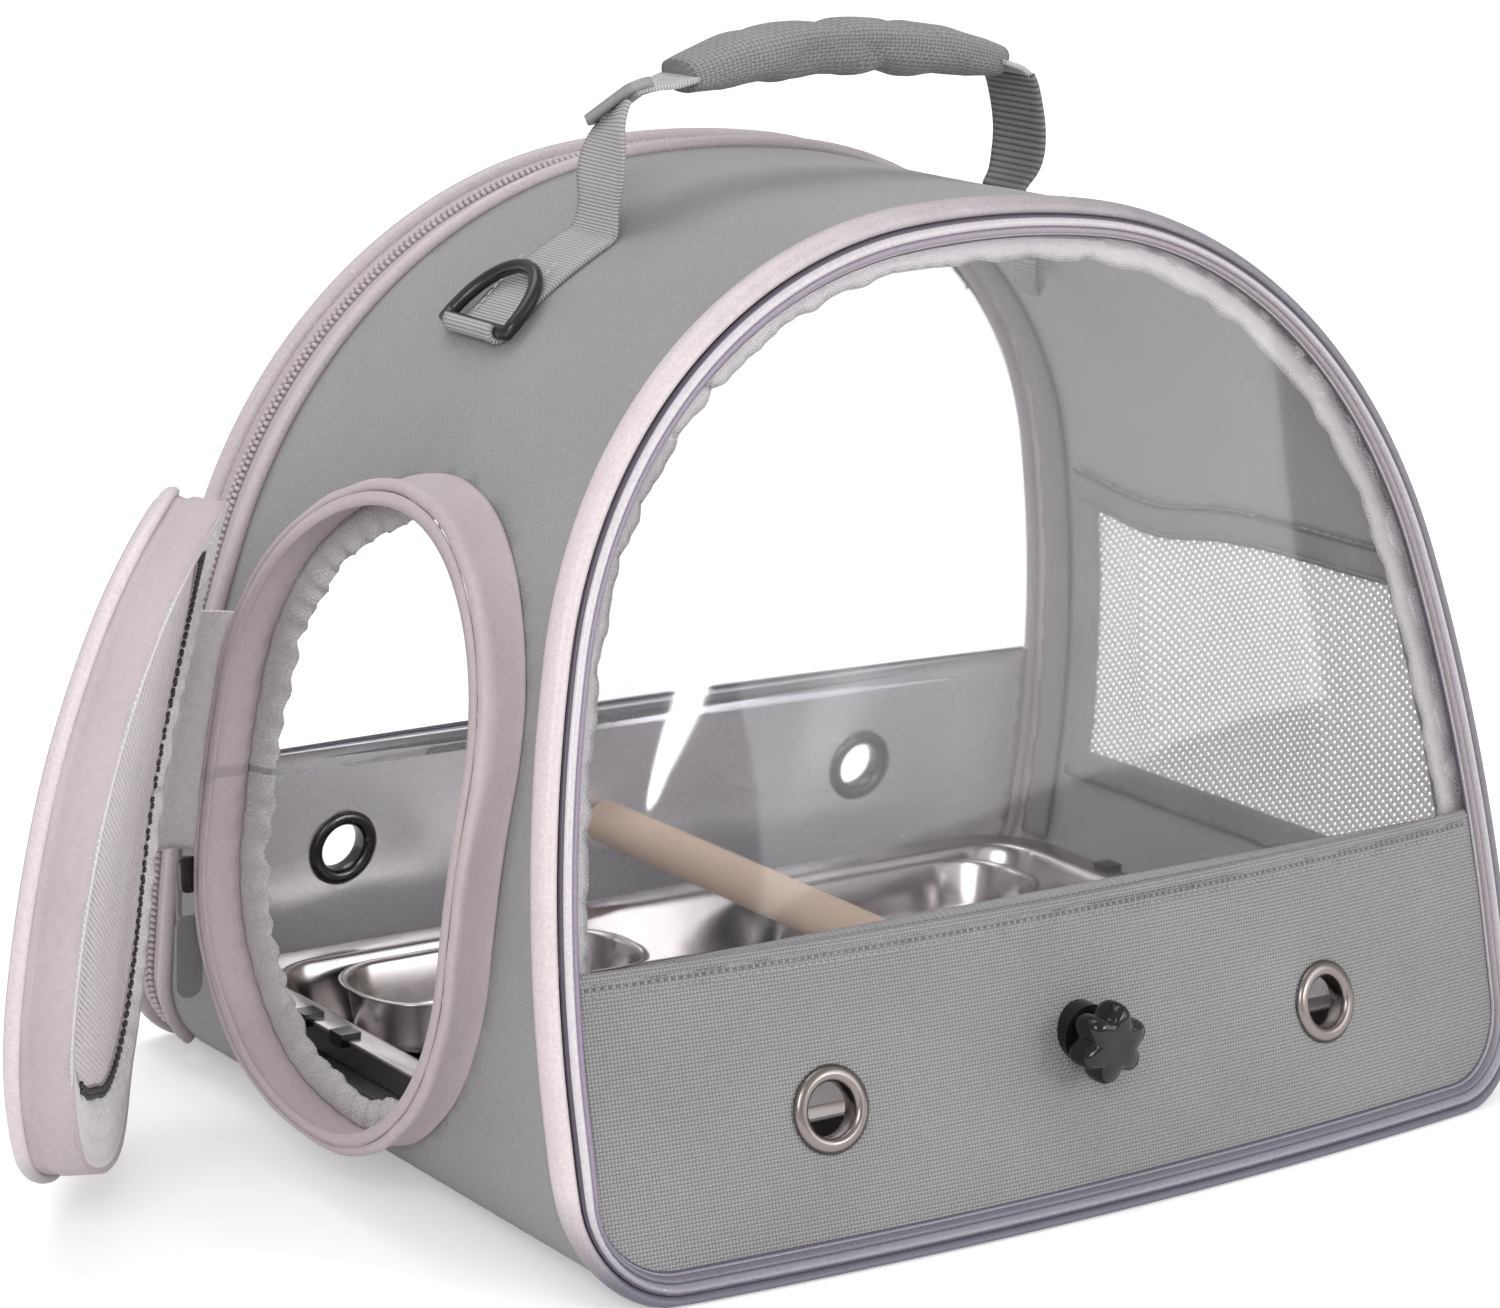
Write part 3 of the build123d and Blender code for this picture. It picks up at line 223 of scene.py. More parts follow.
    def side_x(self, z: float, out: float) -> float:
        """Distance of the side wall from the middle.

        Args:
            z: Height above the ground.
            out: How far the wall is moved outwards.

        Returns:
            The distance in millimetres.
        """
        low, high = self.half_width - self.corner, self.half_length
        for _ in range(36):
            middle = (low + high) / 2
            x, h, nx, nz = self.outline(middle)
            low, high = (middle, high) if h + nz * out < z else (low, middle)
        x, h, nx, nz = self.outline(low)
        return x + nx * out


@dataclass(frozen=True)
class Slot:
    """Round-ended outline of the side opening, on the left wall."""

    form: Form
    y: float = -12.0
    z: float = 112.0
    half_width: float = 72.0
    half_height: float = 98.0

    @property
    def straight(self) -> float:
        """Half-length of the straight sides."""
        return self.half_height - self.half_width

    @property
    def length(self) -> float:
        """Length once round the outline."""
        return 4 * self.straight + 2 * math.pi * self.half_width

    def outline(self, s: float) -> tuple[float, float, float, float]:
        """Point (y, z) and outward normal, from the middle of the rear side, upwards."""
        s = s % self.length
        bend = math.pi * self.half_width
        h, r = self.straight, self.half_width
        if s < h:
            return self.y + r, self.z + s, 1.0, 0.0
        s -= h
        if s < bend:
            a = s / r
            return self.y + r * math.cos(a), self.z + h + r * math.sin(a), math.cos(a), math.sin(a)
        s -= bend
        if s < 2 * h:
            return self.y - r, self.z + h - s, -1.0, 0.0
        s -= 2 * h
        if s < bend:
            a = math.pi + s / r
            return self.y + r * math.cos(a), self.z - h + r * math.sin(a), math.cos(a), math.sin(a)
        s -= bend
        return self.y + r, self.z - h + s, 1.0, 0.0

    def place(self, s: float, grow: float, out: float) -> Vector:
        """Point at a length along the outline, grown, and out from the wall."""
        y, z, ny, nz = self.outline(s)
        y, z = y + ny * grow, z + nz * grow
        return Vector((-self.form.side_x(z, out), y, z))


FORM = Form()
SLOT = Slot(FORM)
HINGE_POINT = Vector((-198.47, 74.0, 122.0))
HINGE_LINE = Vector((-0.02, -0.03, 1.0)).normalized()
DOOR_OPEN = math.radians(37.0)


def opened(point: Vector) -> Vector:
    """Carry a point of the closed side door to where the door stands."""
    return Matrix.Rotation(-DOOR_OPEN, 3, HINGE_LINE) @ (point - HINGE_POINT) + HINGE_POINT


# --------------------------------------------------------------------------- mesh making
class Draft:
    """Mesh-making helpers.  All of them take millimetres."""

    @staticmethod
    def mesh(
        name: str,
        points: Sequence[Vector],
        faces: Sequence[Sequence[int]],
        uvs: Optional[Sequence[tuple[float, float]]] = None,
        smooth: bool = True,
    ) -> bpy.types.Object:
        """Make a mesh object.

        Args:
            name: the object's name.
            points: corners in millimetres.
            faces: corner numbers of each face.
            uvs: one flat coordinate for each corner, in metres.
            smooth: shade the faces smoothly.

        Returns:
            The new object, linked to the scene.
        """
        data = bpy.data.meshes.new(name)
        data.from_pydata([tuple(p * MM) for p in points], [], [list(f) for f in faces])
        if uvs is not None:
            layer = data.uv_layers.new(name="flat")
            for loop in data.loops:
                layer.data[loop.index].uv = uvs[loop.vertex_index]
        data.validate()
        data.update()
        data.shade_smooth() if smooth else data.shade_flat()
        made = bpy.data.objects.new(name, data)
        bpy.context.scene.collection.objects.link(made)
        return made

    @staticmethod
    def sweep(
        name: str,
        place: Place,
        length: float,
        section: Section,
        start: float = 0.0,
        spacing: float = 4.0,
        closed: bool = False,
        ring: bool = True,
        ripple: Optional[Callable[[float, int], tuple[float, float]]] = None,
    ) -> bpy.types.Object:
        """Carry a section along a rim.

        Args:
            name: the object's name.
            place: turns (length along, first, second section size) into a point.
            length: how far the sweep goes.
            section: the section's corners.
            start: where the sweep starts.
            spacing: distance between stations.
            closed: join the section's last corner to its first.
            ring: join the last station to the first.
            ripple: moves a section corner, from the length along and the corner's number.

        Returns:
            The new object.
        """
        count = max(8, round(length / spacing))
        stations = count if ring else count + 1
        points: list[Vector] = []
        uvs: list[tuple[float, float]] = []
        across = [0.0]
        for (a, b), (c, d) in zip(section, section[1:]):
            across.append(across[-1] + math.hypot(c - a, d - b))
        for i in range(stations):
            s = start + length * i / count
            for k, (a, b) in enumerate(section):
                da, db = ripple(s, k) if ripple else (0.0, 0.0)
                points.append(place(s, a + da, b + db))
                uvs.append((s * MM, across[k] * MM))
        n = len(section)
        faces = []
        for i in range(stations if ring else stations - 1):
            j = (i + 1) % stations
            for k in range(n if closed else n - 1):
                m = (k + 1) % n
                faces.append((i * n + k, j * n + k, j * n + m, i * n + m))
        if closed and not ring:
            faces.append(tuple(range(n)))
            faces.append(tuple((stations - 1) * n + k for k in reversed(range(n))))
        made = Draft.mesh(name, points, faces, uvs)
        Draft.face_out(made)
        return made

    @staticmethod
    def face_out(made: bpy.types.Object) -> None:
        """Turn every face of a closed or nearly closed mesh outwards."""
        work = bmesh.new()
        work.from_mesh(made.data)
        bmesh.ops.recalc_face_normals(work, faces=work.faces)
        work.to_mesh(made.data)
        work.free()

    @staticmethod
    def face_out_from_axis(made: bpy.types.Object) -> None:
        """Turn a tunnel sheet's faces away from the tunnel's middle line."""
        middle = Vector((0.0, 0.0, 0.12))
        total = 0.0
        for face in made.data.polygons:
            out = face.center - middle
            out.y = 0.0
            total += face.normal.dot(out) * face.area
        if total < 0:
            made.data.flip_normals()

    @staticmethod
    def cut_sheet(
        name: str,
        outer: Sequence[tuple[float, float]],
        holes: Sequence[Sequence[tuple[float, float]]],
        spacing: float,
        lay: Callable[[float, float], Vector],
    ) -> bpy.types.Object:
        """Cut a sheet with holes on the flat and lay it in place.

        Args:
            name: the object's name.
            outer: the sheet's flat outline.
            holes: flat outlines of its holes.
            spacing: distance between the points inside it.
            lay: turns a flat point into its place.

        Returns:
            The new object.
        """
        flat: list[tuple[float, float]] = []
        edges: list[tuple[int, int]] = []
        for loop in [outer, *holes]:
            first = len(flat)
            flat.extend(loop)
            edges.extend((first + i, first + (i + 1) % len(loop)) for i in range(len(loop)))
        low = [min(p[i] for p in outer) for i in (0, 1)]
        high = [max(p[i] for p in outer) for i in (0, 1)]
        rims = [outer, *holes]
        row = 0
        v = low[1] + spacing / 2
        while v < high[1]:
            u = low[0] + spacing * (0.5 if row % 2 else 0.25)
            while u < high[0]:
                if Draft.inside((u, v), outer) and not any(Draft.inside((u, v), h) for h in holes):
                    if all(Draft.clear((u, v), rim, spacing * 0.45) for rim in rims):
                        flat.append((u, v))
                u += spacing
            v += spacing * 0.866
            row += 1
        made = delaunay_2d_cdt([Vector(p) for p in flat], edges, [], 0, 1e-4)
        corners, triangles = made[0], made[2]
        kept = []
        for tri in triangles:
            middle = (
                sum(corners[i].x for i in tri) / 3,
                sum(corners[i].y for i in tri) / 3,
            )
            if Draft.inside(middle, outer) and not any(Draft.inside(middle, h) for h in holes):
                kept.append(tuple(tri))
        points = [lay(c.x, c.y) for c in corners]
        return Draft.mesh(name, points, kept, [(c.x * MM, c.y * MM) for c in corners])

    @staticmethod
    def cut_size(loop: Sequence[tuple[float, float]]) -> tuple[tuple[float, float], float]:
        """Width, length and area of a flat cut from its outline, in metres and square metres."""
        wide = max(a for a, _ in loop) - min(a for a, _ in loop)
        long = max(b for _, b in loop) - min(b for _, b in loop)
        twice = sum(a0 * b1 - a1 * b0 for (a0, b0), (a1, b1) in zip(loop, [*loop[1:], loop[0]]))
        return (wide * MM, long * MM), abs(twice) / 2 * MM * MM

    @staticmethod
    def inside(point: tuple[float, float], loop: Sequence[tuple[float, float]]) -> bool:
        """Whether a flat point lies inside a loop."""
        x, y = point
        hit = False
        for (x0, y0), (x1, y1) in zip(loop, [*loop[1:], loop[0]]):
            if (y0 > y) != (y1 > y) and x < x0 + (y - y0) * (x1 - x0) / (y1 - y0):
                hit = not hit
        return hit

    @staticmethod
    def clear(point: tuple[float, float], loop: Sequence[tuple[float, float]], gap: float) -> bool:
        """Whether a flat point keeps a gap from a loop's corners."""
        x, y = point
        return all(abs(a - x) > gap or abs(b - y) > gap for a, b in loop)

    @staticmethod
    def thicken(made: bpy.types.Object, thick: float, offset: float, inner: int = 0) -> None:
        """Give a sheet its thickness.

        Args:
            made: the sheet.
            thick: thickness in millimetres.
            offset: -1 grows against the normals and 1 along them.
            inner: material number of the far side, added to the near side's.
        """
        solid = made.modifiers.new("thickness", "SOLIDIFY")
        solid.thickness = thick * MM
        solid.offset = offset
        solid.material_offset = inner
        solid.use_even_offset = True

    @staticmethod
    def joined(
        name: str,
        parts: Iterable[tuple[Sequence[Vector], Sequence[Sequence[int]]]]
    ) -> bpy.types.Object:
        """Make one object from many small solids."""
        points: list[Vector] = []
        faces: list[list[int]] = []
        for corners, sides in parts:
            first = len(points)
            points.extend(corners)
            faces.extend([first + i for i in side] for side in sides)
        return Draft.mesh(name, points, faces)

    @staticmethod
    def capsule(
        centre: Vector, along: Vector, across: Vector, up: Vector, size: tuple[float, float, float]
    ) -> tuple[list[Vector], list[tuple[int, ...]]]:
        """Small rounded bar, such as a stitch or a zip tooth.

        Args:
            centre: its middle.
            along, across, up: its directions, each of length one.
            size: its length, width and height.

        Returns:
            Corners and faces.
        """
        length, width, height = size
        sides = 6
        rings = ((-0.5, 0.35), (-0.32, 1.0), (0.32, 1.0), (0.5, 0.35))
        points = []
        for t, scale in rings:
            for k in range(sides):
                a = 2 * math.pi * k / sides
                points.append(
                    centre
                    + along * (t * length)
                    + across * (math.cos(a) * width / 2 * scale)
                    + up * (math.sin(a) * height / 2 * scale)
                )
        faces = []
        for r in range(len(rings) - 1):
            for k in range(sides):
                m = (k + 1) % sides
                faces.append((r * sides + k, r * sides + m, (r + 1) * sides + m, (r + 1) * sides + k))
        faces.append(tuple(reversed(range(sides))))
        faces.append(tuple((len(rings) - 1) * sides + k for k in range(sides)))
        return points, faces

    @staticmethod
    def stitches(
        name: str,
        line: Callable[[float], Vector],
        face: Callable[[float], Vector],
        length: float,
        pitch: float = 3.4,
        size: tuple[float, float, float] = (2.3, 0.55, 0.45),
        start: float = 0.0,
    ) -> bpy.types.Object:
        """A row of stitches.

        Args:
            name: the object's name.
            line: point on the seam at a length along it.
            face: outward direction of the cloth there.
            length: the seam's length.
            pitch: length of a stitch and its gap.
            size: a stitch's length, width and height.
            start: where the row starts.

        Returns:
            The new object.
        """
        parts = []
        for i in range(int(length / pitch)):
            s = start + (i + 0.5) * pitch
            here, ahead = line(s), line(s + 0.5)
            along = (ahead - here).normalized()
            up = face(s)
            across = along.cross(up).normalized()
            up = across.cross(along).normalized()
            parts.append(Draft.capsule(here, along, across, up, size))
        return Draft.joined(name, parts)

    @staticmethod
    def tube(
        name: str, path: Sequence[Vector], radius: float, loop: bool = False, sides: int = 12
    ) -> bpy.types.Object:
        """Round bar along a path, in one plane or nearly so."""
        points: list[Vector] = []
        uvs: list[tuple[float, float]] = []
        count = len(path)
        normal = Vector((0, 0, 0))
        for i in range(1, count - 1):
            normal += (path[i] - path[i - 1]).cross(path[i + 1] - path[i])
        if normal.length < 1e-9:
            normal = Vector((0.0, 1.0, 0.0))
        normal.normalize()
        run = 0.0
        for i, here in enumerate(path):
            before = path[i - 1] if i or loop else here
            after = path[(i + 1) % count] if i < count - 1 or loop else here
            along = (after - before).normalized()
            side = along.cross(normal).normalized()
            up = side.cross(along).normalized()
            run += (here - before).length
            for k in range(sides):
                a = 2 * math.pi * k / sides
                points.append(here + side * math.cos(a) * radius + up * math.sin(a) * radius)
                uvs.append((run * MM, a * radius * MM))
        faces = []
        for i in range(count if loop else count - 1):
            j = (i + 1) % count
            for k in range(sides):
                m = (k + 1) % sides
                faces.append((i * sides + k, j * sides + k, j * sides + m, i * sides + m))
        if not loop:
            faces.append(tuple(reversed(range(sides))))
            faces.append(tuple((count - 1) * sides + k for k in range(sides)))
        made = Draft.mesh(name, points, faces, uvs)
        Draft.face_out(made)
        return made

    @staticmethod
    def lathe(
        name: str, centre: Vector, axis: Vector, profile: Section, sides: int = 64
    ) -> bpy.types.Object:
        """Turn a closed profile of (radius, height) about an axis."""
        axis = axis.normalized()
        side = axis.orthogonal().normalized()
        other = axis.cross(side)
        points = []
        for i in range(sides):
            a = 2 * math.pi * i / sides
            out = side * math.cos(a) + other * math.sin(a)
            points.extend(centre + out * r + axis * h for r, h in profile)
        n = len(profile)
        faces = []
        for i in range(sides):
            j = (i + 1) % sides
            for k in range(n):
                m = (k + 1) % n
                faces.append((i * n + k, j * n + k, j * n + m, i * n + m))
        made = Draft.mesh(name, points, faces)
        Draft.face_out(made)
        return made


# --------------------------------------------------------------------------- finishes
class NodeSheet:
    """Short-hand for building one material's or group's nodes."""

    def __init__(self, tree: bpy.types.NodeTree) -> None:
        """Work on a node tree."""
        self.tree = tree

    def add(self, kind: str, **settings: object) -> bpy.types.Node:
        """Add a node and set its options."""
        node = self.tree.nodes.new(kind)
        for key, value in settings.items():
            setattr(node, key, value)
        return node

    def join(self, source: bpy.types.NodeSocket, target: bpy.types.NodeSocket) -> None:
        """Link two sockets."""
        self.tree.links.new(source, target)

    def math(self, kind: str, *values: object) -> bpy.types.NodeSocket:
        """Math node of numbers and sockets."""
        node = self.add("ShaderNodeMath", operation=kind)
        for i, value in enumerate(values):
            if isinstance(value, bpy.types.NodeSocket):
                self.join(value, node.inputs[i])
            else:
                node.inputs[i].default_value = value
        return node.outputs[0]

    def mix(self, factor: object, first: object, second: object) -> bpy.types.NodeSocket:
        """Colour mix of two colours."""
        node = self.add("ShaderNodeMix", data_type="RGBA")
        for key, value in ((0, factor), (6, first), (7, second)):
            if isinstance(value, bpy.types.NodeSocket):
                self.join(value, node.inputs[key])
            elif key == 0:
                node.inputs[key].default_value = value
            else:
                node.inputs[key].default_value = (*value, 1.0)
        return node.outputs[2]

    def noise(
        self,
        vector: bpy.types.NodeSocket,
        scale: float,
        detail: float = 3.0,
        rough: float = 0.5
    ) -> bpy.types.NodeSocket:
        """Noise at a scale, as a factor."""
        node = self.add("ShaderNodeTexNoise")
        self.join(vector, node.inputs["Vector"])
        node.inputs["Scale"].default_value = scale
        node.inputs["Detail"].default_value = detail
        node.inputs["Roughness"].default_value = rough
        return node.outputs["Fac"]

    def span(
        self,
        value: bpy.types.NodeSocket,
        low: float,
        high: float,
        to_low: float = 0.0,
        to_high: float = 1.0
    ) -> bpy.types.NodeSocket:
        """Map a span of values to another, clamped."""
        node = self.add("ShaderNodeMapRange")
        self.join(value, node.inputs[0])
        for i, number in enumerate((low, high, to_low, to_high)):
            node.inputs[i + 1].default_value = number
        return node.outputs[0]


class Groups:
    """Shader groups that several finishes share, each built once."""

    @staticmethod
    def _new(
        name: str,
        inputs: Sequence[tuple[str, str, object]],
        outputs: Sequence[tuple[str, str]]
    ) -> tuple[bpy.types.NodeTree, NodeSheet, bpy.types.Node, bpy.types.Node]:
        """Make an empty group with its sockets."""
        tree = bpy.data.node_groups.new(name, "ShaderNodeTree")
        for label, kind, value in inputs:
            socket = tree.interface.new_socket(label, in_out="INPUT", socket_type=kind)
            if value is not None:
                socket.default_value = value
        for label, kind in outputs:
            tree.interface.new_socket(label, in_out="OUTPUT", socket_type=kind)
        sheet = NodeSheet(tree)
        return tree, sheet, sheet.add("NodeGroupInput"), sheet.add("NodeGroupOutput")

    @staticmethod
    def weave() -> bpy.types.NodeTree:
        """Basket weave: threads over and under, as a height and a thread mask."""
        if "basket weave" in bpy.data.node_groups:
            return bpy.data.node_groups["basket weave"]
        tree, n, source, target = Groups._new(
            "basket weave",
            [("Vector", "NodeSocketVector", None), ("Pitch", "NodeSocketFloat", 0.0012)],
            [("Height", "NodeSocketFloat"), ("Thread", "NodeSocketFloat")],
        )
        split = n.add("ShaderNodeSeparateXYZ")
        n.join(source.outputs["Vector"], split.inputs[0])
        u = n.math("DIVIDE", split.outputs[0], source.outputs["Pitch"])
        v = n.math("DIVIDE", split.outputs[1], source.outputs["Pitch"])
        warp = n.math("ABSOLUTE", n.math("SINE", n.math("MULTIPLY", u, math.pi)))
        weft = n.math("ABSOLUTE", n.math("SINE", n.math("MULTIPLY", v, math.pi)))
        over = n.math(
            "MODULO", n.math("ABSOLUTE", n.math("ADD", n.math("FLOOR", u), n.math("FLOOR", v))), 2.0
        )
        high = n.math("MULTIPLY", over, warp)
        low = n.math("MULTIPLY", n.math("SUBTRACT", 1.0, over), weft)
        n.join(n.math("ADD", high, low), target.inputs["Height"])
        n.join(over, target.inputs["Thread"])
        return tree

    @staticmethod
    def mottle() -> bpy.types.NodeTree:
        """Cloudy variation of a colour, coarse and fine."""
        if "mottled colour" in bpy.data.node_groups:
            return bpy.data.node_groups["mottled colour"]
        tree, n, source, target = Groups._new(
            "mottled colour",
            [
                ("Vector", "NodeSocketVector", None),
                ("Light", "NodeSocketColor", (0.5, 0.5, 0.5, 1.0)),
                ("Dark", "NodeSocketColor", (0.3, 0.3, 0.3, 1.0)),
            ],
            [("Color", "NodeSocketColor"), ("Factor", "NodeSocketFloat")],
        )
        coarse = n.noise(source.outputs["Vector"], scale=14.0, detail=2.0)
        fine = n.noise(source.outputs["Vector"], scale=420.0, detail=4.0, rough=0.7)
        both = n.math("ADD", n.math("MULTIPLY", coarse, 0.55), n.math("MULTIPLY", fine, 0.45))
        factor = n.span(both, low=0.32, high=0.68)
        n.join(n.mix(factor, source.outputs["Dark"], source.outputs["Light"]), target.inputs["Color"])
        n.join(factor, target.inputs["Factor"])
        return tree

    @staticmethod
    def crinkle() -> bpy.types.NodeTree:
        """Soft creases of coated cloth or thin sheet, as a height."""
        if "soft creases" in bpy.data.node_groups:
            return bpy.data.node_groups["soft creases"]
        tree, n, source, target = Groups._new(
            "soft creases",
            [("Vector", "NodeSocketVector", None), ("Scale", "NodeSocketFloat", 20.0)],
            [("Height", "NodeSocketFloat")],
        )
        wide = n.add("ShaderNodeTexNoise")
        n.join(source.outputs["Vector"], wide.inputs["Vector"])
        n.join(source.outputs["Scale"], wide.inputs["Scale"])
        wide.inputs["Detail"].default_value = 1.5
        wide.inputs["Distortion"].default_value = 1.4
        cells = n.add("ShaderNodeTexVoronoi", feature="SMOOTH_F1")
        n.join(source.outputs["Vector"], cells.inputs["Vector"])
        n.join(source.outputs["Scale"], cells.inputs["Scale"])
        both = n.math(
            "ADD", n.math("MULTIPLY", wide.outputs["Fac"], 0.7),
            n.math("MULTIPLY", cells.outputs["Distance"], 0.3)
        )
        n.join(both, target.inputs["Height"])
        return tree


@dataclass(frozen=True)
class Finish:
    """A finish that makes one material."""

    name: str

    def start(self, space: Space = Space.UNROLLED) -> tuple[
        bpy.types.Material,
        NodeSheet,
        bpy.types.Node,
        bpy.types.NodeSocket
    ]:
        """Empty material.

        Args:
            space: where the pattern's coordinates come from.

        Returns:
            The material, its node helper, its surface shader and the coordinates.
        """
        made = bpy.data.materials.new(self.name)
        made.use_nodes = True
        nodes = NodeSheet(made.node_tree)
        surface = made.node_tree.nodes["Principled BSDF"]
        where = nodes.add("ShaderNodeTexCoord")
        return made, nodes, surface, where.outputs["UV" if space is Space.UNROLLED else "Object"]

    def make(self) -> bpy.types.Material:
        """The material, built the first time it is asked for."""
        found = bpy.data.materials.get(self.name)
        return found if found else self.build()

    def build(self) -> bpy.types.Material:
        """Build the material."""
        raise NotImplementedError

    def group(
        self,
        nodes: NodeSheet,
        tree: bpy.types.NodeTree,
        vector: bpy.types.NodeSocket
    ) -> bpy.types.Node:
        """Place a shared group and feed its coordinates."""
        node = nodes.add("ShaderNodeGroup", node_tree=tree)
        nodes.join(vector, node.inputs["Vector"])
        return node

    def bump(
        self,
        nodes: NodeSheet,
        surface: bpy.types.Node,
        height: bpy.types.NodeSocket,
        distance: float,
        strength: float = 1.0
    ) -> None:
        """Feed a height to the surface's normal."""
        node = nodes.add("ShaderNodeBump")
        node.inputs["Strength"].default_value = strength
        node.inputs["Distance"].default_value = distance
        nodes.join(height, node.inputs["Height"])
        nodes.join(node.outputs["Normal"], surface.inputs["Normal"])


@dataclass(frozen=True)
class Cloth(Finish):
    """Woven cloth."""

    light: tuple[float, float, float] = (0.36, 0.36, 0.36)
    dark: tuple[float, float, float] = (0.29, 0.29, 0.29)
    pitch: float = 0.0013
    depth: float = 0.00025
    # How strongly the weave's painted shade and painted light change the colour.
    contrast: float = 0.16
    rough: float = 0.85
    sheen: float = 0.15
    space: Space = Space.UNROLLED

    def build(self) -> bpy.types.Material:
        """Build the material."""
        made, n, surface, where = self.start(self.space)
        tint = self.group(n, Groups.mottle(), where)
        tint.inputs["Light"].default_value = (*self.light, 1.0)
        tint.inputs["Dark"].default_value = (*self.dark, 1.0)
        weave = self.group(n, Groups.weave(), where)
        weave.inputs["Pitch"].default_value = self.pitch
        # The weave scales the colour down where its threads dip and a little up on top of them: painted
        # shade between the threads, painted light on them.
        shade = n.span(
            weave.outputs["Height"], low=0.0, high=1.0, to_low=1.0 - self.contrast,
            to_high=1.0 + self.contrast * 0.4
        )
        mul = n.add("ShaderNodeVectorMath", operation="SCALE")
        n.join(tint.outputs["Color"], mul.inputs[0])
        n.join(shade, mul.inputs["Scale"])
        n.join(mul.outputs[0], surface.inputs["Base Color"])
        n.join(
            n.span(
                tint.outputs["Factor"], low=0.0, high=1.0, to_low=self.rough - 0.06,
                to_high=self.rough + 0.06
            ),
            surface.inputs["Roughness"]
        )
        surface.inputs["Sheen Weight"].default_value = self.sheen
        surface.inputs["Specular IOR Level"].default_value = 0.25
        self.bump(n, surface, weave.outputs["Height"], self.depth)
        return made


@dataclass(frozen=True)
class PaintedShadePiping(Finish):
    """Coated pale rose piping with painted light: lit on the left, with painted shade towards the right and
    under the base.
    """

    painted_lit: tuple[float, float, float] = (0.74, 0.65, 0.67)
    painted_shade: tuple[float, float, float] = (0.22, 0.205, 0.235)
    # Colour under the base: painted shade.
    foot: tuple[float, float, float] = (0.15, 0.145, 0.185)
    rough: float = 0.42

    def build(self) -> bpy.types.Material:
        """Build the material."""
        made, n, surface, where = self.start(Space.SOLID)
        split = n.add("ShaderNodeSeparateXYZ")
        n.join(where, split.inputs[0])
        cloud = n.noise(where, scale=60.0, detail=3.0, rough=0.6)
        fine = n.noise(where, scale=900.0, detail=3.0, rough=0.7)
        uneven = n.math("MULTIPLY", n.math("SUBTRACT", cloud, 0.5), 0.3)
        # Painted light: lit towards the left and painted shade towards the right, by the piping's x, made
        # uneven by noise; below 34 mm it fades to the painted shade under the base.
        aside = n.math("ADD", n.span(split.outputs[0], low=-0.14, high=0.10), uneven)
        low = n.span(split.outputs[2], low=0.008, high=0.034, to_low=1.0, to_high=0.0)
        upper = n.mix(n.span(aside, low=0.0, high=1.0), self.painted_lit, self.painted_shade)
        whole = n.mix(low, upper, self.foot)
        grain = n.add("ShaderNodeVectorMath", operation="SCALE")
        n.join(whole, grain.inputs[0])
        n.join(n.span(fine, low=0.3, high=0.7, to_low=0.88, to_high=1.1), grain.inputs["Scale"])
        n.join(grain.outputs[0], surface.inputs["Base Color"])
        n.join(
            n.span(fine, low=0.2, high=0.8, to_low=self.rough - 0.08, to_high=self.rough + 0.12),
            surface.inputs["Roughness"]
        )
        surface.inputs["Coat Weight"].default_value = 0.12
        self.bump(
            n, surface, n.math("ADD", n.math("MULTIPLY", cloud, 0.6), n.math("MULTIPLY", fine, 0.4)),
            distance=0.0006, strength=0.6
        )
        return made


@dataclass(frozen=True)
class Webbing(Finish):
    """Ribbed webbing, with ribs across its length."""

    light: tuple[float, float, float] = (0.50, 0.49, 0.49)
    dark: tuple[float, float, float] = (0.36, 0.355, 0.36)
    rib: float = 0.0017

    def build(self) -> bpy.types.Material:
        """Build the material."""
        made, n, surface, where = self.start()
        split = n.add("ShaderNodeSeparateXYZ")
        n.join(where, split.inputs[0])
        ribs = n.math(
            "ABSOLUTE", n.math("SINE", n.math("MULTIPLY", split.outputs[0], math.pi / self.rib))
        )
        grain = n.math(
            "ABSOLUTE", n.math("SINE", n.math("MULTIPLY", split.outputs[1], math.pi / (self.rib * 0.6)))
        )
        height = n.math("ADD", n.math("MULTIPLY", ribs, 0.75), n.math("MULTIPLY", grain, 0.25))
        cloud = n.noise(where, scale=900.0, detail=3.0, rough=0.7)
        # Darker in the grooves between the ribs, which is painted shade, and uneven with the noise, which is
        # the webbing's own tone.
        mask = n.span(
            n.math("ADD", n.math("MULTIPLY", height, 0.75), n.math("MULTIPLY", cloud, 0.35)), low=0.15,
            high=0.95
        )
        n.join(n.mix(mask, self.dark, self.light), surface.inputs["Base Color"])
        n.join(n.span(cloud, low=0.0, high=1.0, to_low=0.72, to_high=0.9), surface.inputs["Roughness"])
        surface.inputs["Specular IOR Level"].default_value = 0.25
        self.bump(n, surface, height, distance=0.0005)
        return made


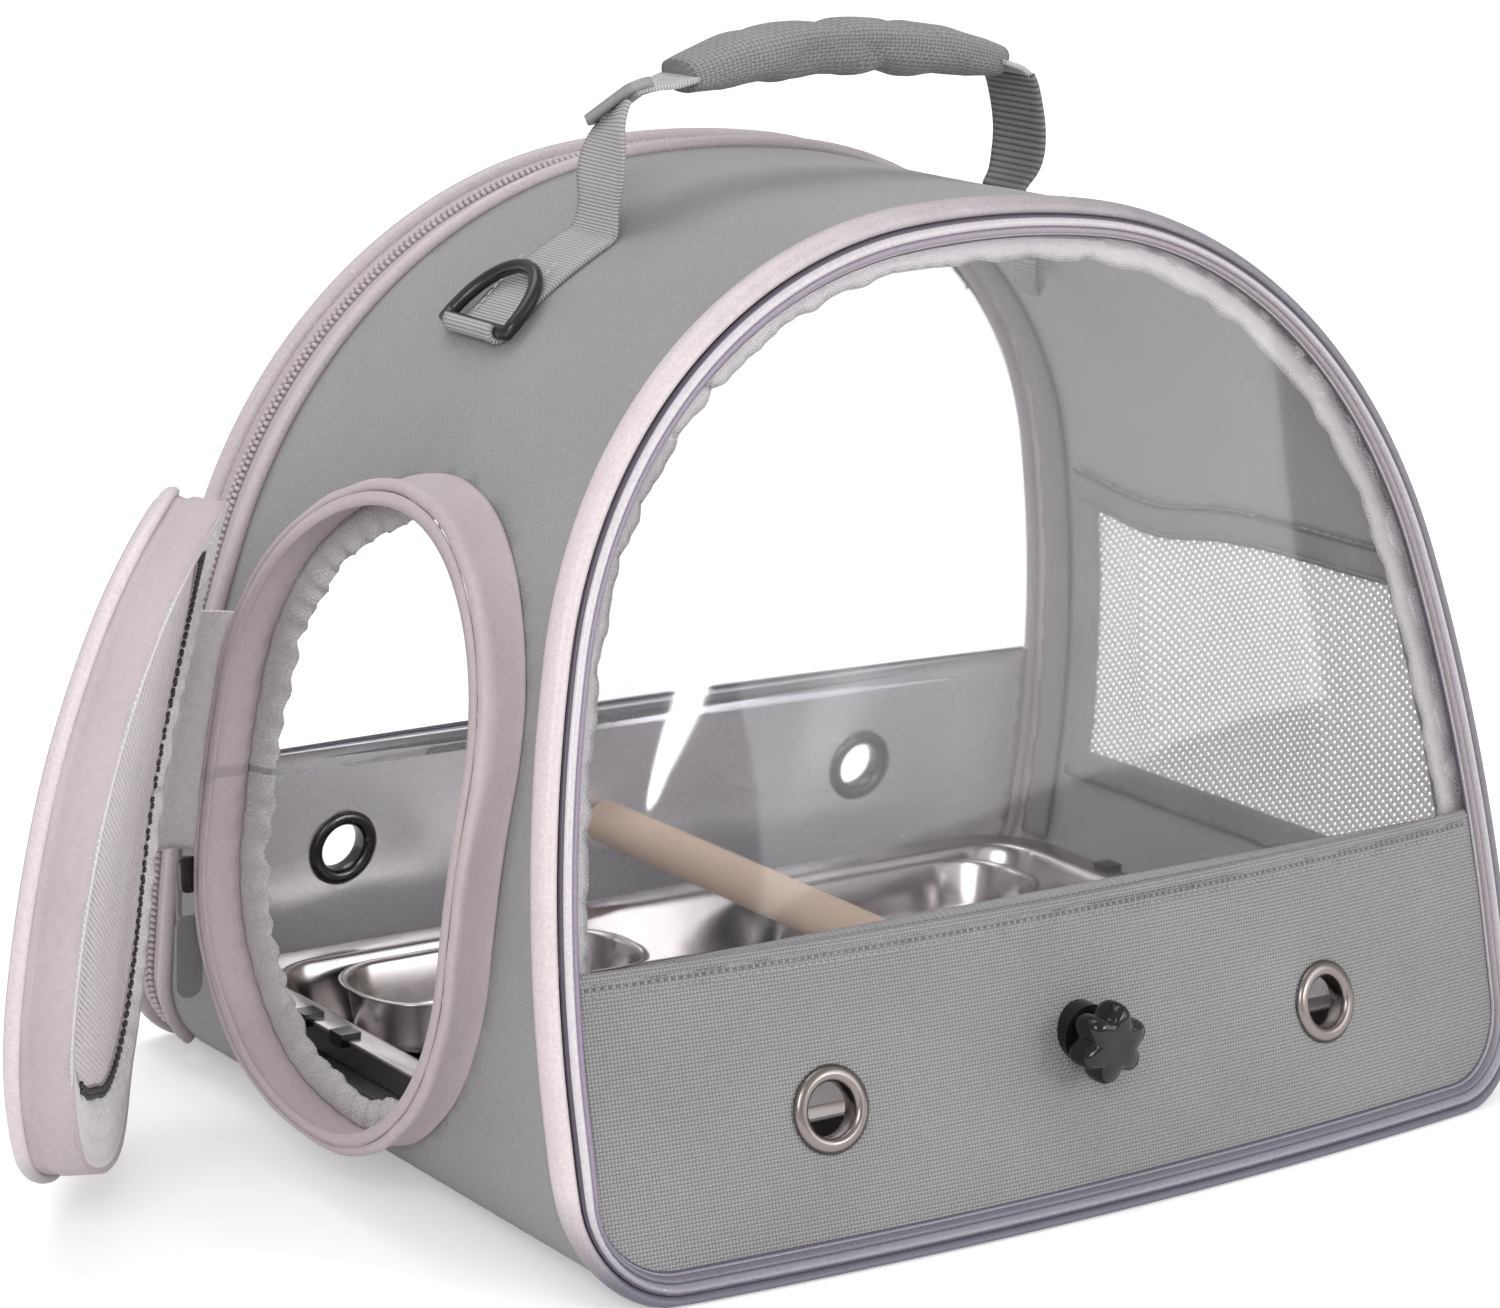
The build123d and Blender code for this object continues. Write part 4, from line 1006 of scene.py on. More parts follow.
@dataclass(frozen=True)
class NetCloth(Finish):
    """Open net with real gaps between its threads."""

    light: tuple[float, float, float] = (0.86, 0.84, 0.84)
    pitch: float = 0.0024
    open_share: float = 0.42
    slant: float = 0.6

    def build(self) -> bpy.types.Material:
        """Build the material."""
        made, n, surface, where = self.start()
        turn = n.add("ShaderNodeMapping")
        turn.inputs["Rotation"].default_value = (0.0, 0.0, self.slant)
        n.join(where, turn.inputs["Vector"])
        split = n.add("ShaderNodeSeparateXYZ")
        n.join(turn.outputs[0], split.inputs[0])
        a = n.math(
            "ABSOLUTE", n.math("SINE", n.math("MULTIPLY", split.outputs[0], math.pi / self.pitch))
        )
        b = n.math(
            "ABSOLUTE",
            n.math("SINE", n.math("MULTIPLY", split.outputs[1], math.pi / (self.pitch * 0.7)))
        )
        hole = n.math("MULTIPLY", a, b)
        thread = n.span(hole, self.open_share, self.open_share + 0.2, to_low=1.0, to_high=0.0)
        cloud = n.noise(where, scale=500.0, detail=3.0, rough=0.6)
        n.join(n.mix(cloud, [c * 0.9 for c in self.light], self.light), surface.inputs["Base Color"])
        n.join(n.span(cloud, low=0.0, high=1.0, to_low=0.6, to_high=0.8), surface.inputs["Roughness"])
        n.join(thread, surface.inputs["Alpha"])
        surface.inputs["Specular IOR Level"].default_value = 0.3
        self.bump(n, surface, n.math("SUBTRACT", 1.0, hole), distance=0.0004)
        return made


@dataclass(frozen=True)
class ClearSheet(Finish):
    """Clear flexible sheet, which lets lamp light into the cabin."""

    tint: tuple[float, float, float] = (0.99, 0.985, 1.0)
    rough: float = 0.02
    wave: float = 0.0006

    def build(self) -> bpy.types.Material:
        """Build the material."""
        made, n, surface, where = self.start(Space.SOLID)
        surface.inputs["Base Color"].default_value = (*self.tint, 1.0)
        surface.inputs["Transmission Weight"].default_value = 1.0
        surface.inputs["IOR"].default_value = 1.38
        ray = n.add("ShaderNodeLightPath")
        soft = n.math("MAXIMUM", ray.outputs["Is Shadow Ray"], ray.outputs["Is Diffuse Ray"])
        n.join(n.math("SUBTRACT", 1.0, n.math("MULTIPLY", soft, 0.95)), surface.inputs["Alpha"])
        creases = self.group(n, Groups.crinkle(), where)
        creases.inputs["Scale"].default_value = 9.0
        n.join(
            n.span(
                n.noise(where, scale=30.0), low=0.2, high=0.8, to_low=self.rough,
                to_high=self.rough * 2.5
            ),
            surface.inputs["Roughness"]
        )
        self.bump(n, surface, creases.outputs["Height"], self.wave, strength=0.35)
        return made


@dataclass(frozen=True)
class Foil(Finish):
    """Silver coated lining with creases."""

    light: tuple[float, float, float] = (0.66, 0.68, 0.72)
    dark: tuple[float, float, float] = (0.42, 0.43, 0.46)
    rough: float = 0.42
    metal: float = 0.55
    crease: float = 13.0

    def build(self) -> bpy.types.Material:
        """Build the material."""
        made, n, surface, where = self.start()
        tint = self.group(n, Groups.mottle(), where)
        tint.inputs["Light"].default_value = (*self.light, 1.0)
        tint.inputs["Dark"].default_value = (*self.dark, 1.0)
        creases = self.group(n, Groups.crinkle(), where)
        creases.inputs["Scale"].default_value = self.crease
        n.join(tint.outputs["Color"], surface.inputs["Base Color"])
        n.join(
            n.span(
                creases.outputs["Height"], low=0.2, high=0.7, to_low=self.rough + 0.1,
                to_high=self.rough - 0.08
            ),
            surface.inputs["Roughness"]
        )
        surface.inputs["Metallic"].default_value = self.metal
        self.bump(n, surface, creases.outputs["Height"], distance=0.004, strength=0.45)
        return made


@dataclass(frozen=True)
class Metal(Finish):
    """Plated or polished metal."""

    light: tuple[float, float, float] = (0.72, 0.70, 0.68)
    rough: float = 0.18
    brushed: float = 0.0

    def build(self) -> bpy.types.Material:
        """Build the material."""
        made, n, surface, where = self.start(Space.SOLID)
        surface.inputs["Metallic"].default_value = 1.0
        stretch = n.add("ShaderNodeMapping")
        stretch.inputs["Scale"].default_value = (1.0, 6.0 if self.brushed else 1.0, 1.0)
        n.join(where, stretch.inputs["Vector"])
        grain = n.noise(stretch.outputs[0], scale=60.0, detail=4.0, rough=0.6)
        n.join(n.mix(grain, [c * 0.86 for c in self.light], self.light), surface.inputs["Base Color"])
        n.join(
            n.span(grain, low=0.25, high=0.75, to_low=self.rough * 0.8, to_high=self.rough * 1.35),
            surface.inputs["Roughness"]
        )
        self.bump(
            n, surface, n.noise(where, scale=9.0, detail=0.0), distance=0.0004,
            strength=0.04 + self.brushed
        )
        return made


@dataclass(frozen=True)
class Plastic(Finish):
    """Moulded plastic."""

    light: tuple[float, float, float] = (0.02, 0.02, 0.022)
    rough: float = 0.25
    coat: float = 0.3

    def build(self) -> bpy.types.Material:
        """Build the material."""
        made, n, surface, where = self.start(Space.SOLID)
        grain = n.noise(where, scale=260.0, detail=5.0, rough=0.65)
        n.join(
            n.mix(grain, [c * 0.8 for c in self.light], [min(1.0, c * 1.15) for c in self.light]),
            surface.inputs["Base Color"]
        )
        n.join(
            n.span(grain, low=0.2, high=0.8, to_low=self.rough * 0.8, to_high=self.rough * 1.3),
            surface.inputs["Roughness"]
        )
        surface.inputs["Coat Weight"].default_value = self.coat
        surface.inputs["Coat Roughness"].default_value = 0.12
        self.bump(n, surface, grain, distance=0.0001, strength=0.3)
        return made


@dataclass(frozen=True)
class Wood(Finish):
    """Sanded pale wood with its grain along the carrier's depth."""

    light: tuple[float, float, float] = (0.86, 0.61, 0.55)
    dark: tuple[float, float, float] = (0.68, 0.45, 0.40)

    def build(self) -> bpy.types.Material:
        """Build the material."""
        made, n, surface, where = self.start(Space.SOLID)
        stretch = n.add("ShaderNodeMapping")
        stretch.inputs["Scale"].default_value = (1.0, 0.05, 1.0)
        n.join(where, stretch.inputs["Vector"])
        grain = n.noise(stretch.outputs[0], scale=700.0, detail=5.0, rough=0.6)
        rings = n.noise(stretch.outputs[0], scale=130.0, detail=2.0)
        mask = n.math("ADD", n.math("MULTIPLY", grain, 0.5), n.math("MULTIPLY", rings, 0.5))
        n.join(n.mix(n.span(mask, low=0.35, high=0.65), self.dark, self.light), surface.inputs["Base Color"])
        n.join(n.span(mask, low=0.3, high=0.7, to_low=0.5, to_high=0.68), surface.inputs["Roughness"])
        self.bump(n, surface, grain, distance=0.0003, strength=0.5)
        return made


@dataclass(frozen=True)
class Board(Finish):
    """Plain stiff board."""

    def build(self) -> bpy.types.Material:
        """Build the material."""
        made, n, surface, where = self.start(Space.SOLID)
        fibre = n.noise(where, scale=320.0, detail=5.0, rough=0.7)
        n.join(n.mix(fibre, (0.30, 0.29, 0.28), (0.42, 0.41, 0.40)), surface.inputs["Base Color"])
        n.join(n.span(fibre, low=0.0, high=1.0, to_low=0.8, to_high=0.95), surface.inputs["Roughness"])
        return made


GREY_CLOTH = Cloth(
    "grey oxford cloth", light=(0.37, 0.37, 0.37), dark=(0.29, 0.29, 0.292), pitch=0.0011,
    contrast=0.42, depth=0.0004
)
TUNNEL_CLOTH = Cloth(
    "grey tunnel cloth", light=(0.36, 0.36, 0.358), dark=(0.30, 0.30, 0.298), contrast=0.06,
    depth=0.0001
)
GREY_LINING = Cloth(
    "smooth grey lining", light=(0.43, 0.41, 0.415), dark=(0.35, 0.335, 0.34), pitch=0.004, depth=0.0,
    contrast=0.0
)
HEM = Cloth(
    "grey hem", light=(0.37, 0.35, 0.355), dark=(0.28, 0.265, 0.27), pitch=0.0009, depth=0.0001,
    contrast=0.1
)
PINK_BINDING = Cloth(
    "pale rose binding", light=(0.63, 0.545, 0.56), dark=(0.50, 0.42, 0.435), pitch=0.0007,
    depth=0.00006, contrast=0.06, sheen=0.2
)
ROSE_PIPING = PaintedShadePiping("pale rose piping")
REAR_ROSE = PaintedShadePiping(
    "rear rose piping", painted_lit=(0.62, 0.55, 0.56), painted_shade=(0.45, 0.40, 0.42), foot=(0.42, 0.37, 0.39)
)
# Pale colour that stands for the clear welt's highlights: painted highlight.
WELT_HIGHLIGHT = PaintedShadePiping(
    "welt highlight", painted_lit=(0.70, 0.65, 0.70), painted_shade=(0.56, 0.52, 0.56), foot=(0.30, 0.29, 0.34), rough=0.2
)
WELT_GREY = PaintedShadePiping(
    "grey welt", painted_lit=(0.30, 0.25, 0.33), painted_shade=(0.36, 0.315, 0.335), foot=(0.17, 0.16, 0.20), rough=0.3
)
GATHERED = Cloth(
    "gathered grey binding", light=(0.66, 0.635, 0.65), dark=(0.45, 0.43, 0.445), pitch=0.0010,
    depth=0.0002, contrast=0.14
)
# Lighter copy of the gathered grey binding, for the door's inside and its hinge, which face away from the
# lamps: painted light.
GATHERED_PAINTED_LIGHT = Cloth(
    "gathered binding painted light", light=(0.95, 0.92, 0.93), dark=(0.72, 0.695, 0.71), pitch=0.0010,
    depth=0.0002, contrast=0.12
)
SEAM_BINDING = Cloth(
    "pale seam binding", light=(0.68, 0.64, 0.66), dark=(0.50, 0.47, 0.485), pitch=0.0008,
    depth=0.00015, contrast=0.1
)
REAR_BINDING = Cloth(
    "dark seam binding", light=(0.36, 0.335, 0.345), dark=(0.25, 0.235, 0.245), pitch=0.0008,
    depth=0.00015, contrast=0.1
)
ROPE_CLOTH = Cloth(
    "grip cloth", light=(0.33, 0.33, 0.325), dark=(0.23, 0.23, 0.23), pitch=0.0015, depth=0.0004,
    contrast=0.35
)
STRAP = Webbing("pale grey webbing", light=(0.60, 0.585, 0.59), dark=(0.36, 0.35, 0.36), rib=0.0011)
STRAP_WHITE = Webbing("whitish webbing", light=(0.74, 0.73, 0.73), dark=(0.46, 0.45, 0.455), rib=0.0011)
STRAP_DARK = Webbing("grey webbing", light=(0.30, 0.30, 0.30), dark=(0.07, 0.07, 0.072), rib=0.0021)
WINDOW_NET = NetCloth("window net", light=(0.93, 0.90, 0.91), pitch=0.0030, open_share=0.66)
DOOR_NET = NetCloth("door net", light=(0.97, 0.91, 0.93), pitch=0.0023, open_share=0.58, slant=0.5)
CLEAR = ClearSheet("clear window sheet", tint=(0.955, 0.95, 0.972))
DARK_LINE = Plastic("dark welt line", light=(0.085, 0.07, 0.10), rough=0.35, coat=0.2)
SILVER = Foil("silver lining", light=(0.96, 0.95, 0.97), dark=(0.74, 0.73, 0.76), rough=0.3, metal=0.6)
SHADED_SILVER = Foil(
    "silver floor lining", light=(0.42, 0.42, 0.44), dark=(0.28, 0.275, 0.29), rough=0.5, metal=0.4
)
STEEL = Metal("pressed steel", light=(0.52, 0.49, 0.49), rough=0.2)
NICKEL = Metal("nickel plate", light=(0.30, 0.265, 0.255), rough=0.26)
GUNMETAL = Metal("dark plate", light=(0.10, 0.095, 0.10), rough=0.25)
SPRING = Metal("spring steel", light=(0.5, 0.5, 0.5), rough=0.35, brushed=0.3)
BLACK = Plastic("black knob plastic", light=(0.008, 0.008, 0.010), rough=0.12, coat=0.0)
RING_PLASTIC = Plastic("ring plastic", light=(0.012, 0.012, 0.013), rough=0.3, coat=0.15)
SLIDE_PLASTIC = Plastic("slide plastic", light=(0.34, 0.34, 0.335), rough=0.35, coat=0.1)
ZIP_TEETH = Plastic("zip teeth", light=(0.60, 0.54, 0.55), rough=0.4, coat=0.1)
DARK_TEETH = Plastic("dark zip teeth", light=(0.03, 0.028, 0.03), rough=0.4, coat=0.1)
PULL_TAB = Plastic("grey pull tab", light=(0.24, 0.24, 0.24), rough=0.5, coat=0.1)
THREAD = Cloth(
    "thread", light=(0.40, 0.39, 0.40), dark=(0.28, 0.27, 0.28), pitch=0.0005, depth=0.0, contrast=0.0,
    space=Space.SOLID
)
DARK_THREAD = Cloth(
    "dark thread", light=(0.20, 0.19, 0.20), dark=(0.12, 0.115, 0.12), pitch=0.0005, depth=0.0,
    contrast=0.0, space=Space.SOLID
)
PALE_THREAD = Cloth(
    "pale thread", light=(0.66, 0.62, 0.63), dark=(0.54, 0.50, 0.51), pitch=0.0005, depth=0.0,
    contrast=0.0, space=Space.SOLID
)
BEECH = Wood("beech")
BOARD = Board("stiff board")


def dress(
    made: bpy.types.Object,
    body: Body,
    slot: str,
    *finishes: Finish,
    stands_for: Sequence[str] = ()
) -> bpy.types.Object:
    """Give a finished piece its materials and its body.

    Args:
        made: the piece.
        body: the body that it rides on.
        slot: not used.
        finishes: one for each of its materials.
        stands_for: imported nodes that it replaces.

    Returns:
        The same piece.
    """
    made.data.materials.clear()
    for finish in finishes:
        made.data.materials.append(finish.make())
    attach(made, body.value)
    if stands_for:
        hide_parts(*stands_for)
    LOG.info("made %s", made.name)
    return made


def bridge(
    made: bpy.types.Object,
    finish: Finish,
    nodes: Sequence[str],
) -> None:
    """Finish a cloth piece that lies between two bodies, and bake it where it lies."""
    solid = made.modifiers[0]
    bpy.context.view_layer.objects.active = made
    with bpy.context.temp_override(object=made, active_object=made, selected_objects=[made]):
        bpy.ops.object.modifier_apply(modifier=solid.name)
    made.data.materials.append(finish.make())
    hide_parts(*nodes)
    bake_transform(made)
    LOG.info("made %s", made.name)


def redress(node: str, finish: Finish) -> None:
    """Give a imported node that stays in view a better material."""
    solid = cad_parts[node]
    for place in solid.material_slots:
        place.material = finish.make()
    LOG.info("dressed %s", node)


def gathers(pitch: float, depth: float, seed: float) -> Callable[[float, float], float]:
    """Uneven gathers along a seam: an offset from the length along and how free the cloth is."""

    def wave(s: float, free: float) -> float:
        """Offset in millimetres."""
        drift = noise.noise(Vector((s * 0.03, seed, 0.0))) * 2.2
        size = 0.6 + 0.8 * abs(noise.noise(Vector((s * 0.05, seed + 7.0, 0.0))))
        return depth * free * size * math.sin(2 * math.pi * s / pitch + drift * 2.0)

    return wave


# --------------------------------------------------------------------------- the tunnel
@dataclass
class Tunnel:
    """Cloth tunnel with its side opening and net window."""

    form: Form = field(default_factory=Form)
    net_low: float = 56.0
    net_high: float = 168.0
    net_front: float = 6.0
    net_rear: float = 34.0
    hem_wide: float = 8.0
    sag: float = 6.5
    sag_at: float = 42.0
    sag_wide: float = 30.0

    def net_top(self, y: float) -> float:
        """Height of the net's upper edge, which sags towards the rear."""
        return self.net_high - self.sag * math.exp(-(((y - self.sag_at) / self.sag_wide) ** 2))

    def net_outline(self, grow: float, spacing: float = 6.0) -> list[tuple[float, float]]:
        """Flat outline of the net window: its upper edge sags between its ends."""
        low = self.form.length_at(self.net_low - grow)
        loop: list[tuple[float, float]] = []

        def edge(s: float, front: bool) -> float:
            """Depth of the net's front or rear edge."""
            x, z, _, _ = self.form.outline(s)
            if front:
                return self.form.front_y(x, z) + self.net_front - grow
            return self.form.rear_y(x, z) - self.net_rear + grow

        def high(y: float) -> float:
            """Length along the arch of the upper edge."""
            return self.form.length_at(self.net_top(y) + grow)

        ends = [edge(self.form.length_at(self.net_high + grow), front) for front in (True, False)]
        for front in (True, False):
            end = ends[0] if front else ends[1]
            run = high(end) - low
            steps = max(4, int(run / spacing))
            side = [(low + run * i / steps, edge(low + run * i / steps, front)) for i in range(steps)]
            loop.extend(side if front else [])
            if front:
                steps_y = max(4, int((ends[1] - ends[0]) / spacing))
                for i in range(steps_y):
                    y = ends[0] + (ends[1] - ends[0]) * i / steps_y
                    loop.append((high(y), y))
                loop.append((high(ends[1]), ends[1]))
            else:
                loop.extend(side[::-1])
        base = (edge(low, False), edge(low, True))
        steps_y = max(4, int((base[0] - base[1]) / spacing))
        for i in range(1, steps_y):
            t = i / steps_y
            loop.append((low, base[0] + (base[1] - base[0]) * t))
        return loop

    def opening_outline(self, grow: float, spacing: float = 4.0) -> list[tuple[float, float]]:
        """Flat outline of the side opening on the left wall."""
        loop = []
        count = int(SLOT.length / spacing)
        full = 2 * self.form.half_length
        for i in range(count):
            y, z, ny, nz = SLOT.outline(SLOT.length * i / count)
            inwards = grow - 3.0 * max(0.0, -ny)
            loop.append((full - self.form.length_at(z + nz * inwards), y + ny * inwards))
        return loop

    def shell(self) -> None:
        """Foam-backed cloth of the roof, walls and floor."""
        form = self.form
        full = 2 * form.half_length
        count = 230
        stops = [full * i / count for i in range(count + 1)]
        front, rear = [], []
        for s in stops:
            x, z, _, _ = form.outline(s)
            front.append((s, form.front_y(x, z) + 0.5))
            tail = 3.6 if z < 2.0 else form.zip_band
            rear.append((s, form.rear_y(x, z) - tail - 0.3))
        outer = front + rear[::-1]

        def lay(s: float, y: float) -> Vector:
            """Place a flat point, with the cloth's slight unevenness."""
            x, z, _, _ = form.outline(s)
            ends = min(y - form.front_y(x, z), form.rear_y(x, z) - form.zip_band - y)
            free = max(0.0, min(1.0, ends / 45.0)) * max(0.0, min(1.0, (z - 6.0) / 40.0))
            lump = noise.noise(Vector((s * 0.012, y * 0.016, 3.0))) * 1.3
            small = noise.noise(Vector((s * 0.05, y * 0.03, 9.0))) * 0.35
            return form.wall_point(s, y, -0.1 + (lump + small) * free)

        made = Draft.cut_sheet(
            "tunnel_cloth", outer, [self.net_outline(grow=0.0), self.opening_outline(grow=-2.0)],
            spacing=6.5, lay=lay
        )
        Draft.face_out_from_axis(made)
        Draft.thicken(made, form.wall, offset=-1.0, inner=1)
        dress(made, Body.CARRIER, "grey_oxford", TUNNEL_CLOTH, GREY_LINING, stands_for=["gusset_shell"])

    def net(self) -> None:
        """Net window with its soft folds and its grey hem."""
        form = self.form

        def lay(s: float, y: float) -> Vector:
            """Place a flat point of the net, which hangs a little loose."""
            _, z, _, _ = form.outline(s)
            up = (z - self.net_low) / (self.net_high - self.net_low)
            free = max(0.0, math.sin(math.pi * min(1.0, max(0.0, up))))
            fold = -3.2 * math.exp(-(((y - 44.0 - 0.06 * z) / 5.0) ** 2)) * free
            fold -= 2.6 * math.exp(-(((y + 40.0 - 0.05 * z) / 6.0) ** 2)) * free
            fold += math.sin(y * 0.052 + 1.3 * math.sin(z * 0.021)) * 1.2 * free
            fold += noise.noise(Vector((y * 0.03, z * 0.01, 4.0))) * 2.0 * free
            return form.wall_point(s, y, -form.wall - 0.6 + min(1.4, fold))

        made = Draft.cut_sheet("window_net", self.net_outline(grow=3.5), [], spacing=6.0, lay=lay)
        dress(made, Body.CARRIER, "white_mesh", WINDOW_NET, stands_for=["mesh_window"])
        low, high = form.length_at(self.net_low), form.length_at(self.net_high)
        flat, area = Draft.cut_size([(y, s) for s, y in self.net_outline(grow=3.5)])
        self.hem(low, high)

    def hem(self, low: float, high: float) -> None:
        """Grey binding round the net, on the inside, with a dark cord along its top edge that paints the
        shadow under the lining's edge.
        """
        form = self.form
        inner, outer = self.net_outline(-self.hem_wide, spacing=4.0), self.net_outline(grow=3.5, spacing=4.0)

        def lay(s: float, y: float) -> Vector:
            """Place a flat point of the binding."""
            ruck = noise.noise(Vector((s * 0.08, y * 0.08, 2.0))) * 0.6
            return form.wall_point(s, y, -form.wall - 2.0 - ruck)

        made = Draft.cut_sheet("net_binding", outer, [inner], spacing=4.0, lay=lay)
        Draft.thicken(made, thick=1.0, offset=0.0)
        dress(made, Body.CARRIER, "grey_binding", HEM, stands_for=["mesh_binding"])
        front, rear = self.net_front - 3.0, self.net_rear - 3.0
        # The dark "edge" cord is painted shadow under the lining's edge; the "seam" cord is the hem's own
        # seam.
        for tag, rise, deep, finish in (
            ("edge", 3.6, 3.0, DARK_THREAD), ("seam", -self.hem_wide + 1.6, 2.9, HEM)
        ):
            path = []
            for i in range(61):
                x, z, _, _ = form.outline(high)
                y = form.front_y(x, z) + front + (
                    form.rear_y(x, z) - rear - form.front_y(x, z) - front
                ) * i / 60
                path.append(
                    form.wall_point(form.length_at(self.net_top(y) + rise), y, -form.wall - deep)
                )
            line = Draft.tube(f"net_hem_{tag}", path, radius=0.42, sides=6)
            dress(line, Body.CARRIER, "grey_binding", finish)

    def floor(self) -> None:
        """Silver lining on the floor board."""
        form = self.form
        half = form.half_width - form.corner - 1.0
        loop = []
        for i in range(41):
            x = -half + 2 * half * i / 40
            loop.append((x, form.front_y(x, 6.5) + 2.8))
        for i in range(41):
            x = half - 2 * half * i / 40
            loop.append((x, form.rear_y(x, 6.5) - 8.2))

        def lay(x: float, y: float) -> Vector:
            """Place a flat point of the lining."""
            return Vector((x, y, 6.45 + 0.4 * noise.noise(Vector((x * 0.02, y * 0.02, 5.0)))))

        made = Draft.cut_sheet("floor_lining_cloth", loop, [], spacing=9.0, lay=lay)
        Draft.thicken(made, thick=0.6, offset=0.0)
        dress(made, Body.CARRIER, "silver_lining", SHADED_SILVER, stands_for=["floor_lining"])
        redress("base_board", BOARD)

    def roof_loop(self) -> None:
        """Small loop of binding that hangs inside the roof."""
        x0, y0, width, drop = 112.0, 50.0, 10.5, 14.6
        top = 134.868 + math.sqrt(151.0**2 - (x0 - 18.94) ** 2)
        path = []
        for i in range(25):
            t = i / 24
            a = math.pi * t
            path.append((-2.6 * math.cos(a), -drop * math.sin(a) ** 0.7))
        points, uvs, faces = [], [], []
        for i, (dx, dz) in enumerate(path):
            for side in (-1, 1):
                points.append(Vector((x0 + dx, y0 + side * width / 2, top + 0.8 + dz)))
                uvs.append((i * 0.0016, side * width * MM / 2))
        for i in range(len(path) - 1):
            faces.append((2 * i, 2 * i + 1, 2 * i + 3, 2 * i + 2))
        made = Draft.mesh("roof_loop", points, faces, uvs)
        Draft.thicken(made, thick=1.2, offset=0.0)
        dress(made, Body.CARRIER, "pink_webbing", STRAP, stands_for=["hanging_loop"])

    def build(self) -> None:
        """Build the whole tunnel."""
        self.shell()
        self.net()
        self.floor()
        self.roof_loop()


# --------------------------------------------------------------------------- the faces
@dataclass
class Face:
    """A face that closes one end of the tunnel."""

    form: Form
    facing: Facing
    body: Body

    @property
    def full(self) -> float:
        """Length once round the arch."""
        return 2 * self.form.half_length

    def on_face(self, x: float, z: float, away: float) -> Vector:
        """Point on the face, moved away from the tunnel."""
        edge = self.form.front_y if self.facing is Facing.FRONT else self.form.rear_y
        return Vector((x, edge(x, z, away), z))

    def outline(
        self,
        inwards: float,
        low: float,
        high: float,
        spacing: float = 5.0
    ) -> list[tuple[float, float]]:
        """Flat outline (x, z) of the arch moved inwards, between two heights."""
        loop: list[tuple[float, float]] = []
        count = int(self.full / spacing)
        for i in range(count):
            x, z, nx, nz = self.form.outline(self.full * i / count)
            loop.append((x - nx * inwards, z - nz * inwards))
        kept: list[tuple[float, float]] = []
        size = len(loop)
        for i, (x, z) in enumerate(loop):
            x1, z1 = loop[(i + 1) % size]
            if low <= z <= high:
                kept.append((x, z))
            for level in (low, high):
                if (z - level) * (z1 - level) < 0:
                    t = (level - z) / (z1 - z)
                    kept.append((x + (x1 - x) * t, level))
        return kept

    def piping(
        self,
        name: str,
        section: Section,
        finish: Finish,
        slot: str,
        stands_for: Sequence[str] = (),
        ripple: Optional[Callable[[float, int], tuple[float, float]]] = None
    ) -> bpy.types.Object:
        """Band or cord that follows the whole rim."""
        made = Draft.sweep(
            name, self.form.rim(self.facing), self.full, section, closed=True, ripple=ripple
        )
        return dress(made, self.body, slot, finish, stands_for=stands_for)

    @staticmethod
    def cord_section(
        out: float,
        away: float,
        radius_out: float,
        radius_away: float,
        sides: int = 14
    ) -> Section:
        """Rounded section of a cord or band.

        Args:
            out: Middle of the section, outwards from the rim's outline.
            away: Middle of the section, away from the tunnel.
            radius_out: Half its size outwards.
            radius_away: Half its size away from the tunnel.
            sides: How many corners it has.

        Returns:
            The corners in order, each outwards and away.
        """
        return [
            (
                out + radius_out * math.cos(2 * math.pi * k / sides),
                away + radius_away * math.sin(2 * math.pi * k / sides),
            )
            for k in range(sides)
        ]

    def eyelet(
        self,
        name: str,
        x: float,
        z: float,
        finish: Finish,
        slot: str,
        inner: float,
        outer: float
    ) -> bpy.types.Object:
        """Pressed eyelet with domed flanges on both faces of the panel."""
        form = self.form
        lean = form.front_lean if self.facing is Facing.FRONT else form.rear_lean
        bow = form.front_bow if self.facing is Facing.FRONT else form.rear_bow
        slope = 2 * bow * x / form.half_width**2
        normal = Vector((slope, float(self.facing.value), lean)).normalized()
        hole, rim = 8.1, 13.0
        profile = [
            (hole, inner), (hole, outer), (hole + 0.3, outer + 0.9), (hole + 1.2, outer + 1.6),
            (
                hole + 2.4, outer + 1.7
            ), (hole + 3.6, outer + 1.2), (rim, outer + 0.25), (rim - 0.2, outer + 0.05),
            (
                hole + 0.9, outer - 0.1
            ), (hole + 0.9, inner + 0.1), (rim - 0.2, inner - 0.05), (rim, inner - 0.25),
            (hole + 3.6, inner - 1.1), (hole + 2.4, inner - 1.5), (hole + 0.9, inner - 1.2),
        ]
        made = Draft.lathe(name, self.on_face(x, z, 0.0), normal, profile)
        return dress(made, self.body, slot, finish)


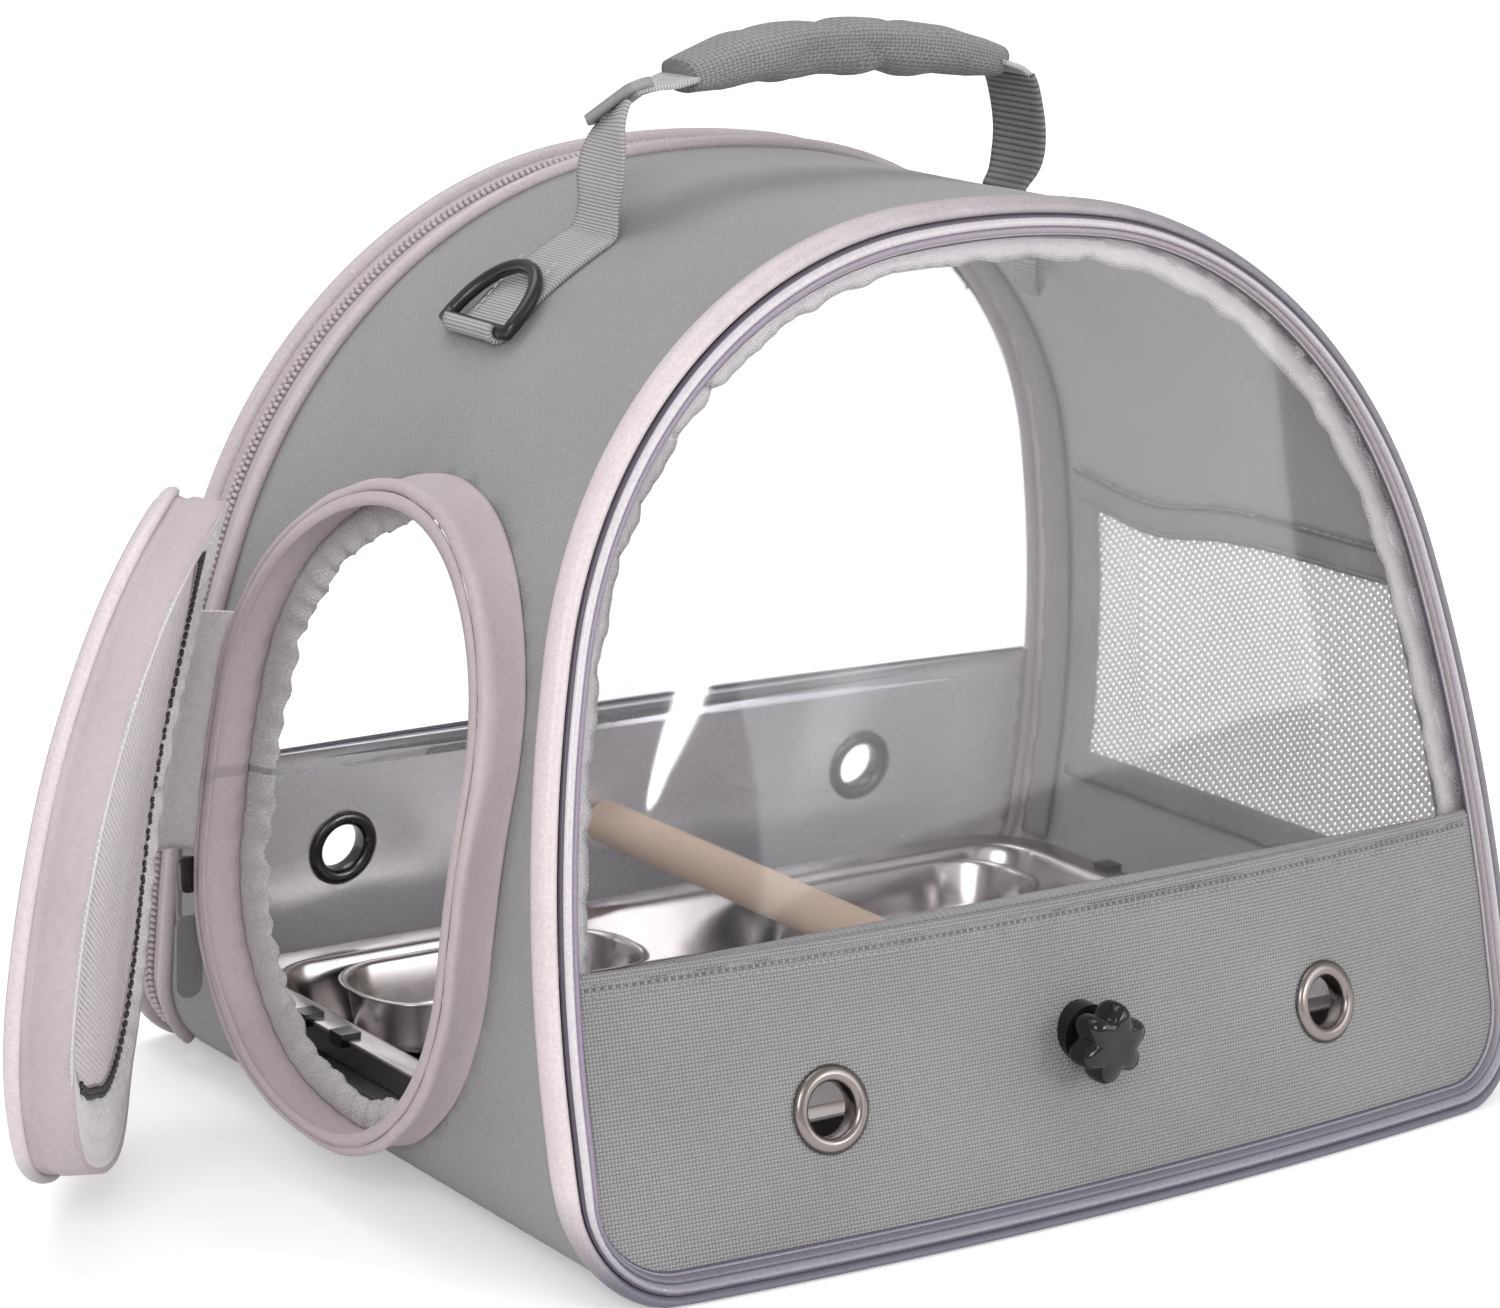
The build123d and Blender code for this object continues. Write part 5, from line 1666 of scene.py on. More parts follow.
@dataclass
class FrontFace(Face):
    """Clear front with its lower panel, welt and piping."""

    panel_top: float = 90.0
    eyelet_x: float = 97.0
    eyelet_z: float = 43.0
    narrow_about: float = 4.0
    narrow_by: float = 0.3
    waves_from: float = 60.0
    waves_grow: float = 60.0
    binding_from: float = 70.0

    def window(self) -> None:
        """Clear sheet, which swells a little between its seams."""
        loop = self.outline(inwards=4.0, low=82.0, high=400.0)

        def lay(x: float, z: float) -> Vector:
            """Place a flat point of the sheet."""
            top = self.form.height - 4.0
            side = max(0.0, 1 - (abs(x) / 175.0) ** 2.5)
            rise = max(0.0, math.sin(math.pi * min(1.0, max(0.0, (z - 84.0) / (top - 84.0)))))
            swell = 2.6 * side * rise + 0.5 * noise.noise(
                Vector((x * 0.012, z * 0.012, 1.0))
            ) * side * rise
            return self.on_face(x, z, 0.6 + swell)

        made = Draft.cut_sheet("front_clear_sheet", loop, [], spacing=7.0, lay=lay)
        Draft.thicken(made, thick=0.8, offset=0.0)
        dress(made, self.body, "clear_sheet", CLEAR, stands_for=["front_window"])

    def circle(self, x: float, z: float, radius: float) -> list[tuple[float, float]]:
        """Flat circle, for a hole."""
        return [
            (x + radius * math.cos(2 * math.pi * i / 28), z + radius * math.sin(2 * math.pi * i / 28))
            for i in range(28)
        ]

    def panel(self) -> None:
        """Cloth panel under the window, its turned upper edge and its two rows of stitches."""
        holes = [self.circle(side * self.eyelet_x, self.eyelet_z, radius=9.0) for side in (-1, 1)]
        loop = self.outline(inwards=3.0, low=0.8, high=self.panel_top)

        def lay(x: float, z: float) -> Vector:
            """Place a flat point of the panel."""
            from_top = self.panel_top - z
            pucker = 0.2 * math.sin(x * 0.9) * math.exp(-((from_top - 5.0) / 4.0) ** 2)
            dip = 0.3 * math.exp(-((from_top - 4.4) / 1.1) ** 2)
            lump = 0.5 * noise.noise(Vector((x * 0.013, z * 0.02, 8.0)))
            knob = 0.5 * math.exp(-((x / 16.0) ** 2 + ((z - 53.0) / 16.0) ** 2))
            return self.on_face(x, z, 3.1 + pucker - dip + lump - knob)

        made = Draft.cut_sheet("front_panel_cloth", loop, holes, spacing=5.0, lay=lay)
        Draft.thicken(made, thick=1.7, offset=-1.0 if self.facing_out(made) else 1.0)
        dress(made, self.body, "grey_oxford", GREY_CLOTH, stands_for=["front_panel"])
        self.turned_edge()
        for row, drop in enumerate((3.6, 5.6)):
            half = self.form.side_x(self.panel_top - drop, out=-8.0)
            seam = Draft.stitches(
                f"panel_stitches_{row}",
                lambda s, drop=drop, half=half: self.on_face(-half + s, self.panel_top - drop, 3.2),
                lambda s: Vector((0.0, -1.0, 0.27)),
                2 * half,
                pitch=2.5,
                size=(1.5, 0.8, 0.5),
            )
            dress(seam, self.body, "grey_oxford", THREAD if row else DARK_THREAD)

    @staticmethod
    def facing_out(made: bpy.types.Object) -> bool:
        """Whether the sheet's faces look away from the tunnel, towards the front."""
        return sum(face.normal.y for face in made.data.polygons) < 0

    def turned_edge(self) -> None:
        """Rolled fold along the panel's upper edge."""
        half = self.form.side_x(self.panel_top, out=-5.0)

        def place(s: float, up: float, away: float) -> Vector:
            """Place a point of the fold."""
            x = -half + s
            return self.on_face(x, self.panel_top + up, away)

        section = [
            (-2.6, 3.12), (-1.0, 3.45), (0.2, 2.9), (0.5, 2.0), (0.1, 1.3), (-1.0, 1.15), (-2.6, 1.2)
        ]
        made = Draft.sweep("panel_fold", place, 2 * half, section, closed=True, ring=False)
        dress(made, self.body, "grey_oxford", GREY_CLOTH)

    def lining(self) -> None:
        """Silver lining behind the panel."""
        holes = [self.circle(side * self.eyelet_x, self.eyelet_z, radius=9.0) for side in (-1, 1)]
        loop = self.outline(inwards=3.4, low=3.4, high=82.0)

        def lay(x: float, z: float) -> Vector:
            """Place a flat point of the lining."""
            return self.on_face(x, z, -1.0 + 0.4 * noise.noise(Vector((x * 0.03, z * 0.03, 6.0))))

        made = Draft.cut_sheet("front_lining_cloth", loop, holes, spacing=8.0, lay=lay)
        Draft.thicken(made, thick=0.8, offset=0.0)
        dress(made, self.body, "silver_lining", SILVER, stands_for=["front_lining"])

    def narrowed(self, section: Section) -> Callable[[float, int], tuple[float, float]]:
        """Draw a band's section in where the rim narrows: on the right and under the base."""

        def ripple(s: float, k: int) -> tuple[float, float]:
            """Shift of a section corner."""
            x, z, _, _ = self.form.outline(s)
            right = min(1.0, max(0.0, (x + 60.0) / 170.0))
            low = min(1.0, max(0.0, (42.0 - z) / 30.0))
            slim = max(right * right * (3 - 2 * right), low * low * (3 - 2 * low))
            return (-(section[k][0] + self.narrow_about) * self.narrow_by * slim, 0.0)

        return ripple

    def trim(self, name: str, section: Section, finish: Finish, slot: str, *stands_for: str) -> None:
        """Cord or band of the rim, drawn in where the rim narrows."""
        self.piping(name, section, finish, slot, stands_for, self.narrowed(section))

    def rim_trim(self) -> None:
        """Rose piping, clear welt with dark lines and painted highlights, and the wavy seam binding inside.
        """
        self.trim(
            "front_rose_piping", self.cord_section(out=0.7, away=3.4, radius_out=3.2, radius_away=4.3),
            ROSE_PIPING, "pink_webbing", "front_piping"
        )
        self.trim(
            "front_seam_line",
            self.cord_section(out=-2.6, away=6.6, radius_out=0.7, radius_away=0.8, sides=8), DARK_LINE,
            "pink_webbing"
        )
        # The clear welt is drawn as a pale cord: painted highlight.
        self.trim(
            "front_clear_welt", self.cord_section(out=-4.3, away=5.9, radius_out=1.7, radius_away=2.3),
            WELT_HIGHLIGHT, "clear_sheet", "front_welt"
        )
        self.trim(
            "front_grey_welt", self.cord_section(out=-7.0, away=4.4, radius_out=1.7, radius_away=1.9),
            WELT_GREY, "clear_sheet"
        )
        # Thin pale line beside the welt: painted highlight.
        self.trim(
            "front_highlight_line",
            self.cord_section(out=-8.7, away=3.6, radius_out=0.55, radius_away=0.8, sides=8), WELT_HIGHLIGHT,
            "clear_sheet"
        )
        self.trim(
            "front_dark_line",
            self.cord_section(out=-9.5, away=2.9, radius_out=0.45, radius_away=0.6, sides=8), DARK_LINE,
            "clear_sheet"
        )
        wave = gathers(pitch=26.0, depth=0.9, seed=2.0)
        fine = gathers(pitch=9.0, depth=0.6, seed=5.0)
        looseness = (0.0, 0.35, 0.8, 1.0, 0.8, 0.35, 0.0, 0.0)

        def ripple(s: float, k: int) -> tuple[float, float]:
            """The free edge of the binding waves, and its sewn edge doesn't."""
            free = looseness[k]
            z = self.form.outline(s)[1]
            soft = max(0.0, min(1.0, (z - self.waves_from) / self.waves_grow))
            return (wave(s, free) * soft, fine(s, free) + wave(s * 1.1, free) * 0.4)

        start = self.form.length_at(self.binding_from)
        section = [
            (-4.2, -1.2), (-8.0, -1.6), (-13.0, -1.9), (-16.6, -2.8), (-13.2, -4.6), (-8.0, -4.9),
            (-4.2, -4.6), (-3.9, -2.0)
        ]
        made = Draft.sweep(
            "front_seam_binding", self.form.rim(self.facing), self.full - 2 * start, section,
            start=start, spacing=2.6, closed=True, ring=False, ripple=ripple,
        )
        dress(made, self.body, "grey_binding", SEAM_BINDING)

    def build(self) -> None:
        """Build the whole front."""
        self.window()
        self.panel()
        self.lining()
        self.rim_trim()
        for side in (-1, 1):
            name = "front_eyelet_left" if side < 0 else "front_eyelet_right"
            made = self.eyelet(
                name, side * self.eyelet_x, self.eyelet_z, NICKEL, "nickel", inner=-1.65, outer=3.25
            )
            if side < 0:
                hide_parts("front_eyelets")
        redress("front_hoop", SPRING)


@dataclass
class RearFace(Face):
    """Zipped back door: clear window over a panel, with its piping and half of the zip."""

    panel_top: float = 94.0
    eyelet_x: float = 108.0
    eyelet_z: float = 57.0
    chain: float = -10.0
    half_chain: float = 1.35
    tape_stitch_pitch: float = 3.4
    tape_stitch_size: tuple[float, float, float] = (2.2, 0.45, 0.35)

    def window(self) -> None:
        """Clear sheet of the back door."""
        loop = self.outline(inwards=4.0, low=86.0, high=400.0)

        def lay(x: float, z: float) -> Vector:
            """Place a flat point of the sheet."""
            return self.on_face(x, z, -0.6 + 0.5 * noise.noise(Vector((x * 0.012, z * 0.012, 2.0))))

        made = Draft.cut_sheet("rear_clear_sheet", loop, [], spacing=9.0, lay=lay)
        Draft.thicken(made, thick=0.8, offset=0.0)
        dress(made, self.body, "clear_sheet", CLEAR, stands_for=["rear_window"])

    def panels(self) -> None:
        """Outer cloth and inner silver lining of the lower panel."""
        holes = [
            [
                (
                    side * self.eyelet_x + 9.0 * math.cos(2 * math.pi * i / 28),
                    self.eyelet_z + 9.0 * math.sin(2 * math.pi * i / 28)
                )
                for i in range(28)
            ]
            for side in (-1, 1)
        ]

        def outside(x: float, z: float) -> Vector:
            """Place a flat point of the outer cloth."""
            return self.on_face(x, z, 1.2 + 0.5 * noise.noise(Vector((x * 0.014, z * 0.02, 3.0))))

        def inside(x: float, z: float) -> Vector:
            """Place a flat point of the lining, which creases."""
            free = max(0.0, min(1.0, (self.panel_top - z) / 20.0))
            crease = 1.5 * noise.noise(Vector((x * 0.02, z * 0.03, 7.0))) * free
            return self.on_face(x, z, -2.2 - abs(crease) * 0.5)

        outer = Draft.cut_sheet(
            "rear_panel_cloth", self.outline(inwards=3.0, low=0.8, high=90.0), holes, spacing=7.0,
            lay=outside
        )
        Draft.thicken(outer, thick=1.4, offset=0.0)
        dress(outer, self.body, "grey_oxford", GREY_CLOTH, stands_for=["rear_panel"])
        inner = Draft.cut_sheet(
            "rear_lining_cloth", self.outline(inwards=4.4, low=4.4, high=self.panel_top), holes,
            spacing=5.0, lay=inside
        )
        Draft.thicken(inner, thick=0.7, offset=0.0)
        dress(inner, self.body, "silver_lining", SILVER, stands_for=["rear_lining"])
        half = self.form.side_x(self.panel_top, out=-6.0)

        def place(s: float, up: float, away: float) -> Vector:
            """Place a point of the dark edge."""
            return self.on_face(-half + s, self.panel_top + up, away)

        section = [(-0.2, -2.9), (0.9, -2.7), (0.9, -1.6), (-0.2, -1.4)]
        edge = Draft.sweep("rear_lining_edge", place, 2 * half, section, closed=True, ring=False)
        dress(edge, self.body, "silver_lining", DARK_LINE)
        for row, drop in enumerate((6.0, 9.5)):
            side = self.form.side_x(90.0 - drop, out=-8.0)
            seam = Draft.stitches(
                f"rear_panel_stitches_{row}",
                lambda s, drop=drop, side=side: self.on_face(-side + s, 90.0 - drop, 2.1),
                lambda s: Vector((0.0, 1.0, 0.1)),
                2 * side,
                pitch=3.3,
            )
            dress(seam, self.body, "grey_oxford", THREAD)

    def band(
        self,
        name: str,
        body: Body,
        section: Section,
        finish: Finish,
        slot: str,
        stands_for: Sequence[str] = (),
        low: float = 7.5
    ) -> bpy.types.Object:
        """Band round the rear arch that stops short of the floor."""
        start = self.form.length_at(low)
        made = Draft.sweep(
            name, self.form.rim(self.facing), self.full - 2 * start, section,
            start=start, spacing=4.0, closed=True, ring=False,
        )
        return dress(made, body, slot, finish, stands_for=stands_for)

    def teeth(self, name: str, body: Body, away: float, stands_for: str) -> None:
        """Half of the zip chain: one coil turn after another."""
        place = self.form.rim(self.facing)
        start = self.form.length_at(8.5)
        pitch = 2.2
        parts = []
        shift = 0.25 if body is Body.CARRIER else -0.25
        for i in range(int((self.full - 2 * start) / pitch)):
            s = start + (i + 0.5 + shift) * pitch
            here, ahead = place(s, 0.35, away), place(s + 0.5, 0.35, away)
            along = (ahead - here).normalized()
            across = Vector((0.0, 1.0, 0.0))
            up = along.cross(across).normalized()
            across = up.cross(along).normalized()
            parts.append(Draft.capsule(here, across, along, up, (2.2, 1.5, 1.9)))
        made = Draft.joined(name, parts)
        dress(made, body, "zip_chain", ZIP_TEETH, stands_for=[stands_for])

    def zip(self) -> None:
        """Seam piping, tapes and chain."""
        self.band(
            "rear_seam_cord", Body.CARRIER,
            self.cord_section(out=0.6, away=-21.5, radius_out=2.7, radius_away=2.4, sides=12),
            REAR_ROSE,
            "pink_webbing", ["rear_seam_piping"]
        )
        flat = [
            (-0.9, -19.0), (0.0, -18.8), (0.15, -15.6), (0.0, -12.6), (-0.7, -12.2), (-0.8, -10.15),
            (-1.5, -10.15)
        ]
        self.band(
            "rear_tape_fixed", Body.CARRIER, flat, PINK_BINDING, "pink_webbing", ["rear_zip_tape_fixed"]
        )
        flat = [
            (-1.5, -9.85), (-0.8, -9.85), (-0.7, -7.8), (0.0, -7.5), (0.2, -5.0), (0.0, -3.0),
            (-0.9, -2.9)
        ]
        self.band(
            "rear_tape_door", self.body, flat, PINK_BINDING, "pink_webbing", ["rear_zip_tape_door"]
        )
        self.teeth("rear_teeth_fixed", Body.CARRIER, self.chain - self.half_chain, "rear_zip_coil_fixed")
        self.teeth("rear_teeth_door", self.body, self.chain + self.half_chain, "rear_zip_coil_door")
        self.piping(
            "rear_rose_piping", self.cord_section(out=-0.4, away=0.4, radius_out=3.5, radius_away=3.5),
            REAR_ROSE, "pink_webbing",
            ["rear_piping"]
        )
        self.inner_binding()
        redress("rear_hoop", SPRING)
        place = self.form.rim(self.facing)
        start = self.form.length_at(10.0)
        for tag, body, away in (("fixed", Body.CARRIER, -17.4), ("door", self.body, -4.2)):
            seam = Draft.stitches(
                f"rear_tape_stitches_{tag}",
                lambda s, away=away: place(s, 0.2, away),
                lambda s: Vector((self.form.outline(s)[2], 0.0, self.form.outline(s)[3])),
                self.full - 2 * start,
                self.tape_stitch_pitch,
                self.tape_stitch_size,
                start,
            )
            dress(seam, body, "pink_webbing", PALE_THREAD)

    def inner_binding(self) -> None:
        """Dark binding that covers the zip's seam on the inside."""
        wave = gathers(pitch=22.0, depth=1.0, seed=31.0)
        fine = gathers(pitch=8.0, depth=0.5, seed=33.0)

        def ripple(s: float, k: int) -> tuple[float, float]:
            """The free edge is slightly gathered."""
            free = (0.0, 0.2, 0.7, 1.0, 0.7, 0.2)[k]
            return (fine(s, free), wave(s, free))

        start = self.form.length_at(24.0)
        section = [
            (-3.2, -24.5), (-4.6, -20.0), (-5.2, -15.5), (-5.7, -13.0), (-6.2, -16.0), (-4.9, -24.5)
        ]
        made = Draft.sweep(
            "rear_seam_binding", self.form.rim(self.facing), self.full - 2 * start, section,
            start=start, spacing=2.8, closed=True, ring=False, ripple=ripple,
        )
        dress(made, Body.CARRIER, "grey_binding", REAR_BINDING)

    def build(self) -> None:
        """Build the whole back."""
        self.window()
        self.panels()
        self.zip()
        for side in (-1, 1):
            name = "rear_eyelet_left" if side < 0 else "rear_eyelet_right"
            made = self.eyelet(
                name, side * self.eyelet_x, self.eyelet_z, GUNMETAL, "gunmetal", inner=-2.85, outer=2.05
            )
            if side < 0:
                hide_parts("rear_eyelets")
        redress("rear_zip_slider", GUNMETAL)
        redress("rear_zip_pull", PULL_TAB)


# --------------------------------------------------------------------------- side opening
@dataclass
class SideOpening:
    """Raised collar round the side opening."""

    slot: Slot
    collar: float = 16.0
    lean: float = 4.0

    def band(self) -> None:
        """Rose band that stands out from the wall, with rolled edges."""
        section = [
            (-2.9, -2.6), (-3.0, 4.0), (-3.1, 10.0), (-3.2, 14.6), (-2.0, 16.6), (-0.2, 16.6), (0.9, 15.2),
            (0.4, 13.0), (0.0, 8.0), (0.2, 3.0), (0.9, 0.9), (1.2, 0.2), (-0.6, -0.4), (-1.6, -2.4),
        ]
        wave = gathers(pitch=31.0, depth=0.35, seed=11.0)

        def ripple(s: float, k: int) -> tuple[float, float]:
            """Unevenness of the band, which leans in and stands lower on its front side."""
            front = max(0.0, -self.slot.outline(s)[2])
            deep = section[k][1]
            lean = -self.lean * front * (1.0 - 0.6 * max(0.0, deep) / self.collar)
            return (wave(s, 1.0 if 1 < k < 10 else 0.3) + lean, -0.1 * max(0.0, deep) * front)

        made = Draft.sweep(
            "collar_band", self.slot.place, self.slot.length, section, spacing=3.6, closed=True,
            ripple=ripple
        )
        dress(made, Body.CARRIER, "pink_webbing", PINK_BINDING, stands_for=["door_collar"])

    def tape_and_teeth(self) -> None:
        """Zip tape on the collar's edge, with its half of the chain."""
        section = [(-2.6, 16.0), (-2.4, 16.7), (-4.4, 16.8), (-6.3, 16.5), (-6.4, 15.9), (-4.4, 16.0)]

        def ripple(s: float, k: int) -> tuple[float, float]:
            """Follow the band's lean."""
            front = max(0.0, -self.slot.outline(s)[2])
            return (-0.4 * self.lean * front, -0.1 * self.collar * front)

        made = Draft.sweep(
            "collar_tape", self.slot.place, self.slot.length, section, closed=True, ripple=ripple
        )
        dress(made, Body.CARRIER, "pink_webbing", PINK_BINDING, stands_for=["collar_zip_tape"])

    def binding(self) -> None:
        """Gathered grey binding on the inside of the opening."""
        wave = gathers(pitch=10.0, depth=1.8, seed=4.0)
        slow = gathers(pitch=37.0, depth=1.2, seed=9.0)

        def ripple(s: float, k: int) -> tuple[float, float]:
            """The inner edge is gathered, and the sewn edge isn't."""
            free = (0.05, 0.3, 0.7, 1.0, 1.0, 0.8, 0.4, 0.1)[k]
            lean = -0.85 * self.lean * max(0.0, -self.slot.outline(s)[2])
            return (wave(s, free) * 0.6 + slow(s, free) + lean, wave(s + 4.0, free) * 0.9)

        section = [
            (-2.6, 2.2), (-5.2, 2.4), (-9.0, 1.2), (-12.0, -0.8), (-12.6, -2.4), (-10.0, -3.6),
            (-5.6, -3.9), (-2.8, -3.3)
        ]
        made = Draft.sweep(
            "opening_gathered_binding", self.slot.place, self.slot.length, section, spacing=2.2,
            closed=True, ripple=ripple
        )
        dress(made, Body.CARRIER, "grey_binding", GATHERED, stands_for=["collar_binding"])

    def build(self) -> None:
        """Build the opening."""
        self.band()
        self.tape_and_teeth()
        self.binding()
        redress("side_zip_slider", GUNMETAL)
        redress("side_zip_pull", PULL_TAB)


@dataclass
class SideDoor:
    """Side door, worked out closed and carried to where it stands open."""

    slot: Slot
    seat: float = 17.8
    tape: float = 1.5
    depth: float = 16.0
    net_in: float = 2.6
    narrow: float = 3.4
    over_tape: float = 9.0
    clear_of_tape: float = 0.5
    wide: float = 22.0

    @property
    def top(self) -> float:
        """Distance of the door's outer face from the wall."""
        return self.seat + self.tape + self.depth

    def place(self, s: float, grow: float, out: float) -> Vector:
        """Place a point of the opened door."""
        return opened(self.slot.place(s, grow, out))

    def sweep(
        self,
        name: str,
        section: Section,
        finish: Finish,
        slot: str,
        stands_for: Sequence[str] = (),
        spacing: float = 3.6,
        ripple: Optional[Callable[[float, int], tuple[float, float]]] = None
    ) -> bpy.types.Object:
        """Band that follows the door's outline."""
        made = Draft.sweep(
            name, self.place, self.slot.length, section, spacing=spacing, closed=True, ripple=ripple
        )
        return dress(made, Body.SIDE_DOOR, slot, finish, stands_for=stands_for)

    def band(self) -> None:
        """Rose band with its rolled rim."""
        low, top = self.seat, self.top
        wave = gathers(pitch=33.0, depth=0.4, seed=21.0)

        def ripple(s: float, k: int) -> tuple[float, float]:
            """Slight unevenness of the band."""
            return (wave(s, 1.0 if 5 < k < 12 else 0.2), 0.0)

        section = [
            (-2.8, low + 0.6), (-3.0, low + 7.0), (-3.0, top - 1.5), (-2.6, top + 0.2),
            (-0.6, top + 1.4), (0.6, top + 0.2), (0.9, top - 3.0), (0.3, top - 5.0),
            (0.1, top - 5.6), (0.9, top - 7.0), (0.2, low + 4.6), (-0.3, low + 0.9),
            (-1.4, low + 0.35),
        ]
        self.sweep(
            "door_rose_band", section, PINK_BINDING, "pink_webbing", ["door_band"], ripple=ripple
        )
        self.sweep(
            "door_rim_piping",
            Face.cord_section(out=1.4, away=top - 0.8, radius_out=2.0, radius_away=2.2, sides=12),
            ROSE_PIPING,
            "pink_webbing", ["door_piping"]
        )

    def face_sheet(
        self,
        name: str,
        shrink: float,
        hole: Optional[float],
        out: float,
        spacing: float,
        loose: float
    ) -> bpy.types.Object:
        """Sheet that spans the door's outline at a distance from the wall."""

        def loop(inwards: float, step: float) -> list[tuple[float, float]]:
            """Outline of the door moved inwards, in even steps."""
            count = int(self.slot.length / step)
            found = []
            for i in range(count):
                y, z, ny, nz = self.slot.outline(self.slot.length * i / count)
                found.append((y - ny * inwards, z - nz * inwards))
            return found

        def lay(y: float, z: float) -> Vector:
            """Place a flat point of the sheet, which swells a little."""
            dy = (y - self.slot.y) / self.slot.half_width
            dz = (z - self.slot.z) / self.slot.half_height
            free = max(0.0, 1.0 - dy * dy - dz * dz)
            swell = loose * free + loose * 0.5 * noise.noise(Vector((y * 0.025, z * 0.018, 6.0))) * free
            return opened(Vector((-FORM.side_x(z, out + swell), y, z)))

        holes = [] if hole is None else [loop(hole, 4.0)]
        return Draft.cut_sheet(name, loop(shrink, 4.0), holes, spacing, lay)

    def faces(self) -> None:
        """Outer cloth border, net and inner border."""
        net = self.face_sheet("door_net", self.net_in, None, self.seat + 2.5, spacing=5.5, loose=-2.2)
        dress(net, Body.SIDE_DOOR, "white_mesh", DOOR_NET, stands_for=["door_mesh"])
        rim = [self.slot.outline(self.slot.length * i / 160) for i in range(160)]
        flat, area = Draft.cut_size(
            [(y - ny * self.net_in, FORM.length_at(z - nz * self.net_in)) for y, z, ny, nz in rim]
        )
        border = self.face_sheet(
            "door_border_cloth", shrink=0.4, hole=8.0, out=self.top + 1.3, spacing=4.0, loose=0.4
        )
        Draft.thicken(border, thick=1.2, offset=0.0)
        dress(border, Body.SIDE_DOOR, "grey_oxford", PINK_BINDING, stands_for=["door_border"])

    def reach(self, s: float) -> float:
        """Width of the gathered binding: narrow along the free edge, wide by the hinge and below."""
        _, _, ny, nz = self.slot.outline(s)
        share = min(1.0, max(0.0, 0.5 + 0.55 * ny + 0.75 * max(0.0, -nz)))
        return self.narrow + (self.wide - self.narrow) * share * share * (3 - 2 * share)

    def inside(self) -> None:
        """Grey inner band, gathered at its edge, and the dark half of the zip."""
        low = self.seat
        wave = gathers(pitch=11.0, depth=1.5, seed=17.0)
        slow = gathers(pitch=40.0, depth=1.0, seed=19.0)
        section = [
            (0.06, 0.9), (0.1, -0.6), (0.28, -1.5), (0.52, -0.7), (0.74, -1.3), (0.98, 0.6), (1.0, 1.4),
            (0.14, 1.9)
        ]

        def place(s: float, share: float, rise: float) -> Vector:
            """Place a point of the binding from its share of the width."""
            puff = (0.0, 0.4, 1.0, 0.6)[min(3, int(share * 4))]
            wide = self.reach(s)
            free = min(1.0, wide / self.wide)
            lift = rise + wave(s, share * free) * (0.42 + 0.28 * puff)
            if wide * share < self.over_tape:
                lift = max(lift, self.clear_of_tape + 0.2 * rise)
            return self.place(s, -wide * share + slow(s, share) * 0.5 * free, low + lift)

        made = Draft.sweep(
            "door_gathered_binding", place, self.slot.length, section, spacing=2.2, closed=True
        )
        # The door's binding takes the lighter copy of the grey binding: painted light.
        dress(made, Body.SIDE_DOOR, "grey_binding", GATHERED_PAINTED_LIGHT, stands_for=["door_binding"])
        flat = [
            (-0.4, low + 1.0), (-0.6, low + 0.2), (-1.6, low + 0.1), (-2.6, low + 0.8),
            (-2.6, low + 1.4)
        ]
        self.sweep("door_tape", flat, PINK_BINDING, "pink_webbing", ["door_zip_tape"])
        self.teeth()

    def teeth(self) -> None:
        """Pale tape with dark zip teeth in two staggered rows, along the wide part of the binding."""
        low = self.seat
        pale = Draft.sweep(
            "door_chain_tape",
            lambda s, out, rise: self.place(s, -self.reach(s) - out, low + rise),
            self.slot.length, [(-1.0, 1.5), (1.5, 1.1), (4.0, 1.5), (1.5, 1.9)], closed=True,
        )
        dress(pale, Body.SIDE_DOOR, "white_mesh", PINK_BINDING)
        parts = []
        pitch = 2.5
        for i in range(int(self.slot.length / pitch)):
            s = (i + 0.5) * pitch
            wide = self.reach(s)
            if wide < 0.45 * self.wide:
                continue
            side = 0.85 if i % 2 else -0.85
            here = self.place(s, -wide - 1.6 - side, low + 0.7)
            ahead = self.place(s + 0.5, -wide - 1.6 - side, low + 0.7)
            inner = self.place(s, -wide - 2.6 - side, low + 0.7)
            along = (ahead - here).normalized()
            across = (inner - here).normalized()
            up = along.cross(across).normalized()
            parts.append(Draft.capsule(here, across, along, up, (1.9, 1.9, 1.3)))
        made = Draft.joined("door_teeth", parts)
        dress(made, Body.SIDE_DOOR, "zip_chain", DARK_TEETH)

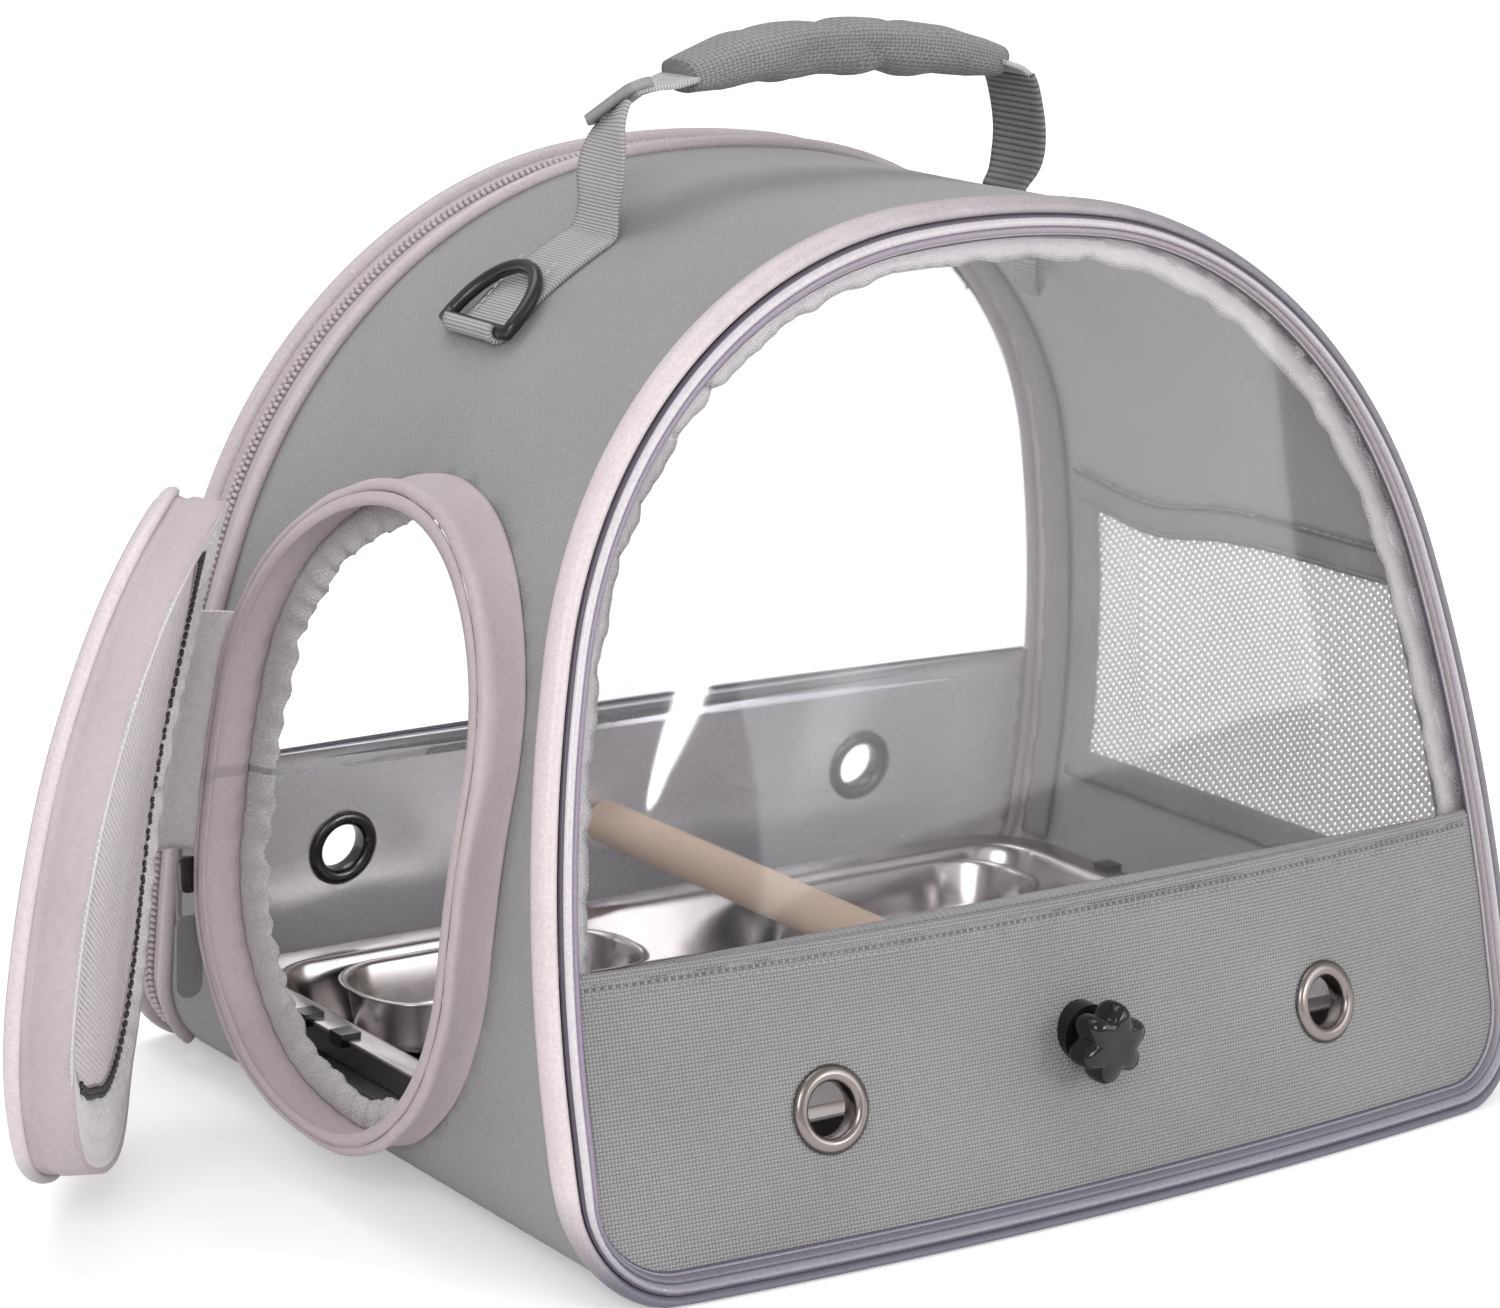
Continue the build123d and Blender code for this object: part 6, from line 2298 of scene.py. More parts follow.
    def hinge(self) -> None:
        """Cloth hinge that runs from the collar to the opened door."""
        points, uvs, faces = [], [], []
        low, high, rows, columns = 84.5, 159.5, 26, 16
        for i in range(rows + 1):
            z = low + (high - low) * i / rows
            bend = max(0.0, abs(z - self.slot.z) - self.slot.straight)
            y = self.slot.y + math.sqrt(self.slot.half_width**2 - bend**2)
            fixed = Vector((-FORM.side_x(z, out=14.0), y + 0.7, z))
            moving = opened(Vector((-FORM.side_x(z, out=21.5), y + 0.7, z)))
            rise = z - HINGE_POINT.z
            far = HINGE_POINT + HINGE_LINE * (rise / HINGE_LINE.z)
            far = far + Vector((0.0, -1.5, 0.0))
            for k in range(columns + 1):
                t = k / columns
                here = fixed * (1 - t) ** 2 + far * 2 * t * (1 - t) + moving * t**2
                crease = 0.5 * math.sin(z * 0.45 + 1.5 * math.sin(z * 0.13)) * math.sin(math.pi * t)
                points.append(here + Vector((-0.5, 0.8, 0.0)) * crease)
                uvs.append((z * MM, t * 0.03))
        for i in range(rows):
            for k in range(columns):
                a = i * (columns + 1) + k
                faces.append((a, a + 1, a + columns + 2, a + columns + 1))
        made = Draft.mesh("hinge_cloth", points, faces, uvs)
        Draft.thicken(made, thick=1.2, offset=0.0)
        start = Vector((-FORM.side_x(z=122.0, out=15.0), 60.7, 122.0))
        end = opened(Vector((-FORM.side_x(z=122.0, out=20.5), 60.7, 122.0)))
        # The hinge takes the lighter copy of the grey binding: painted light.
        bridge(
            made, GATHERED_PAINTED_LIGHT, ("hinge_strip", "door_hinge_strip"),
        )

    def build(self) -> None:
        """Build the door."""
        self.band()
        self.faces()
        self.inside()
        self.hinge()


# --------------------------------------------------------------------------- handle
@dataclass
class Carrying:
    """Webbing handle, its padded grip, slide and D-rings."""

    form: Form
    y: float = 20.0
    width: float = 25.0
    thick: float = 1.6
    left_foot: float = 64.6
    right_foot: float = 69.9
    run: float = 18.3
    left_run: tuple[tuple[float, float], ...] = ((-84.9, 292.5), (-82.6, 305.7), (-78.5, 313.1))
    right_run: tuple[tuple[float, float], ...] = ((75.4, 314.1), (79.4, 299.4), (78.0, 287.0))
    crest: tuple[tuple[float, float], ...] = (
        (-67.7, 316.9), (-56.4, 320.6), (-38.2, 325.8), (-15.5, 329.0), (3.9, 329.6),
        (31.4, 328.6), (53.5, 324.9), (66.1, 321.9), (71.7, 320.0),
    )
    grip: tuple[float, float] = (-57.0, 65.0)
    pivot_z: float = 281.7
    pinch: float = 5.0
    pinch_long: float = 7.0
    slide_at: float = 34.0
    turn_long: float = 13.0
    slide_turn: float = -0.42
    slide_size: tuple[float, float] = (30.0, 10.5)

    def shoulder(self, angle: float, out: float) -> tuple[float, float]:
        """Point on the right shoulder at an angle up from level."""
        radius, centre, _, _ = self.form.arcs[3]
        a = math.radians(angle)
        return centre[0] + (radius + out) * math.cos(a), centre[1] + (radius + out) * math.sin(a)

    def crown(self, x: float) -> Vector:
        """Centre line of the grip."""
        line = self.smooth(self.crest)
        for (x0, z0), (x1, z1) in zip(line, line[1:]):
            if x <= x1:
                return Vector((x, self.y, z0 + (z1 - z0) * (x - x0) / max(1e-6, x1 - x0)))
        return Vector((x, self.y, line[-1][1]))

    def ribbon(
        self,
        name: str,
        line: Sequence[tuple[float, float]],
        width: Callable[[float], float],
        body: Optional[Body],
        finish: Finish,
        stands_for: Sequence[str] = (),
        turned: Callable[[float], float] = lambda run: 0.0
    ) -> bpy.types.Object:
        """Flat webbing along a line across the carrier, left undressed where it has no body."""
        points, uvs, faces = [], [], []
        count, across = len(line), 8
        run = 0.0
        for i, (x, z) in enumerate(line):
            if i:
                run += math.hypot(x - line[i - 1][0], z - line[i - 1][1])
            ahead, behind = line[min(count - 1, i + 1)], line[max(0, i - 1)]
            along = Vector((ahead[0] - behind[0], 0.0, ahead[1] - behind[1])).normalized()
            upright = Vector((-along.z, 0.0, along.x))
            angle = turned(run)
            aside = Vector((0.0, math.cos(angle), 0.0)) + upright * math.sin(angle)
            normal = upright * math.cos(angle) - Vector((0.0, math.sin(angle), 0.0))
            for k in range(across + 1):
                v = k / across - 0.5
                edge = 0.25 * (1 - (2 * v) ** 6)
                wave = 0.3 * noise.noise(Vector((run * 0.03, v * 2.0, 5.0)))
                points.append(
                    Vector((x, self.y, z)) + aside * (v * width(run)) + normal * (edge + wave * 0.6)
                )
                uvs.append((run * MM, v * self.width * MM))
        for i in range(count - 1):
            for k in range(across):
                a = i * (across + 1) + k
                faces.append((a, a + 1, a + across + 2, a + across + 1))
        made = Draft.mesh(name, points, faces, uvs)
        Draft.thicken(made, self.thick, offset=0.0)
        if body is None:
            return made
        return dress(made, body, "grey_webbing", finish, stands_for=stands_for)

    @staticmethod
    def smooth(line: Sequence[tuple[float, float]], rounds: int = 3) -> list[tuple[float, float]]:
        """Round the corners of a line by cutting them."""
        points = list(line)
        for _ in range(rounds):
            cut = [points[0]]
            for (x0, z0), (x1, z1) in zip(points, points[1:]):
                cut.append((x0 * 0.75 + x1 * 0.25, z0 * 0.75 + z1 * 0.25))
                cut.append((x0 * 0.25 + x1 * 0.75, z0 * 0.25 + z1 * 0.75))
            cut.append(points[-1])
            points = cut
        return points

    @staticmethod
    def spaced(line: Sequence[tuple[float, float]], step: float = 2.0) -> list[tuple[float, float]]:
        """Put points at even distances along a line."""
        found = [line[0]]
        left = step
        for (x0, z0), (x1, z1) in zip(line, line[1:]):
            run = math.hypot(x1 - x0, z1 - z0)
            at = left
            while at <= run and run > 0:
                t = at / run
                found.append((x0 + (x1 - x0) * t, z0 + (z1 - z0) * t))
                at += step
            left = at - run
        found.append(line[-1])
        return found

    def straps(self) -> None:
        """Webbing: two sewn feet, two legs and the run inside the grip."""
        hinge_z = self.pivot_z
        feet = {}
        for side, foot, where in ((-1, self.left_foot, "left"), (1, self.right_foot, "right")):
            low = foot - self.run
            bar = self.shoulder(low, 3.9)
            lie: list[tuple[float, float]] = []
            a = math.radians(low)
            outward, tangent = (math.cos(a), math.sin(a)), (-math.sin(a), math.cos(a))
            for k in range(9):
                turn = math.pi * (0.5 + k / 8)
                back, ahead = math.sin(turn) * 3.2, -abs(math.cos(turn) * 3.2)
                lie.append(
                    (
                        bar[0] + outward[0] * back + tangent[0] * ahead,
                        bar[1] + outward[1] * back + tangent[1] * ahead
                    )
                )
            for i in range(11):
                lie.append(self.shoulder(low + 1.2 + (foot - low - 1.2) * i / 10, 0.9))
            feet[where] = [(side * x, z) for x, z in lie]
            if side < 0:
                self.fold_back(side, bar, outward, tangent)

        def turned(run: float) -> float:
            """Turn of the left leg about its own run, greatest at the slide."""
            return self.slide_turn * math.exp(-(((run - self.slide_at) / self.turn_long) ** 2))

        for where, run, finish, nodes in (
            ("left", self.left_run, STRAP, ("strap_base_left", "handle_strap")),
            ("right", (*self.right_run[::-1], (72.6, 318.8)), STRAP_DARK, ("strap_base_right",)),
        ):
            line = self.spaced(self.smooth([*feet[where], *run], 2))
            length = sum(math.hypot(b[0] - a[0], b[1] - a[1]) for a, b in zip(line, line[1:]))
            reach = 0.0
            for a, b in zip(line, line[1:]):
                reach += math.hypot(b[0] - a[0], b[1] - a[1])
                if b[1] > hinge_z:
                    break
            made = self.ribbon(
                f"handle_webbing_{where}", line,
                lambda at, reach=reach: (
                    self.width - self.pinch * math.exp(-(((at - reach) / self.pinch_long) ** 2))
                ),
                None, finish,
                turned=lambda at, length=length, where=where: (
                    turned(at - length + self.slide_at) if where == "left" else 0.0
                ),
            )
            foot = Vector((feet[where][-1][0], self.y, hinge_z - 4.5))
            bridge(made, finish, nodes)
        tail = [self.left_run[-1], *[tuple(self.crown(-74.0 + i).xz) for i in range(0, 20, 3)]]
        tail = self.spaced(self.smooth(tail, 2))
        self.ribbon(
            "handle_strap_left", tail, lambda run: 24.0 - 0.2 * run, Body.HANDLE, STRAP_WHITE,
            turned=lambda run: turned(run + self.slide_at),
        )
        middle = self.spaced([tuple(self.crown(-54.0 + 2.0 * i).xz) for i in range(58)])
        self.ribbon("handle_strap_middle", middle, lambda run: 14.0, Body.HANDLE, STRAP)
        neck = self.spaced(
            self.smooth([tuple(self.crown(x).xz) for x in (62.0, 66.0, 70.0)] + [(73.6, 317.6)], 2)
        )
        self.ribbon("handle_strap_right", neck, lambda run: 23.0, Body.HANDLE, STRAP_WHITE)

    def slide(self) -> None:
        """Flat rounded slide on the left leg, with a slot for the webbing."""
        long, short = self.slide_size
        centre = Vector((self.left_run[-1][0], self.y, self.left_run[-1][1]))
        aside = Vector((0.0, 0.877, -0.48))
        ahead = Vector((0.982, 0.092, 0.167))
        up = aside.cross(ahead).normalized()
        if up.z < 0:
            up = -up

        def loop(half_long: float, half_short: float, radius: float) -> list[tuple[float, float]]:
            """Rounded rectangle."""
            return Fittings.rounded(
                cx=0.0, cy=0.0, half_x=half_long, half_y=half_short, radius=radius, per_corner=8
            )

        def lay(a: float, b: float) -> Vector:
            """Place a flat point of the slide."""
            return centre + aside * a + ahead * b + up * 0.9

        holes = [loop(long / 2 - 4.0, 1.3, 1.1)]
        made = Draft.cut_sheet(
            "strap_slide_moulded", loop(long / 2, short / 2, 4.6), holes, spacing=3.0, lay=lay
        )
        Draft.thicken(made, thick=2.8, offset=0.0)
        dress(made, Body.HANDLE, "grey_plastic", SLIDE_PLASTIC, stands_for=["strap_slide"])

    def fold_back(
        self,
        side: int,
        bar: tuple[float, float],
        outward: tuple[float, float],
        tangent: tuple[float, float]
    ) -> None:
        """Cross stitches that hold the folded end of the webbing."""
        parts = []
        for row in (-9.0, 9.0):
            for i in range(8):
                along = 7.0 + i * 3.0
                x = bar[0] + tangent[0] * along + outward[0] * -1.6
                z = bar[1] + tangent[1] * along + outward[1] * -1.6
                parts.append(
                    Draft.capsule(
                        Vector((side * x, self.y + row, z)),
                        Vector((side * tangent[0], 0.0, tangent[1])),
                        Vector((0.0, 1.0, 0.0)),
                        Vector((side * outward[0], 0.0, outward[1])),
                        (2.2, 0.5, 0.5),
                    )
                )
        made = Draft.joined("strap_foot_stitches", parts)
        dress(made, Body.CARRIER, "grey_webbing", PALE_THREAD)

    def rings(self) -> None:
        """D-rings: a round bar and a rounded bow."""
        for side, foot, where, body in (
            (-1, self.left_foot, "left", Body.LEFT_RING),
            (1, self.right_foot, "right", Body.RIGHT_RING),
        ):
            low = math.radians(foot - self.run)
            bar = self.shoulder(foot - self.run, 3.9)
            outward = Vector((math.cos(low), 0.0, math.sin(low)))
            tangent = Vector((-math.sin(low), 0.0, math.cos(low)))
            reach, length = 16.6, 24.0
            path = [Vector((bar[0], self.y - reach + 2 * reach * i / 12, bar[1])) for i in range(13)]
            for i in range(1, 32):
                a = math.pi * i / 32
                lift = math.sin(a) ** 0.85
                path.append(
                    Vector(
                        (bar[0], self.y + reach * math.cos(a), bar[1])
                    ) + tangent * (length * lift) + outward * 0.0
                )
            path = [Vector((side * p.x, p.y, p.z)) for p in path]
            made = Draft.tube(f"d_ring_{where}_moulded", path, radius=2.25, loop=True)
            dress(made, body, "grey_plastic", RING_PLASTIC, stands_for=[f"d_ring_{where}"])

    def padded_grip(self) -> None:
        """Padded grip: a stuffed sleeve that bunches under the fingers."""
        stations, around = 46, 26
        points, uvs, faces = [], [], []
        (x0, x1) = self.grip
        for i in range(stations + 1):
            t = i / stations
            x = x0 + (x1 - x0) * t
            here, ahead = self.crown(x), self.crown(x + 1.0)
            along = (ahead - here).normalized()
            up = Vector((-along.z, 0.0, along.x))
            full = math.sin(math.pi * min(0.5, min(t, 1 - t) * 2.0))
            half_w, half_h = 9.0 + 4.2 * full, 5.2 + 1.8 * full
            for k in range(around):
                a = 2 * math.pi * k / around
                c, s = math.cos(a), math.sin(a)
                power = 2.6
                r = 1.0 / (abs(c) ** power + abs(s) ** power) ** (1 / power)
                points.append(here + Vector((0.0, 1.0, 0.0)) * (half_w * r * c) + up * (half_h * r * s))
                uvs.append((x * MM, a * 0.009))
        for i in range(stations):
            for k in range(around):
                m = (k + 1) % around
                a, b = i * around, (i + 1) * around
                faces.append((a + k, b + k, b + m, a + m))
        faces.append(tuple(range(around)))
        faces.append(tuple(stations * around + k for k in reversed(range(around))))
        made = Draft.mesh("handle_grip_padded", points, faces, uvs)
        Draft.face_out(made)
        Padding(pressure=5.0, cap=1.8).run(made)
        self.creases(made)
        dress(made, Body.HANDLE, "grey_oxford", ROPE_CLOTH, stands_for=["handle_grip"])

    def creases(self, made: bpy.types.Object) -> None:
        """Press folds into the grip: diagonal drags and a pinch at the middle."""
        for vertex in made.data.vertices:
            p = vertex.co / MM
            u = (p.x - self.grip[0]) / (self.grip[1] - self.grip[0])
            centre = self.crown(p.x)
            out = (p - centre)
            out.x = 0.0
            if out.length < 1.0:
                continue
            side = out.y / 13.0
            low = max(0.0, -out.z / 6.0)
            fold = 0.0
            for middle, slant, depth, wide in (
                (0.34, 9.0, 0.9, 3.2), (0.52, -8.0, 1.3, 3.4), (0.57, 8.0, 1.1, 3.0),
                (0.78, -10.0, 0.8, 3.6), (0.16, 7.0, 0.6, 3.0)
            ):
                line = p.x - (
                    self.grip[0] + middle * (self.grip[1] - self.grip[0])
                ) - slant * (out.z / 6.0)
                fold -= depth * math.exp(-((line / wide) ** 2)) * min(1.0, abs(side) + 0.35)
            lump = 0.7 * noise.noise(Vector((p.x * 0.06, p.y * 0.08, p.z * 0.08)))
            bulge = 0.9 * low * math.sin(u * math.pi * 5.0) ** 2
            end = min(1.0, min(u, 1 - u) * 8)
            vertex.co = (p + out.normalized() * (fold + lump + bulge) * end) * MM

    def build(self) -> None:
        """Build the handle."""
        self.straps()
        self.slide()
        self.rings()
        self.padded_grip()


@dataclass(frozen=True)
class Padding:
    """Cloth simulation that fills a closed sleeve."""

    pressure: float = 4.0
    cap: float = 3.0
    frames: int = 20

    def run(self, made: bpy.types.Object) -> None:
        """Inflate a piece a little and keep its surface.

        Args:
            made: a closed piece with no modifiers.
        """
        scene = bpy.context.scene
        rest = [v.co.copy() for v in made.data.vertices]
        puff = made.modifiers.new("filling", "CLOTH")
        puff.settings.quality = 6
        puff.settings.mass = 0.25
        puff.settings.tension_stiffness = 12
        puff.settings.compression_stiffness = 12
        puff.settings.bending_stiffness = 0.4
        puff.settings.use_pressure = True
        puff.settings.uniform_pressure_force = self.pressure
        puff.settings.effector_weights.gravity = 0.0
        puff.collision_settings.use_collision = False
        for step in range(1, self.frames + 1):
            scene.frame_set(step)
        shown = made.evaluated_get(bpy.context.evaluated_depsgraph_get())
        moved = [v.co.copy() for v in shown.data.vertices]
        made.modifiers.clear()
        for vertex, before, after in zip(made.data.vertices, rest, moved):
            step = after - before
            limit = self.cap * MM
            if step.length > limit:
                step = step * (limit / step.length)
            vertex.co = before + step
        scene.frame_set(1)


# --------------------------------------------------------------------------- inside
@dataclass
class Fittings:
    """Perch, knob, tray and cups."""

    form: Form
    tray_half: float = 166.0
    tray_front: float = -104.0
    tray_rear: float = 108.0
    rim: float = 11.0
    corner: float = 28.0
    sheet_steel: float = 0.7
    cup_half: tuple[float, float] = (54.0, 25.0)
    cup_corner: float = 22.0
    cup_side: float = 84.0
    cup_gap: float = 5.0
    lobes: int = 6
    per_lobe: int = 16
    knob_at: tuple[float, float] = (-4.5, 52.0)
    knob_turn: float = 0.2
    knob_waist: float = 9.0
    knob_arm: float = 3.5
    knob_foot: float = 11.0
    knob_seat: float = 0.3
    washer_radius: float = 9.0
    washer_thick: float = 1.2
    panel_out: float = 3.2

    @staticmethod
    def rows_of_faces(rows: int, per: int) -> list[tuple[int, ...]]:
        """Faces between closed rows of points.

        Args:
            rows: How many rows there are.
            per: How many points each row has.

        Returns:
            One four-sided face between each point, its neighbour and the next row.
        """
        return [
            (r * per + k, r * per + (k + 1) % per, (r + 1) * per + (k + 1) % per, (r + 1) * per + k)
            for r in range(rows - 1)
            for k in range(per)
        ]

    @staticmethod
    def rounded(
        cx: float,
        cy: float,
        half_x: float,
        half_y: float,
        radius: float,
        per_corner: int = 12
    ) -> list[tuple[float, float]]:
        """Rounded rectangle about a centre."""
        loop = []
        radius = max(0.6, radius)
        for k, (sx, sy) in enumerate(((1, 1), (-1, 1), (-1, -1), (1, -1))):
            px, py = cx + sx * (half_x - radius), cy + sy * (half_y - radius)
            for i in range(per_corner + 1):
                a = math.pi / 2 * (k + i / per_corner)
                loop.append((px + radius * math.cos(a), py + radius * math.sin(a)))
        return loop

    def pressed(
        self,
        name: str,
        centre: tuple[float, float],
        half: tuple[float, float],
        corner: float,
        rings: Sequence[tuple[float, float]],
        body: Body,
        node: str
    ) -> None:
        """Pressed steel pan from rings of (inset from the rim's edge, height)."""
        points: list[Vector] = []
        per = 0
        for inset, z in rings:
            loop = self.rounded(
                centre[0], centre[1], half[0] - inset, half[1] - inset, corner - inset * 0.75
            )
            per = len(loop)
            points.extend(Vector((x, y, z)) for x, y in loop)
        faces = self.rows_of_faces(len(rings), per)
        faces.append(tuple((len(rings) - 1) * per + k for k in range(per)))
        made = Draft.mesh(name, points, faces)
        Draft.face_out(made)
        solid = made.modifiers.new("thickness", "SOLIDIFY")
        solid.thickness = self.sheet_steel * MM
        solid.offset = -1.0
        dress(made, body, "stainless", STEEL, stands_for=[node])

    def pans(self) -> None:
        """Tray and cups."""
        depth = self.tray_rear - self.tray_front
        middle = (0.0, (self.tray_rear + self.tray_front) / 2)
        rings = [
            (0.6, 28.6), (0.1, 29.2), (0.3, 29.85), (1.2, 30.0), (9.2, 29.9), (10.6, 29.6), (11.4, 28.8),
            (12.3, 26.5), (18.5, 11.0), (19.4, 9.2), (21.0, 8.5), (24.0, 8.3),
        ]
        self.pressed(
            "tray_pressed", middle, (self.tray_half, depth / 2), self.corner, rings, Body.TRAY, "tray"
        )
        y = self.tray_rear - self.rim - self.cup_gap - self.cup_half[1]
        for side, body, node in ((-1, Body.LEFT_CUP, "food_cup"), (1, Body.RIGHT_CUP, "water_cup")):
            rings = [
                (0.5, 27.7), (0.0, 28.1), (0.3, 28.55), (1.2, 28.6), (2.3, 28.3), (3.0, 27.2),
                (5.6, 13.5), (6.2, 11.6), (7.4, 10.2), (9.2, 9.75), (14.0, 9.65),
            ]
            centre = (side * self.cup_side, y)
            self.pressed(f"{node}_pressed", centre, self.cup_half, self.cup_corner, rings, body, node)
        redress("tray_clips", BLACK)

    def knob(self) -> None:
        """Star knob with rounded arms and a domed middle."""
        x, z = self.knob_at
        panel_y = self.form.front_y(0, z - self.washer_radius) - self.panel_out
        face_y = panel_y - self.washer_thick - self.knob_seat
        points = []
        around = self.lobes * self.per_lobe
        rings = [
            (0.56, 0.0), (0.60, 0.4), (0.60, 2.6), (0.80, 3.2), (0.93, 3.9), (0.99, 5.6),
            (1.0, 8.6), (0.97, 11.2), (0.88, 12.8), (0.74, 13.6), (0.5, 14.0), (0.3, 13.9), (0.12, 13.7),
        ]
        for scale, deep in rings:
            for k in range(around):
                a = 2 * math.pi * k / around + self.knob_turn
                arm = 0.5 + 0.5 * math.cos(self.lobes * (a - self.knob_turn))
                shape = self.knob_waist + self.knob_arm * arm**0.7
                blend = min(1.0, max(0.0, (scale - 0.55) / 0.3))
                radius = scale * (shape * blend + self.knob_foot * (1 - blend))
                points.append(
                    Vector((x + radius * math.sin(a), face_y - deep, z + radius * math.cos(a)))
                )
        faces = self.rows_of_faces(len(rings), around)
        faces.append(tuple(range(around)))
        faces.append(tuple((len(rings) - 1) * around + k for k in reversed(range(around))))
        made = Draft.mesh("star_knob_moulded", points, faces)
        Draft.face_out(made)
        dress(made, Body.KNOB, "black_plastic", BLACK, stands_for=["star_knob"])
        redress("knob_washer", BLACK)
        redress("perch_stud", STEEL)
        redress("perch", BEECH)

    def build(self) -> None:
        """Build everything inside."""
        self.pans()
        self.knob()


# --------------------------------------------------------------------------- studio
@dataclass
class Studio:
    """Pale floor, soft lamps and the camera."""

    azimuth: float = -36.80
    elevation: float = 13.848
    roll: float = 2.367
    distance: float = 1318.385
    shift_right: float = -28.977
    shift_up: float = -12.703
    lens: float = 4154.963 / 1500 * 36.0

    def camera(self) -> None:
        """Camera at the viewing angle."""
        a, e, r = (math.radians(v) for v in (self.azimuth, self.elevation, self.roll))
        back = Vector((math.sin(a) * math.cos(e), -math.cos(a) * math.cos(e), math.sin(e)))
        right = Vector((math.cos(a), math.sin(a), 0.0))
        up = back.cross(right)
        turned_right = right * math.cos(r) + up * math.sin(r)
        turned_up = right * -math.sin(r) + up * math.cos(r)
        place = back * self.distance + right * self.shift_right + up * self.shift_up + Vector((0, 0, 150.0))
        data = bpy.data.cameras.new("camera")
        data.sensor_fit = "HORIZONTAL"
        data.sensor_width = 36.0
        data.lens = self.lens
        data.clip_start, data.clip_end = 0.05, 50.0
        made = bpy.data.objects.new("camera", data)
        turn = Matrix((turned_right, turned_up, back)).transposed().to_4x4()
        made.matrix_world = Matrix.Translation(place * MM) @ turn
        bpy.context.scene.collection.objects.link(made)
        bpy.context.scene.camera = made

    def lamp(
        self,
        name: str,
        place: tuple[float, float, float],
        aim: tuple[float, float, float],
        size: tuple[float, float],
        power: float,
        tint: tuple[float, float, float] = (1, 1, 1)
    ) -> None:
        """Rectangular soft lamp, in metres and watts."""
        data = bpy.data.lights.new(name, "AREA")
        data.shape = "RECTANGLE"
        data.size, data.size_y = size
        data.energy = power
        data.color = tint
        made = bpy.data.objects.new(name, data)
        direction = Vector(aim) - Vector(place)
        made.rotation_mode = "QUATERNION"
        made.rotation_quaternion = direction.to_track_quat("-Z", "Y")
        made.location = place
        bpy.context.scene.collection.objects.link(made)

    def glare_strip(self) -> None:
        """Narrow lamp that the clear front mirrors as a long bright streak."""
        camera = bpy.context.scene.camera.matrix_world.translation / MM
        ends = []
        for x, z in ((-101.0, 246.0), (-156.0, 130.0)):
            point = Vector((x, FORM.front_y(x, z, 2.0), z))
            slope = 2 * FORM.front_bow * x / FORM.half_width**2
            normal = Vector((slope, -1.0, FORM.front_lean)).normalized()
            view = (point - camera).normalized()
            ends.append(point + (view - normal * 2 * view.dot(normal)) * 1250.0)
        middle = (ends[0] + ends[1]) / 2
        aim = Vector((-128.0, FORM.front_y(-128.0, 188.0), 188.0))
        back = (middle - aim).normalized()
        along = (ends[0] - ends[1]).normalized()
        side = along.cross(back).normalized()
        along = back.cross(side).normalized()
        data = bpy.data.lights.new("strip", "AREA")
        data.shape = "ELLIPSE"
        data.size, data.size_y = 0.045, (ends[0] - ends[1]).length * MM * 1.15
        data.energy = 1.7
        made = bpy.data.objects.new("strip", data)
        made.matrix_world = Matrix.Translation(middle * MM) @ Matrix(
            (side, along, back)
        ).transposed().to_4x4()
        bpy.context.scene.collection.objects.link(made)

    def world(self) -> None:
        """White surroundings: full white to the eye, gentler as a light."""
        made = bpy.data.worlds.new("surroundings")
        bpy.context.scene.world = made
        made.use_nodes = True
        tree = made.node_tree
        sheet = NodeSheet(tree)
        glow = tree.nodes["Background"]
        glow.inputs["Color"].default_value = (1.0, 1.0, 1.0, 1.0)
        ray = sheet.add("ShaderNodeLightPath")
        seen = sheet.math("MAXIMUM", ray.outputs["Is Camera Ray"], ray.outputs["Is Transmission Ray"])
        strength = sheet.span(seen, low=0.0, high=1.0, to_low=0.55, to_high=1.0)
        sheet.join(strength, glow.inputs["Strength"])

    def floor(self) -> None:
        """Pale floor that keeps a soft shadow."""
        half = 6000.0
        made = Draft.mesh(
            "floor",
            [
                Vector((-half, -half, -0.6)), Vector((half, -half, -0.6)), Vector((half, half, -0.6)),
                Vector((-half, half, -0.6))
            ],
            [(0, 1, 2, 3)],
            smooth=False,
        )
        paint = bpy.data.materials.new("floor paint")
        paint.use_nodes = True
        sheet = NodeSheet(paint.node_tree)
        surface = paint.node_tree.nodes["Principled BSDF"]
        surface.inputs["Base Color"].default_value = (0.9, 0.9, 0.9, 1.0)
        surface.inputs["Roughness"].default_value = 0.9
        surface.inputs["Specular IOR Level"].default_value = 0.0
        surface.inputs["Emission Color"].default_value = (1.0, 1.0, 1.0, 1.0)
        ray = sheet.add("ShaderNodeLightPath")
        seen = sheet.math(
            "MAXIMUM", ray.outputs["Is Camera Ray"],
            sheet.math("MAXIMUM", ray.outputs["Is Transmission Ray"], ray.outputs["Is Glossy Ray"])
        )
        where = sheet.add("ShaderNodeTexCoord")
        span = sheet.add("ShaderNodeVectorMath", operation="LENGTH")
        sheet.join(where.outputs["Object"], span.inputs[0])
        glow = sheet.span(span.outputs["Value"], low=0.35, high=1.6, to_low=0.34, to_high=0.62)
        sheet.join(sheet.math("MULTIPLY", seen, glow), surface.inputs["Emission Strength"])
        made.data.materials.append(paint)

    def build(self) -> None:
        """Build the studio."""
        bpy.context.scene.view_settings.view_transform = "Standard"
        self.camera()
        self.world()
        self.floor()
        self.lamp("key", (-1.6, -1.7, 1.3), (0.0, 0.0, 0.15), (1.1, 1.1), power=22.0)
        self.lamp("fill", (1.5, -1.9, 1.0), (0.0, 0.0, 0.15), (1.4, 1.4), power=13.0)
        self.lamp("top", (-0.2, 0.6, 2.2), (0.0, 0.0, 0.15), (1.6, 1.2), power=15.0)
        self.glare_strip()


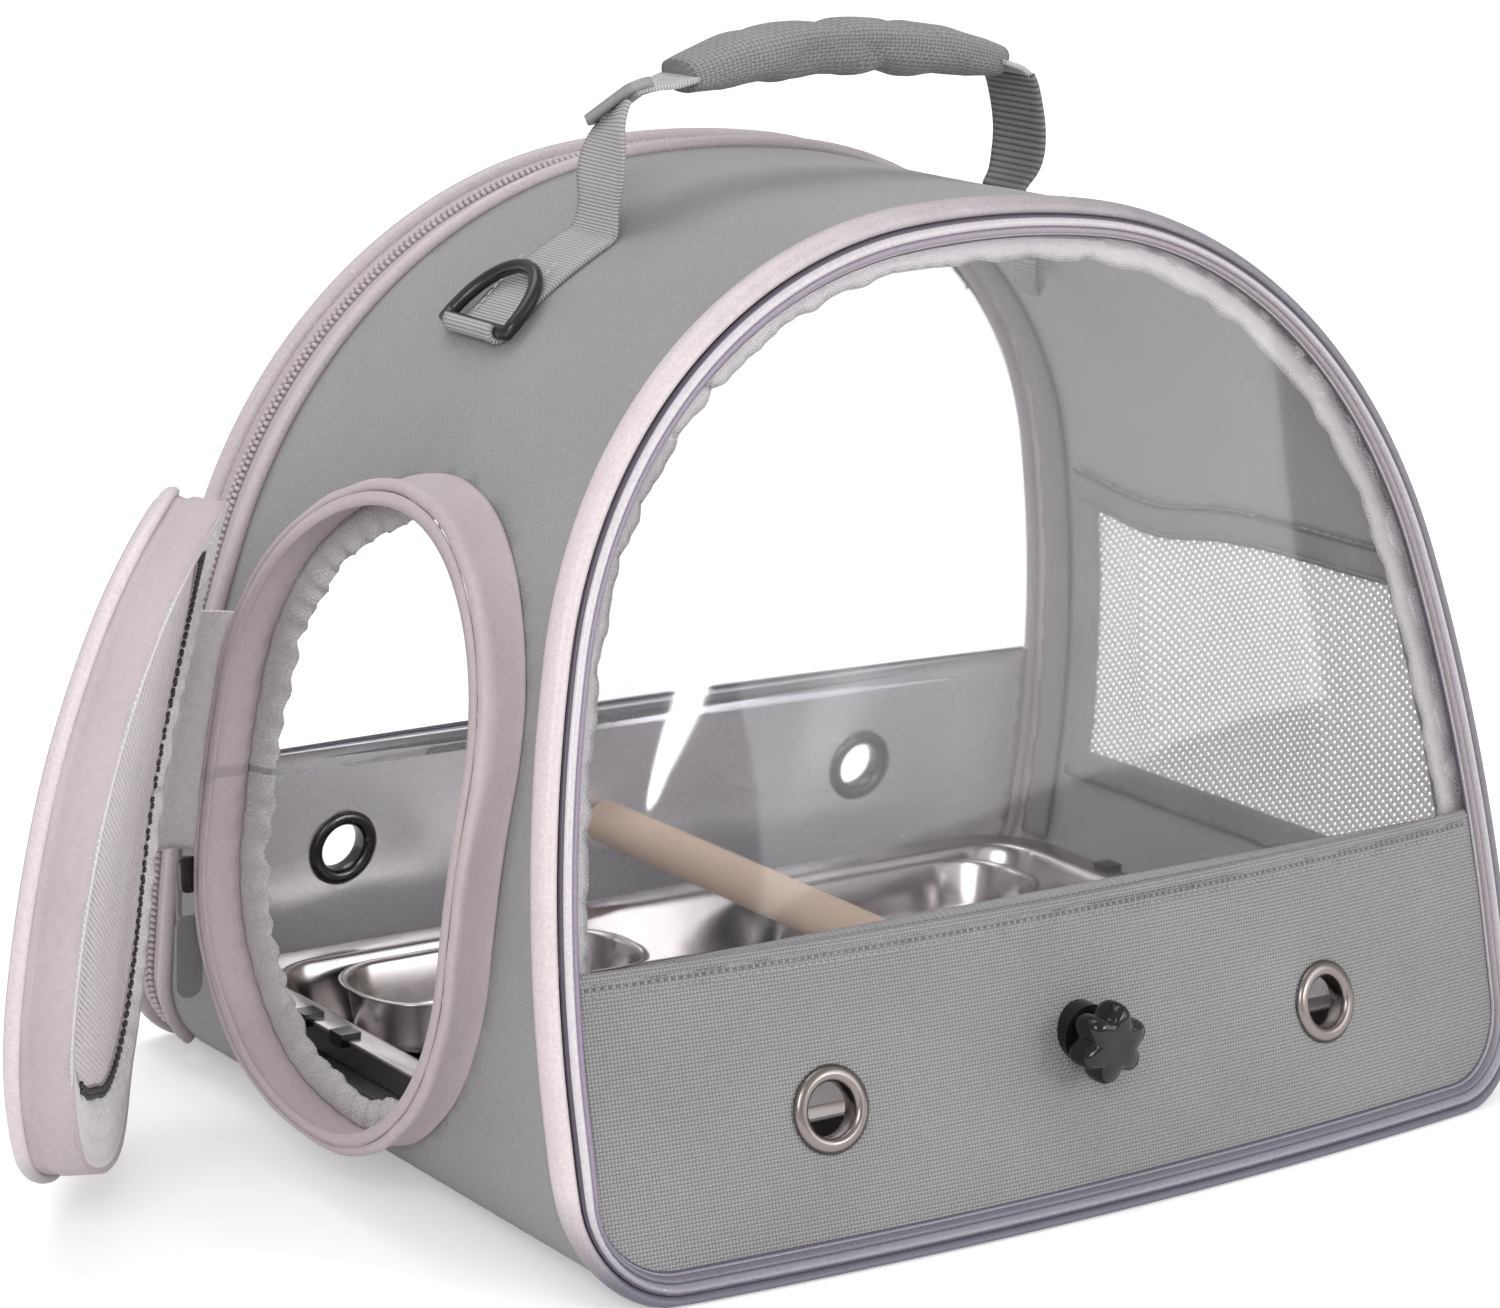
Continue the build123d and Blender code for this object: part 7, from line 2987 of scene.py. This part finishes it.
def main() -> None:
    """Build the carrier piece by piece, then the studio."""
    logging.basicConfig(level=logging.INFO, format="%(name)s: %(message)s")
    Studio().build()
    Tunnel().build()
    FrontFace(FORM, Facing.FRONT, Body.CARRIER).build()
    RearFace(FORM, Facing.REAR, Body.BACK_DOOR).build()
    SideOpening(SLOT).build()
    SideDoor(SLOT).build()
    Carrying(FORM).build()
    Fittings(FORM).build()


if __name__ == "__main__":
    main()
